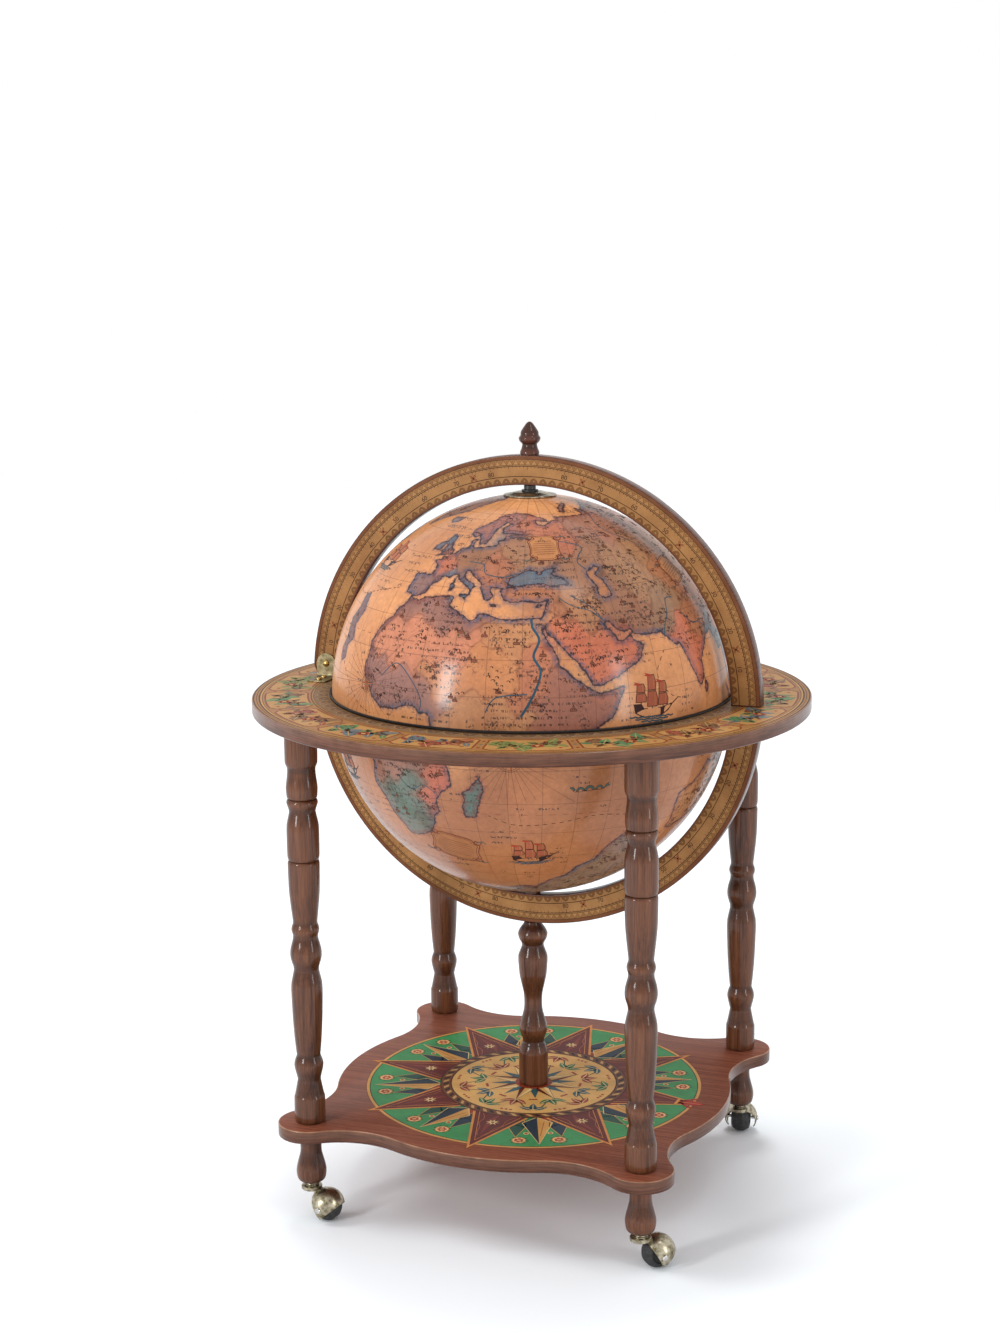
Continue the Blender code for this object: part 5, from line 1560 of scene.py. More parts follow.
@dataclass(kw_only=True)
class ArchPrint(Sheet):
    """The print on one face of an arch, with a scale of degrees that counts up from the ring to the pole.

    The side is -1 in front and 1 behind, and up is 1 above the ring and -1 below it. The foot is how far
    from the centre's level the arch starts, the heel the angle of its round end if it has one.
    """

    lift: float = 0.025
    arch: Meridian
    side: int
    up: int
    foot: float
    heel: float | None = None
    margin: float = 0.3
    ground: str = "#A5784A"
    brown: str = "#3E2418"

    def __post_init__(self) -> None:
        """Works out between which angles the print runs."""
        self.start = math.degrees(math.asin((self.foot + 1.2) / self.arch.inner))
        self.end = 180 - self.start if self.heel is None else self.heel

    def take(self, name: str, body: str) -> None:
        """Draws the print and lets it ride with its arch.

        Args:
            name: The piece's name.
            body: The body that carries it.
        """
        self.bands()
        self.zigzag()
        self.scallops()
        self.ticks()
        if self.heel is not None:
            self.round_heel(polar((self.arch.inner + self.arch.outer) / 2, self.heel))
        mesh = self.mesh(name, self.place)
        if self.side * self.up > 0:
            mesh.flip_normals()
        seat = Seat(body, "printed_band")
        seat.take(name, mesh, PrintedSheet(age=0.35))
        seat.take(f"{name}_numbers", self.numerals(), PrintedSheet())

    def place(self, x: float, y: float, lift: float) -> Vector:
        """Stands a point of the print up against the arch's face, in metres."""
        depth = self.side * (self.arch.half_thickness + PRINT_LIFT + lift)
        return Vector((x, depth, GLOBE_HEIGHT + self.up * y)) * MM

    def stretches(self, width: float) -> list[Point]:
        """Where each of the equal stretches of about a width in degrees starts and ends."""
        marks = np.linspace(self.start, self.end, round((self.end - self.start) / width) + 1)
        return list(zip(marks, marks[1:]))

    def bands(self) -> None:
        """The ground with its wide brown edges and its dark lines."""
        rim = self.arch.arris + self.margin
        stripes = [(0, self.ground, self.arch.inner + rim, self.arch.outer - rim)]
        for radius, width in ((295.9, 4.0), (264.3, 2.6)):
            stripes.append((1, "#75492F", radius - width / 2, radius + width / 2))
        for radius, width in ((293.8, 0.6), (286.8, 0.6), (285.2, 0.9), (272.6, 0.9)):
            stripes.append((1, self.brown, radius - width / 2, radius + width / 2))
        stripes.append((1, "#946A40", 287.1, 293.5))
        steps = max(1, round((self.end - self.start) / 1.5))
        for level, ink, inner, outer in stripes:
            self.band(inner, outer, ink, level, (self.start, self.end), steps)

    def zigzag(self) -> None:
        """The outer band's teeth, with a dot between each two."""
        for first, last in self.stretches(1.6):
            tooth = [polar(287.4, first), polar(293.2, (first + last) / 2), polar(287.4, last)]
            self.fill(tooth, "#A67A4A", 2)
            self.line(tooth, 0.8, "#7A5334", 3)
            self.disc(0.8, "#7A5334", 3, polar(291.6, last - 0.02 * (last - first)), 6)

    def scallops(self) -> None:
        """The inner band's round scallops, each with a dot in it."""
        for first, last in self.stretches(2.6):
            arch = [
                polar(264.6 + 6.6 * math.sin(math.pi * share) ** 0.7, first + (last - first) * share)
                for share in np.linspace(0, 1, 9)
            ]
            self.fill(arch, "#7C5532", 2)
            self.line(arch, 0.6, "#A87C4A", 3)
            self.disc(1.0, "#A87C4A", 3, polar(266.9, (first + last) / 2), 6)

    def ticks(self) -> None:
        """The scale: a tick each degree, a longer one each five, and flowers between the numbers."""
        for degree in range(math.ceil(self.start), math.floor(self.end) + 1):
            length = 4.4 if degree % 10 == 0 else 3.2 if degree % 5 == 0 else 1.8
            self.line([polar(285.0 - length, degree), polar(285.0, degree)], 0.5, self.brown, 2)
        for degree in range(15, 180, 30):
            if not self.start + 3 < degree < self.end - 3:
                continue
            centre = polar(277.2, degree)
            for leaf in range(4):
                self.move_to(centre, degree + 45 + 90 * leaf)
                self.leaf(6.5, 2.6, "#7A3A22", "#D0A362", 2)
            self.move_to()
            self.disc(1.3, self.brown, 4, centre, 8)

    def round_heel(self, middle: Point) -> None:
        """The plain ground and the line round the heel at the hinge.

        Args:
            middle: The heel's middle about the globe's centre.
        """
        rim = self.arch.heel_radius - self.arch.arris - self.margin
        half_turn = (self.heel, self.heel + 180, 24, middle)
        self.fill(arc(rim, *half_turn), self.ground, 0)
        self.line(arc(rim - 1.0, *half_turn), 1.3, self.brown, 1)

    def numerals(self) -> Mesh:
        """The scale's numbers, each ten degrees but at the pole.

        Returns:
            One mesh of them all, in place.
        """
        meshes = []
        for degree in range(10, 180, 10):
            if not self.start + 4 < degree < self.end - 4 or degree == 90:
                continue
            drawn = bpy.data.curves.new("number", "FONT")
            drawn.body = str(min(degree, 180 - degree))
            drawn.size = 8.0 * MM
            drawn.align_x = drawn.align_y = "CENTER"
            holder = bpy.data.objects.new("number", drawn)
            mesh = bpy.data.meshes.new_from_object(holder)
            bpy.data.objects.remove(holder)
            bpy.data.curves.remove(drawn)
            x, y = polar(276.8, degree)
            outward = math.atan2(self.up * y, x) + (0.0 if self.up > 0 else math.pi)
            level = Matrix.Rotation(self.side * (math.pi / 2 - outward), 4, "Z")
            upright = Matrix.Rotation(math.pi / 2, 4, "X")
            facing = Matrix.Rotation(math.pi if self.side > 0 else 0.0, 4, "Z")
            mesh.transform(Matrix.Translation(self.place(x, y, 0.12)) @ facing @ upright @ level)
            meshes.append(mesh)
        joined = merged("numbers", meshes)
        valued(joined, "ink", [linear(self.brown)] * len(joined.loops), "CORNER")
        return joined


@dataclass(frozen=True)
class Wash:
    """A hand colourist's tint and the map (longitude, latitude) points about which it was laid."""

    colour: str
    seeds: tuple[Point, ...]


@dataclass(frozen=True)
class River:
    """A river as real (longitude, latitude) points from its mouth, and its drawn width in mm."""

    width: float
    points: tuple[Point, ...]


# Coasts as real (longitude, latitude) points, each closed on itself; water inside land is one too
SHORES = {
    "old_world": (
        (-6, 35.8), (-2, 35.1), (1, 36.4), (9.8, 37.3), (11, 37), (10.3, 34.3), (15.3, 32.2), (18, 30.4),
        (20, 31), (20.2, 32.5), (23, 32.6), (25.2, 31.6), (29, 30.9), (31, 31.5), (34.3, 31.4),
        (36, 36.7), (32, 36.1), (30.5, 36.6), (29, 36.3), (27.4, 36.8), (26.2, 39.4), (27, 40.4),
        (29, 40.5), (29.1, 41.1), (35, 42), (38, 41), (41.5, 41.5), (40, 43.4), (37.3, 45), (39, 47.2),
        (35.5, 46.4), (35, 45.3), (33.5, 44.5), (33, 46), (30.8, 46.5), (28.2, 43.5), (28, 41.8),
        (28.8, 41.2), (26.2, 40.2), (24, 40.8), (22.8, 40.4), (23, 39), (24, 38), (23, 36.6),
        (21.8, 36.8), (19.4, 40.5), (19.5, 41.8), (13.7, 45.7), (12.3, 45.4), (12.6, 44), (14.2, 42.4),
        (16, 41.8), (18.4, 40.2), (17, 40.5), (16, 38), (15.7, 39.8), (10.5, 43), (10, 44), (8.5, 44.3),
        (6.5, 43.2), (4, 43.5), (3.1, 42.8), (3, 41.8), (0.5, 40.7), (-0.8, 37.7), (-2.2, 36.8),
        (-5.3, 36.1), (-6.4, 36.8), (-8.9, 37), (-9.4, 38.8), (-8.8, 41), (-9, 43), (-6, 43.6),
        (-1.8, 43.4), (-1.2, 45.5), (-2.5, 47.3), (-4.6, 48.3), (-1.6, 48.7), (-1.6, 49.7), (0.3, 49.6),
        (1.6, 50.8), (4, 51.6), (5, 53.3), (8.5, 53.8), (8.1, 56.8), (10.5, 57.7), (9.8, 54.9), (11, 54),
        (18.5, 54.7), (21, 55.3), (21.5, 57.4), (24, 57.2), (24, 59), (30, 60), (22, 60.4), (21.3, 63),
        (25.3, 65.1), (22, 65.8), (18, 62.3), (15.8, 56.1), (12.9, 55.5), (10.5, 59.5), (8, 58.1),
        (5.3, 59.5), (5, 61.8), (13, 66), (15.5, 68.5), (20, 70), (25.5, 71), (31, 70.2), (40, 67),
        (40, 66.2), (34, 66.6), (35, 64.5), (38, 64), (42, 66.4), (44.5, 67), (44, 68.5), (68, 68.5),
        (69, 73), (73, 71.5), (73, 68), (75, 72), (104, 77.7), (113, 76), (106, 73.3), (124, 73.5),
        (130, 71.2), (140, 72.7), (160, 69.7), (180, 69), (190, 66), (180, 64.8), (170, 60), (164, 59.8),
        (157, 51), (156, 57), (163.5, 62.4), (152, 59), (143, 59.3), (137, 53.8), (141, 52.5),
        (140.3, 48), (127.5, 39.5), (129, 35.2), (126.4, 34.5), (126.7, 37.5), (124.7, 39.7), (121.5, 39),
        (122, 40.6), (118, 39), (119, 37.3), (122.4, 37), (119.3, 35), (122, 30), (117, 23.6), (110, 21),
        (108.5, 21.8), (106.5, 20), (106, 18.5), (108.8, 15.5), (109.2, 12), (105, 8.7), (105, 10.5),
        (100, 13.2), (99.3, 10.5), (104.2, 1.4), (101.3, 3), (98.4, 8.2), (97.6, 16.5), (94.4, 16),
        (91.8, 22.3), (87, 21.4), (80.3, 15.6), (79.8, 10.3), (77.5, 8.1), (72.2, 21.2), (70.5, 20.8),
        (66.6, 25.2), (61.6, 25.1), (57.5, 25.6), (56.5, 27), (54, 26.6), (51.5, 27.9), (50, 30),
        (48.5, 30), (48, 29.3), (51.3, 25.5), (51.5, 24.2), (54, 24.1), (56.2, 26), (56.6, 24.3),
        (59.8, 22.5), (57.8, 19), (55, 17.3), (49, 14.2), (45, 12.8), (43.4, 12.7), (42.7, 15.5),
        (40.5, 19.8), (35.3, 27.7), (34.9, 29.4), (34.2, 27.8), (32.5, 29.9), (37.3, 21), (37.5, 18.6),
        (39.7, 15.3), (43.3, 11.5), (45, 10.5), (51.2, 12), (51, 10.4), (48, 4.5), (41, -2), (39.3, -4.8),
        (40.6, -11), (40.7, -15), (36.5, -18.5), (35, -20.5), (35.5, -24), (32.8, -26), (32.5, -28.5),
        (29.5, -32), (26, -33.8), (20, -34.8), (18.3, -34), (18.2, -32), (15.5, -27.5), (14.5, -22.5),
        (11.8, -18), (13.7, -12), (12, -5), (9.3, -1), (9.5, 3.8), (8.5, 4.6), (6, 4.3), (4.3, 6.3),
        (1, 6), (-2, 4.8), (-7.5, 4.4), (-11.3, 6.8), (-16.7, 12.4), (-17.4, 14.7), (-16.3, 19),
        (-17, 21), (-14.8, 25.5), (-13, 27.8), (-9.8, 29.8), (-9.6, 31.5), (-6.8, 34),
    ),
    "new_world": (
        (-168, 65.7), (-162, 66.5), (-166, 68.3), (-156.5, 71.3), (-141, 69.7), (-128, 70.3), (-108, 68),
        (-85, 69.5), (-82, 68), (-94, 62), (-94.7, 59), (-92.5, 57), (-85, 55.3), (-80, 51.3), (-77, 57),
        (-78.3, 62.4), (-73, 62), (-69.5, 59), (-65, 60.3), (-56, 52.5), (-60, 50.2), (-66, 50.2),
        (-64.5, 46.5), (-60.3, 46), (-65.5, 43.6), (-67, 44.8), (-70.5, 43), (-70, 41.7), (-74, 40.6),
        (-75.7, 35.2), (-81.3, 31), (-81, 25.2), (-84, 30), (-94.5, 29.4), (-97.3, 27), (-97.7, 22.3),
        (-95.5, 18.6), (-91.5, 18.5), (-90.3, 21), (-87, 21.4), (-88.5, 15.8), (-83.3, 15), (-83.7, 11),
        (-81.5, 9), (-77.5, 8.6), (-72, 12), (-71.5, 10.8), (-62, 10.7), (-58.5, 7), (-52, 5), (-50, 1),
        (-48, -1), (-35, -6), (-35, -9), (-38.8, -13), (-41, -22), (-45, -23.5), (-54.5, -34.8),
        (-58.4, -34), (-57, -36.5), (-65, -41), (-68.5, -52.5), (-66, -55), (-72, -54), (-75.5, -50),
        (-70.4, -18.5), (-76, -14), (-81.3, -4.5), (-80, 1), (-77.3, 4), (-78, 8), (-83, 8.3),
        (-87.7, 13), (-94, 16), (-99.5, 16.7), (-105.5, 20.3), (-114.8, 31.7), (-109.5, 23.2),
        (-112.2, 25.5), (-124.3, 40.5), (-124.7, 48.4), (-122.8, 49), (-127.5, 51), (-135, 58.5),
        (-148, 60.5), (-164.5, 54.6), (-158, 58.5), (-166, 61.7), (-161, 64),
    ),
    "caspian": (
        (47, 45), (51, 47), (53, 46.5), (50.3, 44.3), (52.5, 42), (54, 37.3), (51, 36.7), (49, 37.6),
        (49.3, 40.3), (47.6, 43),
    ),
    "britain": (
        (-5.7, 50), (1.4, 51.2), (1.7, 52.7), (0.2, 53), (-1.5, 55), (-2, 57.6), (-3.3, 58.6), (-5, 58.5),
        (-5.8, 56.3), (-4.8, 54.8), (-3, 54), (-4.5, 53.2), (-4.3, 52.2), (-5.2, 51.8), (-3, 51.4),
    ),
    "ireland": ((-6.2, 52.2), (-5.6, 54.6), (-7.5, 55.3), (-8.6, 54.3), (-10, 53.5), (-10, 51.8)),
    "iceland": ((-22.5, 64), (-18.8, 63.4), (-14.5, 64.5), (-14.8, 66.2), (-23.5, 66.2), (-24, 65)),
    "sicily": ((12.5, 38), (15.6, 38.2), (15.1, 36.7), (12.5, 37.6)),
    "sardinia": ((8.3, 41), (9.8, 40.8), (9.5, 39.1), (8.4, 39)),
    "corsica": ((8.6, 42.6), (9.5, 43), (9.4, 41.5), (8.8, 41.6)),
    "crete": ((23.6, 35.5), (26.3, 35.2), (24, 35)),
    "cyprus": ((32.3, 35), (34.5, 35.6), (33.8, 34.9), (32.6, 34.6)),
    "greenland": (
        (-45, 60), (-42, 62.5), (-36, 65.7), (-22, 70.2), (-20, 75), (-12, 81.5), (-30, 83.5), (-60, 82),
        (-73, 78.3), (-60, 75.8), (-54, 71), (-53.5, 67), (-48.5, 61),
    ),
    "novaya_zemlya": ((52, 71), (56, 70.7), (57, 73), (68, 76.5), (62, 76.3), (54, 74)),
    "madagascar": (
        (49.3, -12), (50.4, -15.5), (47, -25), (44, -25), (43.3, -22), (44.4, -19.5), (44, -17),
        (46.3, -15.7),
    ),
    "sri_lanka": ((80, 9.7), (81.8, 7.5), (80.5, 6), (79.8, 7.5)),
    "honshu": (
        (131, 34), (133, 35.5), (136, 36), (137, 37.4), (139.5, 38.5), (140, 41), (141.5, 41.3),
        (142, 39.5), (140.3, 35.3), (137, 34.6), (135.7, 33.5),
    ),
    "luzon": ((120.3, 16), (120.6, 18.5), (122.2, 18.4), (121.5, 16), (124, 13), (121, 13.7)),
    "borneo": (
        (109, 1.5), (111, 1.5), (113.2, 3.2), (116.7, 7), (119, 5.2), (117.8, 3), (118.8, 1),
        (116.4, -1.5), (116, -4), (111.7, -3.4), (110, -1.5),
    ),
    "sumatra": ((95.4, 5.6), (98, 4.2), (106, -3), (105.8, -5.8), (102.3, -4), (98.6, 1.6)),
    "java": ((105.3, -6.7), (112.7, -6.9), (114.5, -8.5), (106.5, -7.4)),
    "sulawesi": (
        (119.5, 0), (120.5, 1.2), (125, 1.6), (120.5, 0.3), (123.3, -0.8), (121.7, -1.9), (122.8, -4),
        (120.7, -2.8), (120.3, -5.5), (119.4, -3.5),
    ),
    "new_guinea": (
        (131, -0.8), (134, -0.9), (135, -3.3), (138, -1.7), (141, -2.6), (145, -4.5), (147.8, -6.2),
        (150.7, -10.4), (147, -9.5), (144, -7.7), (141, -9.1), (138.5, -8.2), (138, -5.5), (133, -4),
    ),
    "australia": (
        (113.5, -22), (114, -26.5), (115.7, -32), (115, -34.3), (118, -35), (123.5, -33.9), (129, -31.6),
        (134, -32.7), (135.7, -34.9), (137.8, -32.7), (138, -35.5), (140.5, -38), (146.3, -39),
        (150, -37.4), (153, -32), (153.4, -28), (151, -23.8), (146.3, -19), (145.3, -15), (142.5, -10.8),
        (141.5, -13.5), (140.8, -17.5), (139, -17.3), (135.5, -15), (136.8, -12.2), (132.5, -11.4),
        (130.5, -12.5), (128.5, -15), (125.5, -14), (122.3, -18), (119, -20),
    ),
    "new_zealand_north": ((172.8, -34.5), (175.5, -37), (178.4, -37.8), (176.8, -40), (175, -41.5)),
    "new_zealand_south": ((172.7, -40.6), (174.2, -41.8), (168.5, -46.6), (166.6, -45.8)),
    "cuba": ((-84.8, 22), (-80, 23.1), (-74.3, 20.2), (-77.5, 19.9), (-78, 21), (-82, 22.5)),
    "baffin": (
        (-62, 66), (-68, 70.5), (-78, 73), (-88, 73.5), (-85, 70), (-73, 68), (-78, 64.5), (-66, 62),
    ),
    # The great southern land, as mapmakers drew it before anyone had sailed along its coast
    "southern_land": (
        (-180, -62), (-165, -62), (-150, -66), (-130, -63), (-112, -58), (-100, -62), (-84, -60),
        (-70, -57), (-58, -60), (-44, -66), (-25, -63), (-8, -60), (8, -63), (22, -61), (38, -64),
        (52, -62), (58, -59), (66, -60), (72, -54), (79, -51), (82, -46), (88, -43), (90, -38), (94, -34),
        (99, -29.5), (104, -32), (106, -38), (113, -43), (118, -50), (128, -54), (138, -52), (150, -57),
        (160, -62), (172, -60), (180, -62),
    ),
    # An ocean island of the kind that old maps show and no ship ever found
    "old_isles": (
        (-37, 13), (-33, 14.5), (-34, 18), (-30.5, 20.5), (-33, 24.5), (-30, 29), (-33, 34), (-37, 33),
        (-36, 29), (-39, 25.5), (-36.5, 20.5), (-38.5, 16.5),
    ),
}

RIVERS = (
    River(4.6, (
        (31.2, 31.4), (31.4, 29), (33.2, 25.5), (31.6, 21), (33.4, 17), (31.6, 11), (30, 5), (28.6, 0.6),
    )),
    River(2.2, ((30.6, 11), (27, 10), (24.5, 6), (23.6, 1))),
    River(2.0, ((47.5, 46), (45, 48.5), (46.5, 51), (49.5, 54), (44, 56.2), (38, 57.5))),
    River(1.8, ((29.5, 45.2), (26, 44), (20, 45), (18.5, 48), (12, 48.8))),
    River(1.6, ((48.4, 30), (45, 33), (41, 35), (38.5, 37.5))),
    River(1.6, ((48.4, 30), (46, 33.5), (43.5, 36), (41, 38))),
    River(2.2, ((67.5, 24.2), (69, 27), (71.5, 30), (73.5, 34), (77, 34))),
    River(2.0, ((89.5, 22), (86, 25.2), (81, 26), (78, 29.5))),
    River(1.8, ((121.8, 31.5), (115, 30), (107, 29.5), (101, 27), (97, 32))),
    River(1.8, ((72.5, 68), (68, 63), (70, 59), (75, 56), (81, 52))),
    River(1.8, ((12.5, -6), (16, -2), (20, 1.5), (25, 0), (26, -7))),
    River(1.8, ((6, 4.6), (6.5, 8), (3, 13), (-3, 17), (-8, 13))),
    River(1.6, ((36, -18.6), (32, -16), (27, -17.8), (23, -14))),
    River(2.4, ((-50.5, -0.5), (-56, -2.5), (-63, -3.6), (-70, -4), (-75, -6))),
    River(1.8, ((-89.4, 29.4), (-91, 34), (-89.5, 38), (-92, 43), (-95, 47))),
    River(1.8, ((-58.4, -33.6), (-58, -27), (-57, -20))),
)

# How far east or west the old mapmaker set a real longitude, above the equator
OLD_LONGITUDES = (
    (-180.0, 0.0), (-90.0, 0.0), (-45.0, -12.0), (-9.0, -16.0), (19.0, -15.0), (28.0, -14.0), (31.0, -8.5),
    (36.0, -8.0), (45.0, -3.0), (60.0, -2.5), (70.0, -1.0), (80.0, 0.0), (180.0, 0.0),
)
SOUTHERN_SHIFT = 3.0
SEA = "#D0905E"
UPPER_WASHES = (
    Wash("#7A4C46", ((-36, 15), (-35, 24), (-34, 32))),
    Wash("#8A6862", ((-20, 40), (-21, 37))),
    Wash("#B3674A", ((-13, 46), (-15, 48))),
    Wash("#66707A", ((-18, 53), (-19, 56), (-24, 53), (-4, 44), (-1, 41), (0, 39))),
    Wash("#8F6248", ((-6, 51), (-1, 52), (-2, 48))),
    Wash("#A4684C", ((6, 45), (8, 41), (9, 48))),
    Wash("#9C6558", ((-5, 61), (2, 65), (10, 62))),
    Wash("#986C4E", ((13, 53), (20, 56), (22, 50))),
    Wash("#B0694C", ((33, 58), (30, 64))),
    Wash("#8C6054", ((-20, 33), (-10, 34), (-5, 33), (3, 31))),
    Wash("#BE7A5C", ((-24, 25), (-14, 25), (-4, 24), (2, 21), (-18, 20))),
    Wash("#B47C54", ((13, 27), (18, 27))),
    Wash("#93695F", ((-26, 11), (-18, 9), (-8, 9), (-28, 15))),
    Wash("#BC7C50", ((6, 14), (14, 19), (-4, 14))),
    Wash("#97614F", ((27, 10), (34, 8), (38, 6), (30, 3))),
    Wash("#B58058", ((5, 4), (14, 6), (20, 2))),
    Wash("#AE6C4E", ((20, 13), (24, 18))),
    Wash("#BE6A4C", ((42, 23), (45, 18), (50, 20), (36, 27))),
    Wash("#A46848", ((22, 39), (28, 38))),
    Wash("#A87450", ((37, 33), (38, 38))),
    Wash("#95664C", ((50, 32), (56, 30), (53, 36))),
    Wash("#9A6C50", ((40, 44), (44, 50))),
    Wash("#B5664A", ((76, 22), (79, 18), (76, 12))),
    Wash("#8E6A50", ((68, 30), (72, 33))),
    Wash("#9C7050", ((62, 42), (70, 45), (60, 50))),
    Wash("#A26A4A", ((84, 42), (90, 36), (84, 28))),
    Wash("#96694E", ((88, 52), (100, 48))),
    Wash("#9B6A56", ((60, 62), (75, 65), (95, 66), (120, 64))),
    Wash("#B46C4C", ((112, 32), (105, 26), (118, 40))),
    Wash("#6C7072", ((102, 16), (98, 22), (140, 38), (122, 14))),
    Wash("#9A6C52", ((-100, 45), (-90, 38), (-80, 42))),
    Wash("#68707A", ((-110, 62), (-75, 55), (-120, 52))),
    Wash("#B4684C", ((-103, 25), (-108, 32))),
    Wash("#A57452", ((-66, 6), (-74, 6), (-84, 32))),
    Wash("#8D6E62", ((-40, 72), (-70, 70), (0, 78), (60, 74))),
)
LOWER_WASHES = (
    Wash("#5E6C60", ((28, -22), (33, -19), (25, -27))),
    Wash("#B2624A", ((42, -8), (41, -14), (38, -20))),
    Wash("#926654", ((20, -6), (17, -11), (27, -10))),
    Wash("#686A5E", ((22, -31), (28, -32), (18, -20))),
    Wash("#52685F", ((50, -19), (49, -15), (50, -23))),
    Wash("#8A6A54", ((80, -60), (95, -40), (110, -55), (140, -62), (40, -70), (0, -75))),
    Wash("#7C6458", ((70, -72), (100, -34), (120, -70), (-40, -75))),
    Wash("#B07850", ((118, -26), (130, -20), (140, -30))),
    Wash("#9A6654", ((104, -2), (113, 0), (110, -7), (124, -2), (141, -6))),
    Wash("#B5684C", ((-58, -10), (-50, -8), (-45, -14))),
    Wash("#6C7270", ((-72, -12), (-66, -20), (-60, -25))),
    Wash("#98704F", ((-68, -40), (-66, -48), (-62, -33), (-120, -70), (-170, -72))),
)
SEA_WASHES_AND_SHADE = (
    Wash("#54626C", ((27, 43.5), (24, 43), (31, 42.5))),
    Wash("#B9714F", ((31, 22), (27, 27), (48, 27), (45, 29))),
    Wash(SEA, ((8, 35), (-12, 38), (45, 8), (62, 12), (-40, 20), (-60, 30), (20, 75), (90, 8), (60, 20))),
    Wash("#C68A5A", ((-45, 55), (130, 20), (-30, 5), (160, 45), (-140, 30), (-30, 70), (38, 14), (36, 18))),
    # The next two tints darken the sea of the lower half as painted shade, where less light falls; the first
    # of them also tints the Caspian and the eastern Mediterranean
    Wash("#AC7048", (
        (70, -10), (70, -40), (10, -20), (130, -45), (-20, -45), (-120, -30), (50, 43), (49, 38.5),
        (24, 34), (30, 34),
    )),
    Wash("#9E6644", ((60, -25), (90, -20), (0, -50), (170, -20), (-90, -50))),
)


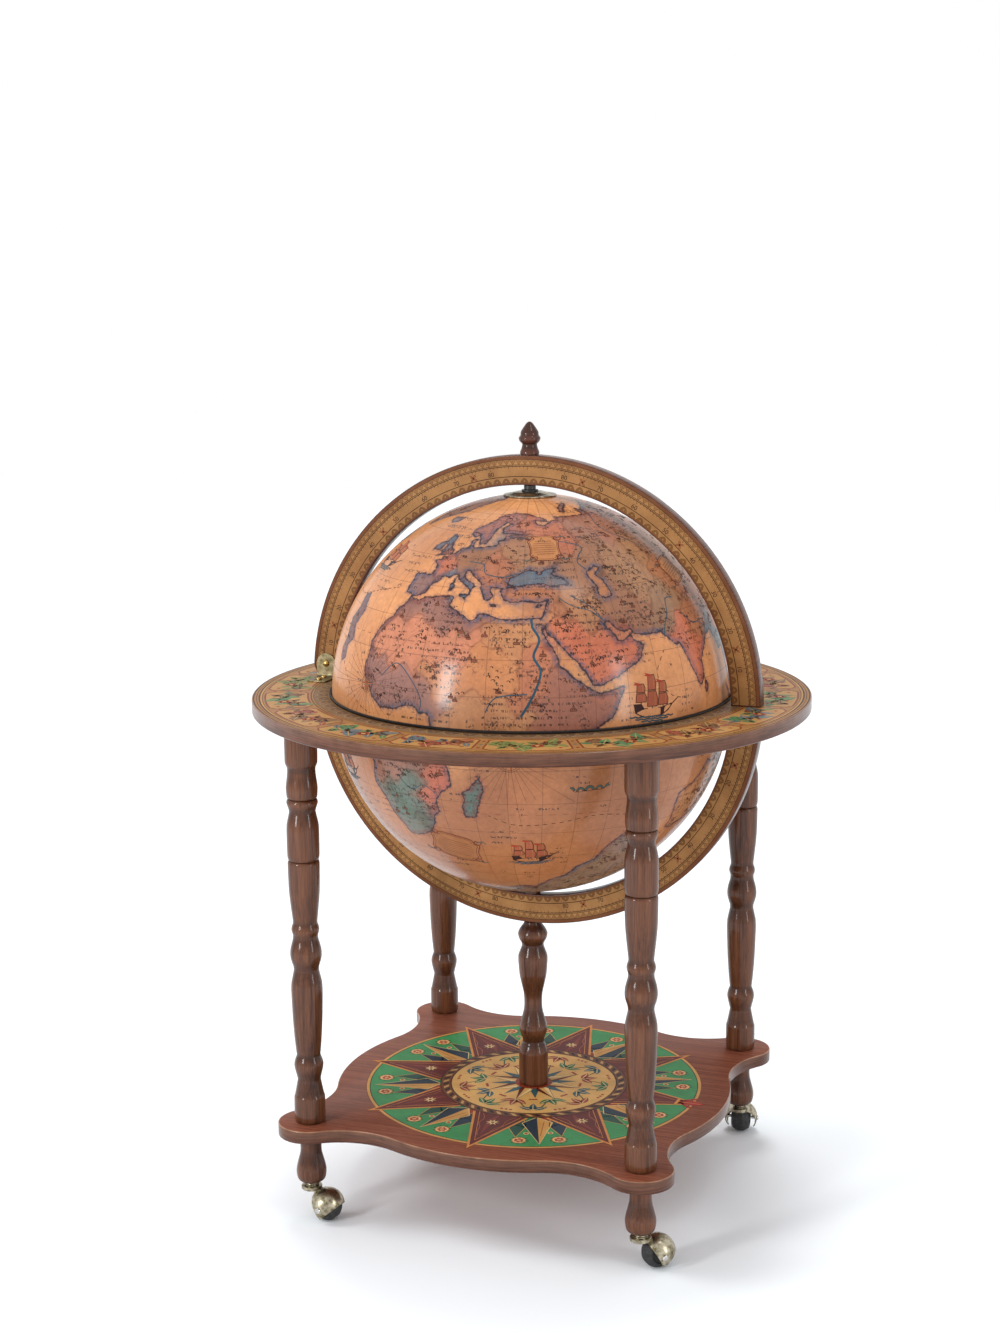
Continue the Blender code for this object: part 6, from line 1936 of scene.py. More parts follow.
@dataclass
class GlobeInk(Sheet):
    """Ink on one half of the globe; each motif is drawn in mm about its own map longitude and latitude."""

    lift: float = 0.06
    ink: str = "#38221F"
    water: str = "#34505F"
    red: str = "#7A3B2A"
    course: str = "#4A2620"
    panel: str = "#B67C52"

    def position(self, across: float, up: float) -> Point:
        """The map's longitude and latitude for an offset from the motif's centre.

        Args:
            across: How far east, in mm over the sphere.
            up: How far north.

        Returns:
            The place in degrees.
        """
        reach = math.hypot(across, up) / GLOBE_RADIUS
        bearing = math.atan2(across, up)
        start = math.radians(self.centre[1])
        rise = math.sin(start) * math.cos(reach) + math.cos(start) * math.sin(reach) * math.cos(bearing)
        side = math.sin(bearing) * math.sin(reach) * math.cos(start)
        turned = math.atan2(side, math.cos(reach) - math.sin(start) * rise)
        return (self.centre[0] + math.degrees(turned), math.degrees(math.asin(rise)))

    def track(self, points: Sequence[Point], width: float, ink: str, dash: int = 0) -> None:
        """Draws a line through map (longitude, latitude) points.

        Args:
            points: The line's points in degrees, close together.
            width: Its width in mm.
            ink: The colour in hex.
            dash: How many steps one dash and one gap are long; 0 draws a whole line.
        """
        per_mm = 180 / math.pi / GLOBE_RADIUS
        sides = []
        for index, point in enumerate(points):
            before = points[max(index - 1, 0)]
            after = points[min(index + 1, len(points) - 1)]
            squeeze = math.cos(math.radians(point[1])) or 1.0
            along = ((after[0] - before[0]) * squeeze, after[1] - before[1])
            share = width / 2 * per_mm / (math.hypot(*along) or 1.0)
            side = (-along[1] * share / squeeze, along[0] * share)
            sides.append(((point[0] + side[0], point[1] + side[1]), (point[0] - side[0], point[1] - side[1])))
        for index, (near, far) in enumerate(zip(sides, sides[1:])):
            if not dash or index // dash % 2 == 0:
                self.shapes.append(([near[1], far[1], far[0], near[0]], ink, 1))

    def hill(self, size: float) -> None:
        """Draws an engraver's molehill with its shaded side.

        Args:
            size: Half its width in mm.
        """
        self.line(arc(size, 160, 20, 5), 0.6, self.ink, 2)
        for step in range(3):
            start = polar(size * 0.95, 62 - 18 * step)
            self.line([start, (start[0] - size * 0.1, start[1] - size * 0.6)], 0.5, self.ink, 2)

    def tree(self, size: float) -> None:
        """Draws a small round tree with its shadow."""
        self.disc(size * 0.5, "#5A5038", 2, (0.0, size), 7)
        self.line([(0.0, 0.0), (0.0, size * 0.7)], 0.6, self.ink, 3)
        self.line([(0.0, 0.0), (size, 0.0)], 0.5, self.ink, 2)

    def town(self, size: float) -> None:
        """Draws a town as a tower between two gables.

        Args:
            size: The height of one gable in mm.
        """
        outline = (
            (-1.3, 0), (-1.3, 0.7), (-0.9, 1.2), (-0.5, 0.7), (-0.3, 0.7), (-0.3, 1.9), (0, 2.5),
            (0.3, 1.9), (0.3, 0.6), (0.8, 1.1), (1.2, 0.6), (1.2, 0),
        )
        self.outlined([(x * size, y * size) for x, y in outline], "#8A5440", 2, 0.5, self.ink)

    def ship(self, sail: str) -> None:
        """Draws a three-masted ship under sail, 34 mm long, with the sea about its hull.

        Args:
            sail: The sails' colour in hex.
        """
        hull = (
            (-14, 4), (-13, -1), (-9, -3), (6, -3), (11, -0.5), (15, 3.5), (10, 2.4), (6, 1.4), (-7, 1.2),
            (-9, 4),
        )
        self.outlined(hull, "#3A2626", 2, 0.45, self.ink)
        self.line([(15, 3.5), (19.5, 6.5)], 0.6, self.ink, 3)
        for x, foot, top in ((-9, 4, 16), (-1, 1.2, 21), (7, 1.8, 17)):
            self.line([(x, foot), (x, top)], 0.5, self.ink, 3)
            pennant = ((0, 0), (-4.6, 1.2), (-3.4, 0.2), (-4.8, -0.6), (0, -1.2))
            self.fill([(x + aside, top + rise) for aside, rise in pennant], "#A5402F", 6)
            tall = (top - foot - 2) / 2
            for course in range(2):
                low = foot + 1.2 + course * (tall + 0.6)
                wide = 3.6 - 0.8 * course
                belly = [
                    (x - wide, low), (x - wide * 0.8, low + tall), (x + wide * 0.8, low + tall),
                    (x + wide * 1.15, low + tall * 0.5), (x + wide, low),
                ]
                self.outlined(belly, sail, 4, 0.4, self.ink)
                fold = [(x + wide * 0.5, low + 0.4), (x + wide * 0.6, low + tall - 0.4)]
                self.line(fold, 0.35, "#A87A50", 5)
        for row in range(3):
            y = -3.6 - 1.3 * row
            reach = 17 - 4 * row
            wave = [(x, y + 0.35 * math.sin(x * 1.3 + row)) for x in range(-reach, reach, 2)]
            self.line(wave, 0.9, "#3F5058", 2)

    def wind_rose(self, radius: float, rays: float) -> None:
        """Draws a rose of winds and the sailing lines that run out from it.

        Args:
            radius: The rose's radius in mm.
            rays: How far the longest lines run from its middle, in mm.
        """
        for ray in range(32):
            far = rays * (1.0 if ray % 4 == 0 else 0.62)
            steps = max(2, round(far / 8))
            points = [polar(radius + (far - radius) * step / steps, 11.25 * ray) for step in range(steps + 1)]
            self.line(points, 0.35, "#6A4030", 1)
        for ring, ink in ((1.0, self.ink), (0.86, self.ink), (0.5, "#8C3A2C")):
            self.line(arc(radius * ring, 0, 348.75, 31), 0.4, ink, 3, closed=True)
        turns = sorted(range(16), key=lambda point: -(point % 2) * 2 - (point % 4 == 2))
        for point in turns:
            reach = radius * (1.3 if point % 4 == 0 else 1.0 if point % 2 == 0 else 0.7)
            for side, ink in ((1, self.ink), (-1, "#C26A3C" if point % 2 == 0 else "#6E8A80")):
                waist = polar(radius * 0.24, 22.5 * point + side * 20)
                self.fill([(0.0, 0.0), polar(reach, 22.5 * point), waist], ink, 4 + (point % 2 == 0))

    def cartouche(self, width: float, height: float) -> None:
        """Draws an empty title panel: a scrolled frame with ribbons, and no words in it.

        Args:
            width: The panel's width in mm.
            height: Its height in mm.
        """
        outline = []
        for turn in np.linspace(0, math.tau, 40, endpoint=False):
            across, upward = math.cos(turn), math.sin(turn)
            bulge = math.copysign(abs(across) ** 0.55, across) * (1 - 0.12 * math.cos(4 * turn) ** 2)
            crest = math.copysign(abs(upward) ** 0.6, upward) * (1 - 0.10 * math.sin(2 * turn) ** 8)
            outline.append((width / 2 * bulge, height / 2 * crest))
        shares = (0.01, 0.2, 0.4, 0.6, 0.8, 0.9, 1.0)
        rings = [[(x * share, y * share) for x, y in outline] for share in shares]
        for within, around in zip(rings, rings[1:]):
            for step in range(40):
                corners = [within[step - 1], around[step - 1], around[step], within[step]]
                self.fill(corners, self.panel, 3)
        self.line(rings[-1], 1.0, "#6A2F2A", 4, closed=True)
        self.line(rings[-2], 0.5, self.ink, 4, closed=True)
        for side in (-1, 1):
            for rise in (-1, 1):
                centre = (side * width * 0.42, rise * height * 0.40)
                curl = [polar(0.6 + 0.42 * step, rise * side * (30 * step), centre) for step in range(14)]
                self.line(curl, 0.8, "#6A2F2A", 5)
                ends = ((0, 0), (7, 3), (12, 0))
                tip = [(centre[0] + side * out, centre[1] + rise * up) for out, up in ends]
                self.line(flowing(tip, 2.0), 1.2, "#4A5A58", 5)
        for row in range(-3, 4):
            reach = width * 0.36 * math.sqrt(1 - (row / 4.4) ** 2)
            steps = max(2, round(reach / 3))
            points = [(-reach + 2 * reach * step / steps, row * height * 0.085) for step in range(steps + 1)]
            self.line(points, 0.6, "#6A4434", 5)

    def serpent(self) -> None:
        """Draws a sea serpent in three coils above the water."""
        body = "#4E6660"
        for coil, (start, size) in enumerate(((-13.0, 4.6), (-3.0, 5.4), (8.0, 4.2))):
            hoop = [*arc(size, 180, 0, 9, (start, 0)), *arc(size * 0.52, 0, 180, 9, (start, 0))]
            self.outlined(hoop, body, 3, 0.4, self.ink)
            wave = [(start - size - 2, -0.6), (start, -1.1), (start + size + 2, -0.5)]
            self.line(wave, 0.35, self.ink, 2 + coil)
        head = ((-18.5, 2), (-21, 5.5), (-24.5, 5), (-23.5, 3.6), (-21.6, 2.6), (-20.5, 0))
        tail = ((13, 0), (16, 4), (19.5, 6.2), (18, 3.4), (20.4, 2.2), (16.4, 1.4))
        for end in (head, tail):
            self.outlined(end, body, 3, 0.4, self.ink)


@dataclass(frozen=True)
class Motif:
    """A motif on the map: how it is drawn, about which map point, how it is turned and how large."""

    draw: Callable[..., None]
    centre: Point
    turn: float = 0.0
    size: float = 1.0
    choices: tuple[str | float, ...] = ()


UPPER_MOTIFS = (
    Motif(GlobeInk.ship, (57.5, 4.5), -3.0, 2.0, ("#A45A42",)),
    Motif(GlobeInk.wind_rose, (-30.0, 10.0), 4.0, 1.0, (11.0, 92.0)),
    Motif(GlobeInk.ship, (-52.0, 44.0), 0.0, 1.7, ("#AC664A",)),
    Motif(GlobeInk.wind_rose, (172.0, 30.0), 0.0, 1.0, (13.0, 100.0)),
    Motif(GlobeInk.serpent, (150.0, 14.0)),
    Motif(GlobeInk.cartouche, (-146.0, 38.0), 0.0, 1.0, (62.0, 40.0)),
    Motif(GlobeInk.cartouche, (29.0, 54.5), 2.0, 1.0, (38.0, 42.0)),
    Motif(GlobeInk.cartouche, (88.0, 42.0), 14.0, 1.0, (40.0, 38.0)),
)
LOWER_MOTIFS = (
    Motif(GlobeInk.ship, (67.0, -41.0), 5.0, 1.7, ("#A45A42",)),
    Motif(GlobeInk.wind_rose, (61.0, -6.5), 7.0, 1.0, (16.0, 96.0)),
    Motif(GlobeInk.cartouche, (39.5, -37.5), -14.0, 1.0, (66.0, 46.0)),
    Motif(GlobeInk.serpent, (84.0, -16.0), 4.0, 1.1),
    Motif(GlobeInk.wind_rose, (-20.0, -30.0), 0.0, 1.0, (14.0, 110.0)),
    Motif(GlobeInk.ship, (-2.0, -18.0), 0.0, 1.8, ("#AC664A",)),
    Motif(GlobeInk.cartouche, (-110.0, -30.0), 0.0, 1.0, (64.0, 42.0)),
    Motif(GlobeInk.serpent, (-140.0, -14.0)),
    Motif(GlobeInk.ship, (165.0, -22.0), 0.0, 1.7, ("#A45A42",)),
)

# The dashed courses that the ships have sailed, as map (longitude, latitude) points
UPPER_COURSES = (
    ((-50, 16), (-42, 10), (-34, 4), (-28, 2)),
    ((-70, 36), (-55, 33), (-40, 36), (-30, 38)),
    ((64, 20), (60, 14), (64, 8), (71, 6)),
)
LOWER_COURSES = (
    ((54, -24), (62, -27), (74, -26.5), (86, -24.5), (97, -25.5)),
    ((48, -34), (36, -46), (20, -44), (8, -36), (2, -22)),
    ((-40, -30), (-56, -50), (-80, -50), (-90, -34), (-100, -14)),
)


@dataclass(frozen=True)
class Half:
    """One half of the globe: where it rides, how far its map is turned, and what is on the map."""

    name: str
    node: str
    body: str
    twist: float
    low: float
    high: float
    washes: tuple[Wash, ...]
    motifs: tuple[Motif, ...]
    courses: tuple[tuple[Point, ...], ...]
    panel: str

    def real_to_map(self, longitudes: np.ndarray) -> np.ndarray:
        """Shifts real longitudes to where the old mapmaker drew them.

        Args:
            longitudes: The real ones in degrees.

        Returns:
            The map's own.
        """
        if self.high <= 0:
            return longitudes + SOUTHERN_SHIFT
        known, shifts = zip(*OLD_LONGITUDES)
        return longitudes + np.interp(longitudes, known, shifts)

    def drawn(self, points: Sequence[Point]) -> np.ndarray:
        """Real (longitude, latitude) points as the map has them."""
        table = np.array(points, dtype=float)
        table[:, 0] = self.real_to_map(table[:, 0])
        return table

    def holds(self, latitude: float, clear: float = 0.4) -> bool:
        """Whether a latitude lies on this half and clear of its rim, by some degrees."""
        return self.low + clear < latitude < self.high - clear

    def place(self, longitude: float, latitude: float, lift: float) -> Vector:
        """Puts a point of the map on the globe.

        Args:
            longitude: The map's longitude in degrees.
            latitude: The latitude.
            lift: How far over the paper, in mm.

        Returns:
            The point in metres.
        """
        azimuth = math.radians(longitude - self.twist)
        rise = math.radians(latitude)
        around = (math.cos(azimuth) * math.cos(rise), math.sin(azimuth) * math.cos(rise), math.sin(rise))
        over_paper = 0.04
        point = Vector(around) * (GLOBE_RADIUS + over_paper + lift)
        return (point + Vector((0.0, 0.0, GLOBE_HEIGHT))) * MM

    def segments(self) -> tuple[np.ndarray, np.ndarray]:
        """Every piece of coast as its start and its run, in degrees.

        Returns:
            The starts and the runs, one row each.
        """
        starts = []
        runs = []
        for coast in SHORES.values():
            points = self.drawn(coast)
            run = np.roll(points, -1, axis=0) - points
            whole = np.abs(run[:, 0]) < 180
            starts.append(points[whole])
            runs.append(run[whole])
        return np.vstack(starts), np.vstack(runs)


@dataclass
class Globe:
    """Both halves of the globe as 5 mm shells with the map outside and lining paper inside, in mm."""

    inside: float = 245.0
    hole: float = 4.3
    columns: int = 512
    rows: int = 171
    inner_rows: int = 48
    lid_foot: float = 2.3
    hills: int = 420
    land_blend: float = 5.0
    sea_blend: float = 14.0
    halves: tuple[Half, ...] = ()

    def __post_init__(self) -> None:
        """Sets up the two halves."""
        foot = math.degrees(math.asin(self.lid_foot / GLOBE_RADIUS))
        pole = math.degrees(math.acos(self.hole / GLOBE_RADIUS))
        above = (91.7, foot, pole, UPPER_WASHES, UPPER_MOTIFS, UPPER_COURSES, "#B67C52")
        # The lower half's panels are a darker tan than the upper's, as painted shade where less light falls
        below = (136.2, -pole, 0.0, LOWER_WASHES, LOWER_MOTIFS, LOWER_COURSES, "#9C6643")
        self.halves = (
            Half("above", "upper_hemisphere", "upper_globe", *above),
            Half("below", "lower_hemisphere", "stand", *below),
        )

    def build(self) -> None:
        """Makes both halves and the ink that stands proud on them."""
        for half in self.halves:
            seat = Seat(half.body, "map_paper", (half.node,))
            paper = MapPaper(twist=half.twist)
            seat.take(f"globe_{half.name}", self.shell(half), paper, StainedEdge(), LiningPaper())
            seat.take(f"globe_ink_{half.name}", self.engraved(half), PrintedSheet())

    def latitudes(self, half: Half) -> np.ndarray:
        """The latitude of each outer row, going up."""
        return np.linspace(half.low, half.high, self.rows)

    def shell(self, half: Half) -> Mesh:
        """Makes one half as a closed shell.

        Args:
            half: Which half it is.

        Returns:
            The mesh, with its map fields.
        """
        outer = self.latitudes(half)
        pole = math.degrees(math.acos(self.hole / self.inside))
        foot = math.degrees(math.asin(self.lid_foot / self.inside))
        inner = np.linspace(*((pole, foot) if half.high > 0 else (0.0, -pole)), self.inner_rows)
        profile = [
            (GLOBE_HEIGHT + radius * math.sin(math.radians(row)), radius * math.cos(math.radians(row)))
            for radius, rows in ((GLOBE_RADIUS, outer), (self.inside, inner))
            for row in rows
        ]
        mesh = lathe(f"globe_{half.name}", profile, self.columns, loop=True)
        rim, lining = 1, 2
        kinds = [0] * (self.rows - 1) + [rim] + [lining] * (self.inner_rows - 1) + [rim]
        mesh.polygons.foreach_set("material_index", np.repeat(kinds, self.columns).astype(np.int32))
        self.chart(mesh, half)
        return mesh

    def chart(self, mesh: Mesh, half: Half) -> None:
        """Gives each outer point its distance to the coast, its washes with the painted shade on the lower
        half's sea, and its borders.

        Args:
            mesh: The half's mesh, outer rows first.
            half: Which half it is.
        """
        longitudes = np.degrees(np.linspace(0.0, math.tau, self.columns, endpoint=False)) + half.twist
        points = len(mesh.vertices)
        shore = np.zeros(points)
        no_border_near = 50.0
        border = np.full(points, no_border_near)
        land = np.ones((points, 4))
        sea = np.ones((points, 4))
        segments = half.segments()
        for row, latitude in enumerate(self.latitudes(half)):
            here = slice(row * self.columns, (row + 1) * self.columns)
            shore[here] = self.shore(longitudes, np.full(self.columns, latitude), segments)
            land[here], border[here] = self.washed(longitudes, latitude, half.washes, self.land_blend)
            sea[here], _ = self.washed(longitudes, latitude, SEA_WASHES_AND_SHADE, self.sea_blend)
        for name, values in (("shore", shore), ("border", border), ("land_wash", land), ("sea_wash", sea)):
            valued(mesh, name, values)

    def shore(
        self, longitudes: np.ndarray, latitudes: np.ndarray, segments: tuple[np.ndarray, np.ndarray]
    ) -> np.ndarray:
        """Distance to the nearest coast, more than 0 on land.

        Args:
            longitudes: The points' map longitudes.
            latitudes: Their latitudes.
            segments: The coasts' starts and runs in degrees.

        Returns:
            The distance of each point in mm.
        """
        starts, runs = segments
        degree = math.radians(1) * GLOBE_RADIUS
        squeeze = np.cos(np.radians(latitudes))[:, None] * degree
        east = (starts[None, :, 0] - longitudes[:, None] + 180) % 360 - 180
        north = starts[None, :, 1] - latitudes[:, None]
        crossed = (east <= 0) != (east + runs[:, 0] <= 0)
        share = np.divide(-east, runs[:, 0], out=np.zeros_like(east), where=runs[:, 0] != 0)
        above = crossed & (north + share * runs[:, 1] > 0)
        inside = above.sum(axis=1) % 2 == 1
        x, y = east * squeeze, north * degree
        run_x, run_y = runs[:, 0] * squeeze, runs[:, 1] * degree
        nearest = np.clip(-(x * run_x + y * run_y) / (run_x**2 + run_y**2 + 1e-9), 0.0, 1.0)
        distance = np.hypot(x + nearest * run_x, y + nearest * run_y).min(axis=1)
        return np.where(inside, distance, -distance)

    def washed(
        self, longitudes: np.ndarray, latitude: float, washes: Sequence[Wash], blend: float
    ) -> tuple[np.ndarray, np.ndarray]:
        """Lays washes along one latitude, each about its own seeds.

        Args:
            longitudes: The points' map longitudes.
            latitude: Their latitude.
            washes: The washes.
            blend: How far in mm two washes run into each other.

        Returns:
            The colours, and the distance in mm to the border between washes.
        """
        degree = math.radians(1) * GLOBE_RADIUS
        # The borders sway some 2 degrees either way, as a loaded brush does
        swayed = longitudes + 2.4 * math.sin(latitude * 0.31 + 1) + 1.1 * math.sin(latitude * 0.9)
        raised = latitude + 2.0 * np.sin(longitudes * 0.27) + 0.9 * np.sin(longitudes * 0.83 + 2)
        away = np.empty((len(washes), len(longitudes)))
        for number, wash in enumerate(washes):
            distances = []
            for place_lon, place_lat in wash.seeds:
                east = (swayed - place_lon + 180) % 360 - 180
                middle = np.cos(np.radians((raised + place_lat) / 2))
                distances.append(np.hypot(east * middle, raised - place_lat) * degree)
            away[number] = np.min(distances, axis=0)
        ranked = np.sort(away, axis=0)
        weights = np.exp(-(away - ranked[0]) / blend)
        colours = np.array([linear(wash.colour) for wash in washes])
        return weights.T @ colours / weights.sum(axis=0)[:, None], (ranked[1] - ranked[0]) / 2

    def engraved(self, half: Half) -> Mesh:
        """Draws the rivers, hills, towns, ships and other ink on one half.

        Args:
            half: Which half it is.

        Returns:
            The ink's mesh, in place on the sphere.
        """
        ink = GlobeInk(panel=half.panel)
        for river in RIVERS:
            bends = [tuple(point) for point in half.drawn(river.points)]
            inside = [point for point in bends if half.holds(point[1], clear=0.5)]
            if len(inside) > 1:
                ink.track(flowing(inside, 1.0), river.width * 0.62, ink.water)
        for tropic in (23.5, 66.5):
            level = tropic if half.high > 0 else -tropic
            ink.track([(degree, level) for degree in range(-180, 181)], 0.5, ink.red, dash=2)
        self.scatter(ink, half)
        for motif in half.motifs:
            ink.move_to(motif.centre, motif.turn, motif.size)
            motif.draw(ink, *motif.choices)
        for course in half.courses:
            ink.track(flowing(course, 0.6), 0.9, ink.course, dash=2)
        ink.shapes = [shape for shape in ink.shapes if all(half.holds(point[1]) for point in shape[0])]
        return ink.mesh(f"ink_{half.name}", half.place)

    def scatter(self, ink: GlobeInk, half: Half) -> None:
        """Strews hills, trees and towns over the land, away from the coasts.

        Args:
            ink: The half's ink.
            half: Which half it is.
        """
        chance = random.Random(half.name)
        segments = half.segments()
        room = 5.0
        margin = 4.0
        left = self.hills
        while left:
            longitude = chance.uniform(-180, 180)
            latitude = math.degrees(math.asin(chance.uniform(-1, 1)))
            size = chance.uniform(2.2, 3.8)
            kind = chance.choice((ink.hill, ink.hill, ink.hill, ink.tree, ink.town))
            if not half.low + margin < latitude < half.high - 2 * margin:
                continue
            spot = self.shore(np.array([longitude]), np.array([latitude]), segments)[0]
            if spot < room:
                continue
            left -= 1
            ink.move_to((longitude, latitude))
            kind(size * 0.8)
            for _ in range(chance.randrange(1, 4) if kind == ink.hill else 0):
                ink.move_to((longitude + chance.uniform(-1.8, 1.8), latitude + chance.uniform(-1.1, 1.1)))
                kind(size * 0.7)




def turned_to_y(mesh: Mesh) -> Mesh:
    """Lays a lathed mesh over, so that its axis runs along Y, and gives it back."""
    mesh.transform(Matrix.Rotation(-math.pi / 2, 4, "X"))
    return mesh


def plate(name: str, rim: Sequence[Point], holes: Sequence[tuple[Point, float]], arris: float) -> Mesh:
    """Cuts a flat round board with round holes and eased edges.

    Args:
        name: The mesh's name.
        rim: The board's (height, radius) at its underside and at its top, in mm.
        holes: Each hole's centre and radius in mm.
        arris: How much the edges are eased, in mm.

    Returns:
        The mesh.
    """
    (low, low_radius), (high, high_radius) = rim
    loops = [((0.0, 0.0), low_radius, high_radius, 1, 192)]
    loops += [(centre, radius, radius, -1, 72) for centre, radius in holes]
    shape = bmesh.new()
    caps = {level: ([], []) for level in (low, high)}
    for centre, below, above, side, steps in loops:
        rows = []
        for level, radius in (
            (low, below - side * arris),
            (low + arris, below),
            (high - arris, above),
            (high, above - side * arris),
        ):
            ring = arc(radius, 0, 360 - 360 / steps, steps - 1, centre)
            rows.append([shape.verts.new(Vector((x, y, level)) * MM) for x, y in ring])
        for row, upper in zip(rows, rows[1:]):
            for start in range(steps):
                after = (start + 1) % steps
                face = [row[start], row[after], upper[after], upper[start]]
                shape.faces.new(face if side > 0 else face[::-1])
        for level, row in ((low, rows[0]), (high, rows[-1])):
            corners, outlines = caps[level]
            outlines.append(range(len(corners), len(corners) + steps))
            corners += row
    for level, (corners, outlines) in caps.items():
        flat = [Vector(corner.co.xy) for corner in corners]
        inside_with_holes = 2
        cut = delaunay_2d_cdt(flat, [], [list(outline) for outline in outlines], inside_with_holes, 1e-7)
        for face in cut[2]:
            ends = [corners[cut[3][index][0]] for index in face]
            shape.faces.new(ends if level == high else ends[::-1])
    return baked(name, shape)


@dataclass
class BottleRack:
    """The plywood tray and the floor below it inside the globe, in mm."""

    tray_top: float = 616.0
    tray_thickness: float = 12.0
    well: float = 95.0
    glass_hole: float = 31.0
    glass_ring: float = 168.0
    glasses: int = 6
    floor_top: float = 468.0
    floor_thickness: float = 10.0
    bowl: float = 244.7

    def at(self, height: float) -> Point:
        """A board's (height, radius) where it meets the bowl."""
        return (height, math.sqrt(self.bowl**2 - (GLOBE_HEIGHT - height) ** 2))

    def build(self) -> None:
        """Cuts both boards and sets them in the lower half."""
        glasses = [
            (polar(self.glass_ring, 360 * number / self.glasses), self.glass_hole)
            for number in range(self.glasses)
        ]
        tray_holes = [((0.0, 0.0), self.well), *glasses]
        for name, top, thickness, holes, arris in (
            ("tray", self.tray_top, self.tray_thickness, tray_holes, 1.2),
            ("floor", self.floor_top, self.floor_thickness, [], 1.0),
        ):
            board = plate(name, (self.at(top - thickness), self.at(top)), holes, arris)
            Seat("stand", "pale_wood", (f"bottle_{name}",)).take(f"rack_{name}", board, TrayPlywood())


def hex_nut(node: str, radius: float, bore: float, axis: int) -> Mesh:
    """Makes a hexagonal nut with chamfered corners in place of a CAD node, standing on the origin.

    Args:
        node: The CAD node, whose height and turn the nut takes on.
        radius: From its axis to a corner, in mm.
        bore: The bore's radius in mm.
        axis: Which of x, y and z it stands along in the CAD.

    Returns:
        The mesh, with its axis along Z.
    """
    low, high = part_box(node)
    size = (high - low) / MM
    height = size[axis]
    turn = 0.0 if size.x > size[3 - axis] else 30.0
    chamfered = radius * 0.9
    profile = (
        (0, chamfered), (height * 0.12, radius), (height * 0.88, radius), (height, chamfered),
        (height, bore), (0, bore),
    )
    mesh = lathe(node, profile, 72, loop=True)
    flat = radius * math.cos(math.radians(30))
    for vertex in mesh.vertices:
        across = math.hypot(vertex.co.x, vertex.co.y)
        angle = math.degrees(math.atan2(vertex.co.y, vertex.co.x)) - turn
        edge = flat / math.cos(math.radians(angle % 60 - 30)) * MM
        if across > edge:
            vertex.co.xy *= edge / across
    return mesh


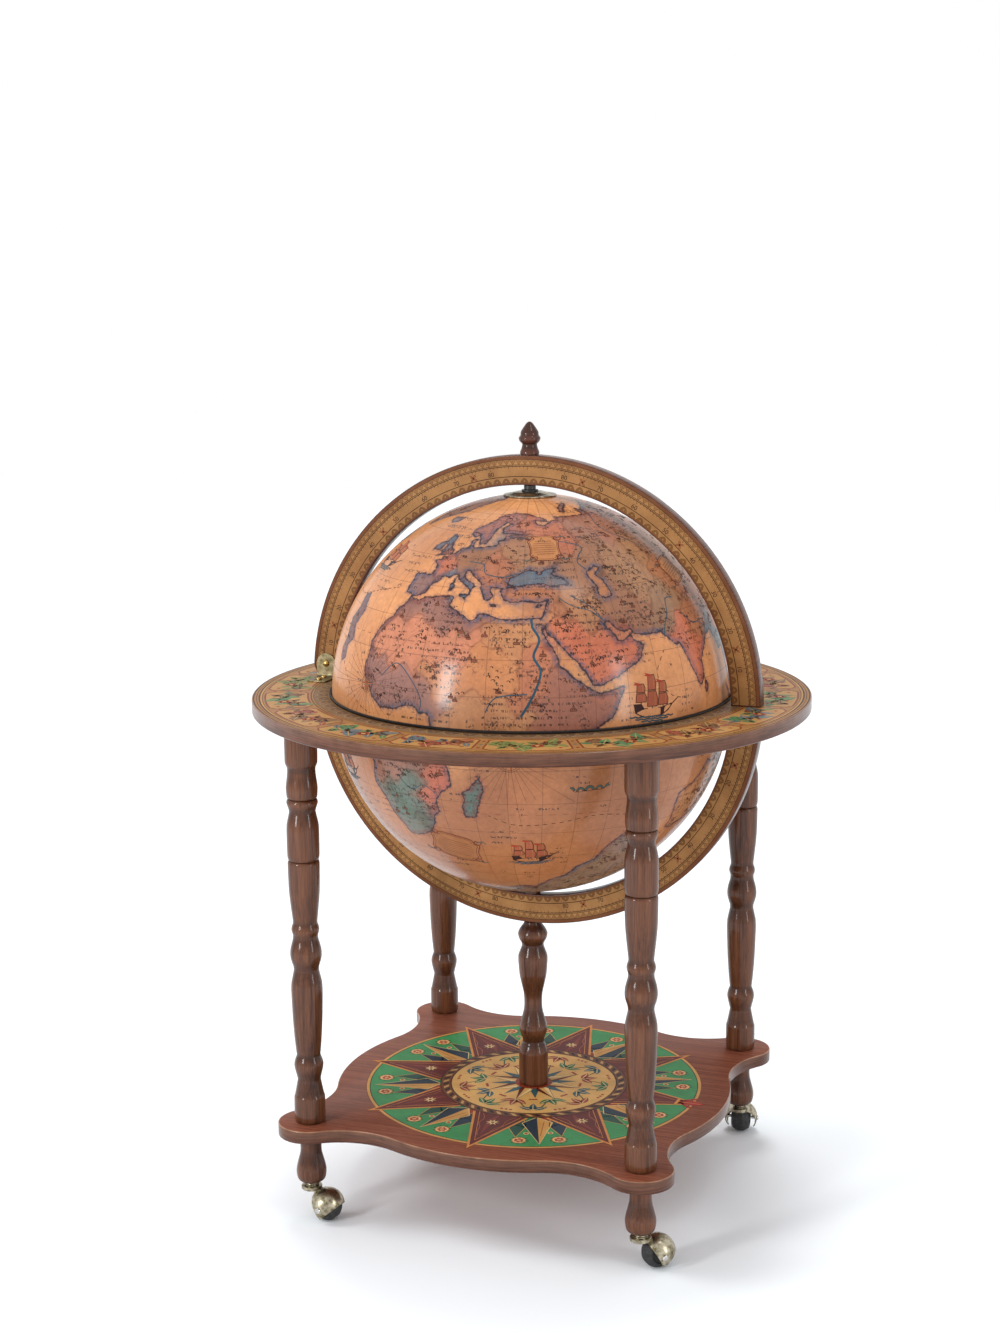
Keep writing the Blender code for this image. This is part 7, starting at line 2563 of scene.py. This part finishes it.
@dataclass
class Hinge:
    """Two bent brass brackets, their screws, and the bolt that the upper meridian turns on, in mm."""

    x: float = -279.69
    pivot: float = 666.3
    inner: float = 9.0
    thickness: float = 2.0
    foot: float = 647.3
    half_width: float = 13.3
    reach: float = 42.0
    bend: float = 3.0
    screws: tuple[float, float] = (19.0, 33.5)
    head: float = 3.6
    bolt_head: float = 4.5

    def build(self) -> None:
        """Bends the brackets and sets the screws, the bolt and its nut."""
        bright = PlatedMetal(Plating.BRIGHT_BRASS)
        for side, name in ((-1, "front"), (1, "back")):
            bracket = Seat("stand", "brass", (f"hinge_bracket_{name}",))
            bracket.take(f"hinge_plate_{name}", self.bracket(side), PlatedMetal(Plating.OLIVE_BRASS))
            for number, away in enumerate(self.screws, 1):
                node = f"hinge_screw_{name}_{number}"
                screw = placed(self.screw(*extent(node)), self.x, side * away)
                Seat("stand", "brass", (node,)).take(f"fixing_{name}_{number}", screw, bright)
        bolt = placed(self.bolt(), self.x, 0.0, self.pivot)
        Seat("stand", "brass", ("hinge_bolt",)).take("pivot_bolt", bolt, bright)
        nut = turned_to_y(hex_nut("hinge_nut", self.bolt_head, 2.6, 1))
        placed(nut, self.x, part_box("hinge_nut")[0].y / MM, self.pivot)
        Seat("stand", "brass", ("hinge_nut",)).take("pivot_nut", nut, bright)

    def path(self) -> list[Point]:
        """Follows the middle of a bracket's strip from the foot's end up to the round top.

        Returns:
            Its (y, z) points in mm.
        """
        half = self.thickness / 2
        middle = self.inner + half
        level = self.foot + half
        corner = self.bend + half
        path = [(self.reach - step * 1.0, level) for step in range(int(self.reach - middle - corner))]
        path += arc(corner, -90, -180, 8, (middle + corner, level + corner))
        start = level + corner
        top = self.pivot + self.half_width
        for share in np.linspace(0, 1, 29)[1:]:
            path.append((middle, start + (top - start) * math.sin(math.pi / 2 * share)))
        return path

    def bracket(self, side: int) -> Mesh:
        """Bends one bracket out of a flat strip.

        Args:
            side: -1 in front of the meridian, 1 behind it.

        Returns:
            The mesh, in place.
        """
        half = self.thickness / 2
        path = self.path()
        rows = []
        ease = 0.3
        for index, (y, z) in enumerate(path):
            wide = self.half_width
            if z > self.pivot:
                wide = math.sqrt(max(self.half_width**2 - (z - self.pivot) ** 2, 0.04))
            from_end = self.reach - y
            if from_end < self.bend:
                wide -= self.bend - math.sqrt(max(self.bend**2 - (self.bend - from_end) ** 2, 0.0))
            before = path[max(index - 1, 0)]
            after = path[min(index + 1, len(path) - 1)]
            along = Vector((after[0] - before[0], after[1] - before[1])).normalized()
            eased = max(wide - ease, 0.05)
            quarter = ((wide, half - ease), (wide, ease - half), (eased, -half), (-eased, -half))
            section = [*quarter, *((-x, -n) for x, n in quarter)]
            rows.append([(self.x + x, side * (y - along.y * n), z + along.x * n) for x, n in section])
        mesh = skinned("bracket", np.array(rows), loop=False)
        if side < 0:
            mesh.flip_normals()
        return mesh

    def screw(self, low: float, high: float) -> Mesh:
        """Turns a wood screw with a domed head that has a cross recess.

        Args:
            low: The height of its point in mm.
            high: The height of its head's top in mm.

        Returns:
            The mesh, on the Z axis.
        """
        seat_height = high - 2.2
        brim = seat_height + 0.5
        profile = [(low, 0.4), (low + 3.0, 1.6), (seat_height, 1.9)]
        profile += [(seat_height, self.head), (brim, self.head)]
        for share in np.arange(1, 7) / 7:
            profile.append((brim + 1.7 * math.sin(share * math.pi / 2), self.head * math.cos(share * 1.45)))
        profile.append((high - 0.9, 0.25))
        mesh = lathe("screw", profile, 48)
        floor, arm, arm_width = high - 1.2, 1.9, 0.45
        for vertex in mesh.vertices:
            x, y, z = vertex.co / MM
            if z > floor and max(abs(x), abs(y)) < arm and min(abs(x), abs(y)) < arm_width:
                vertex.co.z = floor * MM
        return mesh

    def bolt(self) -> Mesh:
        """Turns the bolt with its domed head in front.

        Returns:
            The mesh, with its axis along Y.
        """
        low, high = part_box("hinge_bolt")
        start, end = low.y / MM, high.y / MM
        dome = 3.0
        profile = [(start, 0.3)]
        for turn in np.linspace(0.2, 1.45, 9):
            profile.append((start + dome * (1 - math.cos(turn)), self.bolt_head * math.sin(turn)))
        profile += [(start + dome, self.bolt_head), (start + dome, 2.5), (end - 0.6, 2.5), (end, 1.9)]
        return turned_to_y(lathe("bolt", profile, 48))


@dataclass
class PoleFittings:
    """The north pole's brass dish, black washer and bush, and the steel rod with its nut, in mm."""

    radius: float = 250.25
    edge: float = 33.0
    crown: float = 14.0
    bore: float = 4.3

    def build(self) -> None:
        """Turns all five pieces."""
        nylon = MouldedNylon()
        steel = PlatedMetal(Plating.ZINC)
        dish = lathe("cap", self.dish(), 96, loop=True)
        cap = Seat("upper_globe", "brass", ("pole_cap",))
        cap.take("pole_dish", dish, PlatedMetal(Plating.ANTIQUE_BRASS))
        for name, node, outer in (("pole_ring", "pole_washer", 10.4), ("pole_sleeve", "pole_bush", 7.4)):
            low, high = extent(node)
            ring = lathe(node, collar(low, high, outer, self.bore, 0.4), 64, loop=True)
            Seat("lid", "black_plastic", (node,)).take(name, ring, nylon)
        rod = self.thread(*extent("pole_rod"), 4.0)
        Seat("lid", "zinc_plated_steel", ("pole_rod",)).take("pole_stud", rod, steel)
        nut = placed(hex_nut("pole_nut", 7.5, self.bore, 2), 0.0, 0.0, extent("pole_nut")[0])
        Seat("lid", "zinc_plated_steel", ("pole_nut",)).take("pole_hexagon", nut, steel)

    def dish(self) -> list[Point]:
        """Follows the globe on the dish's underside and rises to its crown above.

        Returns:
            The dish's closed profile in mm.
        """
        foot, top = extent("pole_cap")
        under = [
            (GLOBE_HEIGHT + math.sqrt(self.radius**2 - r**2) + 0.02, r)
            for r in np.linspace(self.bore, self.edge - 0.4, 12)
        ]
        rim = [(foot + 0.4, self.edge - 0.1), (foot + 1.3, self.edge), (foot + 2.0, self.edge - 0.7)]
        rise = top - foot - 2.0
        slope = [
            (foot + 2.0 + rise * eased**1.25, self.edge - 1.2 - share * 16.0)
            for share, eased in ((s, 0.5 - 0.5 * math.cos(s * math.pi)) for s in np.linspace(0.06, 1.0, 14))
        ]
        crown = [(top, self.crown), (top, self.bore)]
        return [*under, *rim, *slope, *crown]

    def thread(self, low: float, high: float, radius: float) -> Mesh:
        """Turns a rod, with its thread drawn as rings.

        Args:
            low: The height of its lower end in mm.
            high: The height of its upper end.
            radius: Its radius over the thread.

        Returns:
            The mesh, on the Z axis.
        """
        pitch = 1.25
        profile = [(low, radius - 0.8)]
        for turn in range(int((high - low) / pitch) - 1):
            foot = low + 0.6 + turn * pitch
            profile += [(foot, radius - 0.5), (foot + pitch / 2, radius)]
        profile.append((high, radius - 0.8))
        return lathe("rod", profile, 32)


@dataclass
class RimTrim:
    """Black cord of two twisted plies round the foot of the upper half, in mm."""

    ring: float = 251.9
    height: float = 649.3
    aside: float = 0.7
    upright: float = 0.9
    ply: tuple[float, float] = (0.85, 1.05)
    twists: int = 633
    per_twist: int = 8
    sides: int = 6

    def build(self) -> None:
        """Twists both plies round the globe."""
        cord = merged("cord", (self.twisted(0.0), self.twisted(math.pi)))
        Seat("upper_globe", "black_cord", ("rim_trim",)).take("rim_cord", cord, TwistedCord())

    def twisted(self, start: float) -> Mesh:
        """One ply.

        Args:
            start: Its angle in the twist where the cord begins, in radians.

        Returns:
            The mesh of the ply.
        """
        count = self.twists * self.per_twist
        around = np.linspace(0.0, math.tau, count, endpoint=False)
        phase = around * self.twists + start
        section = np.linspace(0.0, -math.tau, self.sides, endpoint=False)
        radial = self.ring + self.aside * np.cos(phase)[:, None] + self.ply[0] * np.cos(section)
        level = self.height + self.upright * np.sin(phase)[:, None] + self.ply[1] * np.sin(section)
        grid = np.empty((count, self.sides, 3))
        grid[:, :, 0] = radial * np.cos(around)[:, None]
        grid[:, :, 1] = radial * np.sin(around)[:, None]
        grid[:, :, 2] = level
        return skinned("ply", grid, loop=True)


@dataclass
class Casters:
    """Four hooded casters with barrel wheels, sizes in mm about each one's stem.

    Each is built along X from its stem and then turned to its heading, in degrees.
    """

    stem_offset: float = 216.5
    headings: dict[str, float] = field(
        default_factory=lambda: {
            "front_left": -7.0,
            "front_right": 43.0,
            "back_right": 99.0,
            "back_left": 156.0,
        }
    )
    trail: float = 22.0
    axle_height: float = 19.2
    wheel_radius: float = 19.2
    wheel_half: float = 12.0
    hood_radius: float = 22.2
    hood_wall: float = 1.4
    web: tuple[float, float, float] = (7.77, 13.0, 4.8)
    web_middle: tuple[float, float, float] = (10.345, 0.0, 35.1)
    cuts: tuple[Point, Point] = ((209.0, 6.5), (-49.0, 10.5))

    def build(self) -> None:
        """Makes each caster's hood, axle, wheel and stem."""
        brass = PlatedMetal(Plating.ANTIQUE_BRASS)
        nickel = PlatedMetal(Plating.NICKEL)
        rubber = TreadRubber()
        hub = Matrix.Translation(Vector((self.trail, 0.0, self.axle_height)) * MM)
        for corner, heading in self.headings.items():
            x = self.stem_offset * (1 if corner.endswith("right") else -1)
            y = self.stem_offset * (1 if corner.startswith("back") else -1)
            turned = Matrix.Rotation(math.radians(heading), 4, "Z")
            stem = Matrix.Translation(Vector((x, y, 0.0)) * MM) @ turned
            axle = stem @ hub
            for name, mesh, finishes, at, body, slot, node in (
                ("hood", self.hood(), (brass,), stem, f"caster_{corner}", "brass", "hood"),
                ("pin", self.axle(), (nickel,), axle, f"caster_{corner}", "zinc_plated_steel", "axle"),
                ("wheel", self.wheel(), (rubber,), axle, f"wheel_{corner}", "grey_rubber", "wheel"),
                ("stem", self.stem(), (brass, nickel), stem, "stand", "brass", "stem"),
            ):
                mesh.transform(at)
                seat = Seat(body, slot, (f"caster_{node}_{corner}",))
                seat.take(f"roller_{name}_{corner}", mesh, *finishes)

    def hood(self) -> Mesh:
        """Presses the hood: a hollow ball cut away over the wheel, with its top plate and web.

        Returns:
            The mesh, about the stem.
        """
        wheel = Vector((self.trail, 0.0, self.axle_height)) * MM
        shape = bmesh.new()
        bmesh.ops.create_uvsphere(shape, u_segments=72, v_segments=40, radius=self.hood_radius * MM)
        bmesh.ops.rotate(shape, verts=shape.verts, matrix=Matrix.Rotation(math.pi / 2, 3, "X"))
        for angle, away in self.cuts:
            normal = Vector((math.cos(math.radians(angle)), 0.0, math.sin(math.radians(angle))))
            bmesh.ops.bisect_plane(
                shape,
                geom=[*shape.verts, *shape.edges, *shape.faces],
                plane_co=normal * away * MM,
                plane_no=normal,
                clear_outer=True,
            )
        bmesh.ops.recalc_face_normals(shape, faces=shape.faces)
        bmesh.ops.solidify(shape, geom=list(shape.faces), thickness=self.hood_wall * MM)
        bmesh.ops.translate(shape, verts=shape.verts, vec=wheel)
        ease = 0.5
        disc = collar(low=37.2, high=41.7, outer=13.0, bore=4.3, ease=ease)
        web = bmesh.new()
        bmesh.ops.create_cube(web, size=1.0)
        bmesh.ops.scale(web, verts=web.verts, vec=Vector(self.web) * MM)
        bmesh.ops.translate(web, verts=web.verts, vec=Vector(self.web_middle) * MM)
        bmesh.ops.bevel(web, geom=list(web.edges), offset=ease * MM, segments=2, affect="EDGES")
        return merged("hood", (baked("ball", shape), lathe("plate", disc, 72, loop=True), baked("web", web)))

    def axle(self) -> Mesh:
        """Turns the axle with its two bright domed caps."""
        half = [(0.0, 2.0), (22.4, 2.0), (22.4, 3.2), (22.8, 3.6), (23.2, 3.4), (23.6, 2.4), (23.79, 0.8)]
        profile = [(-height, radius) for height, radius in half[:0:-1]] + [*half[1:]]
        return turned_to_y(lathe("axle", profile, 40))

    def wheel(self) -> Mesh:
        """Turns the barrel wheel with fine ribs round its tread and dished sides.

        Returns:
            The mesh, with its axis along Y.
        """
        places, sizes = (0.0, 0.3, 0.75, 1.0), (1.0, 1.0, 0.87, 0.73)
        tread = []
        rib = 1.5
        for y in np.arange(-self.wheel_half + 0.6, self.wheel_half - 0.4, 0.25):
            size = np.interp(abs(y) / self.wheel_half, places, sizes) * self.wheel_radius
            groove = 0.28 * max(0.0, math.cos(math.tau * y / rib)) ** 2
            tread.append((float(y), float(size) - groove))
        flank = [(self.wheel_half, 13.4), (self.wheel_half, 11.4), (self.wheel_half - 1.6, 10.4)]
        flank += [(self.wheel_half - 1.6, 6.0), (self.wheel_half, 5.2), (self.wheel_half, 2.3)]
        mirrored = [(-height, radius) for height, radius in reversed(flank)]
        return turned_to_y(lathe("wheel", [*mirrored, *tread, *flank], 72, loop=True))

    def stem(self) -> Mesh:
        """Turns the stem: a rivet under the plate, a dark neck with a bright ring, and the rod above.

        Returns:
            The mesh, with the bright ring as its second finish.
        """
        low, high = extent("caster_stem_front_left")
        profile = (
            (low, 3.0), (low + 0.9, 4.9), (36.6, 5.2), (36.9, 4.6), (36.9, 4.0), (42.0, 4.0), (42.0, 8.7),
            (42.3, 9.0), (43.6, 9.0), (43.9, 8.6), (44.2, 7.7), (44.6, 7.5), (45.0, 7.9), (46.2, 8.1),
            (46.7, 7.8), (46.7, 4.0), (high - 0.8, 4.0), (high, 3.2),
        )
        mesh = lathe("stem", profile, 64)
        bright, ring_low, ring_high = 1, 44.9, 46.8
        for face in mesh.polygons:
            if ring_low < face.center.z / MM < ring_high and len(face.vertices) == 4:
                face.material_index = bright
        return mesh


@dataclass(frozen=True)
class MattFloor(Finish):
    """A studio's seamless paper roll, matt and nearly white, with a faint tooth that kills reflections."""

    def paint(self, tree: Tree, place: Socket) -> dict[str, object]:
        """Gives the paper its tooth of about 1 mm."""
        grain = add(tree, NOISE, {"Vector": place, "Scale": 900.0, "Detail": 1.0})
        colour = add(tree, MIX, (grain, "#F1F6FB", "#F8FCFF"), data_type="RGBA")
        return {"Base Color": colour, "Roughness": 0.9, "Specular IOR Level": 0.1}


@dataclass
class Studio:
    """The pale floor, the lamps and the camera, in metres and degrees."""

    floor_size: float = 14.0
    camera_at: tuple[float, float, float] = (1.0076, -2.6560, 1.2312)
    camera_yaw: float = -21.5616
    camera_down: float = 11.0202
    camera_roll: float = -0.5202
    lens_mm: float = 62.28
    sensor_mm: float = 36.0
    surround: float = 0.72

    def build(self) -> None:
        """Lays the floor, lights it and sets up the camera."""
        self.lay_floor()
        self.light_surround()
        self.hang_far("key_left", 0.85, (196.0, 46.0), 22.0)
        self.hang_far("key_overhead", 1.05, (112.0, 76.0), 18.0)
        self.hang_box("strip_left", (-1.22, -2.40, 1.20), (0.36, 1.05), 30.0)
        self.hang_box("strip_right", (2.60, -0.85, 1.10), (0.34, 1.50), 15.0)
        self.hang_box("strip_above", (1.10, -0.49, 3.05), (0.5, 0.5), 4.0)
        self.set_camera()

    def lay_floor(self) -> None:
        """Lays a matt white floor that fades into the background."""
        shape = bmesh.new()
        bmesh.ops.create_grid(shape, x_segments=1, y_segments=1, size=self.floor_size / 2)
        dressed("studio_floor", baked("floor", shape), MattFloor())

    def light_surround(self) -> None:
        """Lights the scene evenly from all round; to the eye the surround is plain white."""
        world = bpy.data.worlds.new("studio")
        bpy.context.scene.world = world
        world.use_nodes = True
        tree = world.node_tree
        rays = add(tree, "ShaderNodeLightPath").outputs
        seen = add(tree, MATH, (rays["Is Camera Ray"], rays["Is Glossy Ray"]), operation="MAXIMUM")
        direct = add(tree, MATH, (seen, rays["Is Transmission Ray"]), operation="MAXIMUM")
        strength = add(tree, RANGE, (direct, 0.0, 1.0, self.surround, 1.0))
        feed(tree.nodes["Background"], {"Color": "#FFFFFF", "Strength": strength})

    def hang_far(self, name: str, power: float, come_from: Point, spread: float) -> None:
        """Hangs a far lamp that gives a soft shadow and no bright patch in the varnish.

        Args:
            name: The lamp's name.
            power: Its strength.
            come_from: Its direction and its height above the floor's level.
            spread: How wide it looks.
        """
        lamp = bpy.data.lights.new(name, "SUN")
        lamp.energy = power
        lamp.angle = math.radians(spread)
        turned, raised = (math.radians(angle) for angle in come_from)
        level = math.cos(raised)
        toward = Vector((math.cos(turned) * level, math.sin(turned) * level, math.sin(raised)))
        hung = placed_in_scene(bpy.data.objects.new(name, lamp))
        hung.rotation_euler = toward.to_track_quat("Z", "Y").to_euler()
        hung.visible_glossy = False

    def hang_box(self, name: str, place: Sequence[float], size: Point, power: float) -> None:
        """Hangs a soft box that shows as a pale patch in the varnish.

        Args:
            name: The lamp's name.
            place: Where it hangs.
            size: Its width and height.
            power: Its power in watts.
        """
        lamp = bpy.data.lights.new(name, "AREA")
        lamp.shape = "RECTANGLE"
        lamp.size, lamp.size_y = size
        lamp.energy = power
        hung = placed_in_scene(bpy.data.objects.new(name, lamp))
        hung.location = place
        globe = Vector((0.0, -0.1, 0.70))
        hung.rotation_euler = (Vector(place) - globe).to_track_quat("Z", "Y").to_euler()

    def set_camera(self) -> None:
        """Stands the camera where the photo was taken from."""
        yaw, down, roll = (math.radians(a) for a in (self.camera_yaw, self.camera_down, self.camera_roll))
        ahead = Vector((math.sin(yaw) * math.cos(down), math.cos(yaw) * math.cos(down), -math.sin(down)))
        level = Vector((math.cos(yaw), -math.sin(yaw), 0.0))
        upright = level.cross(ahead)
        right = level * math.cos(roll) + upright * math.sin(roll)
        above = upright * math.cos(roll) - level * math.sin(roll)
        data = bpy.data.cameras.new("photo")
        data.lens = self.lens_mm
        data.sensor_width = self.sensor_mm
        data.sensor_fit = "AUTO"
        camera = placed_in_scene(bpy.data.objects.new("photo", data))
        turned = Matrix((right, above, -ahead)).transposed().to_4x4()
        camera.matrix_world = Matrix.Translation(self.camera_at) @ turned
        bpy.context.scene.camera = camera


@dataclass
class HiddenFixings:
    """Steel fixings that stay as the CAD has them: they sit in bores and show at most an end."""

    names: tuple[str, ...] = ("column_screw", "south_pole_bolt")

    def build(self, nodes: dict[str, bpy.types.Object]) -> None:
        """Plates each fixing.

        Args:
            nodes: The CAD nodes by name.
        """
        for name in self.names:
            node = nodes[name]
            node.data.materials.clear()
            node.data.materials.append(PlatedMetal(Plating.ZINC).material())
            log.info("%s is plated", name)


def main() -> None:
    """Builds the globe bar from the frame, dresses it and lights it."""
    logging.basicConfig(level=logging.INFO, format="%(message)s")
    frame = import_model()
    bpy.context.scene.view_settings.view_transform = "Standard"
    HiddenFixings().build(frame["nodes"])
    for part in (
        BaseBoard, Turnings, HorizonRing, Meridian, Globe, BottleRack, Hinge, PoleFittings, RimTrim, Casters,
        Studio,
    ):
        part().build()


if __name__ == "__main__":
    main()
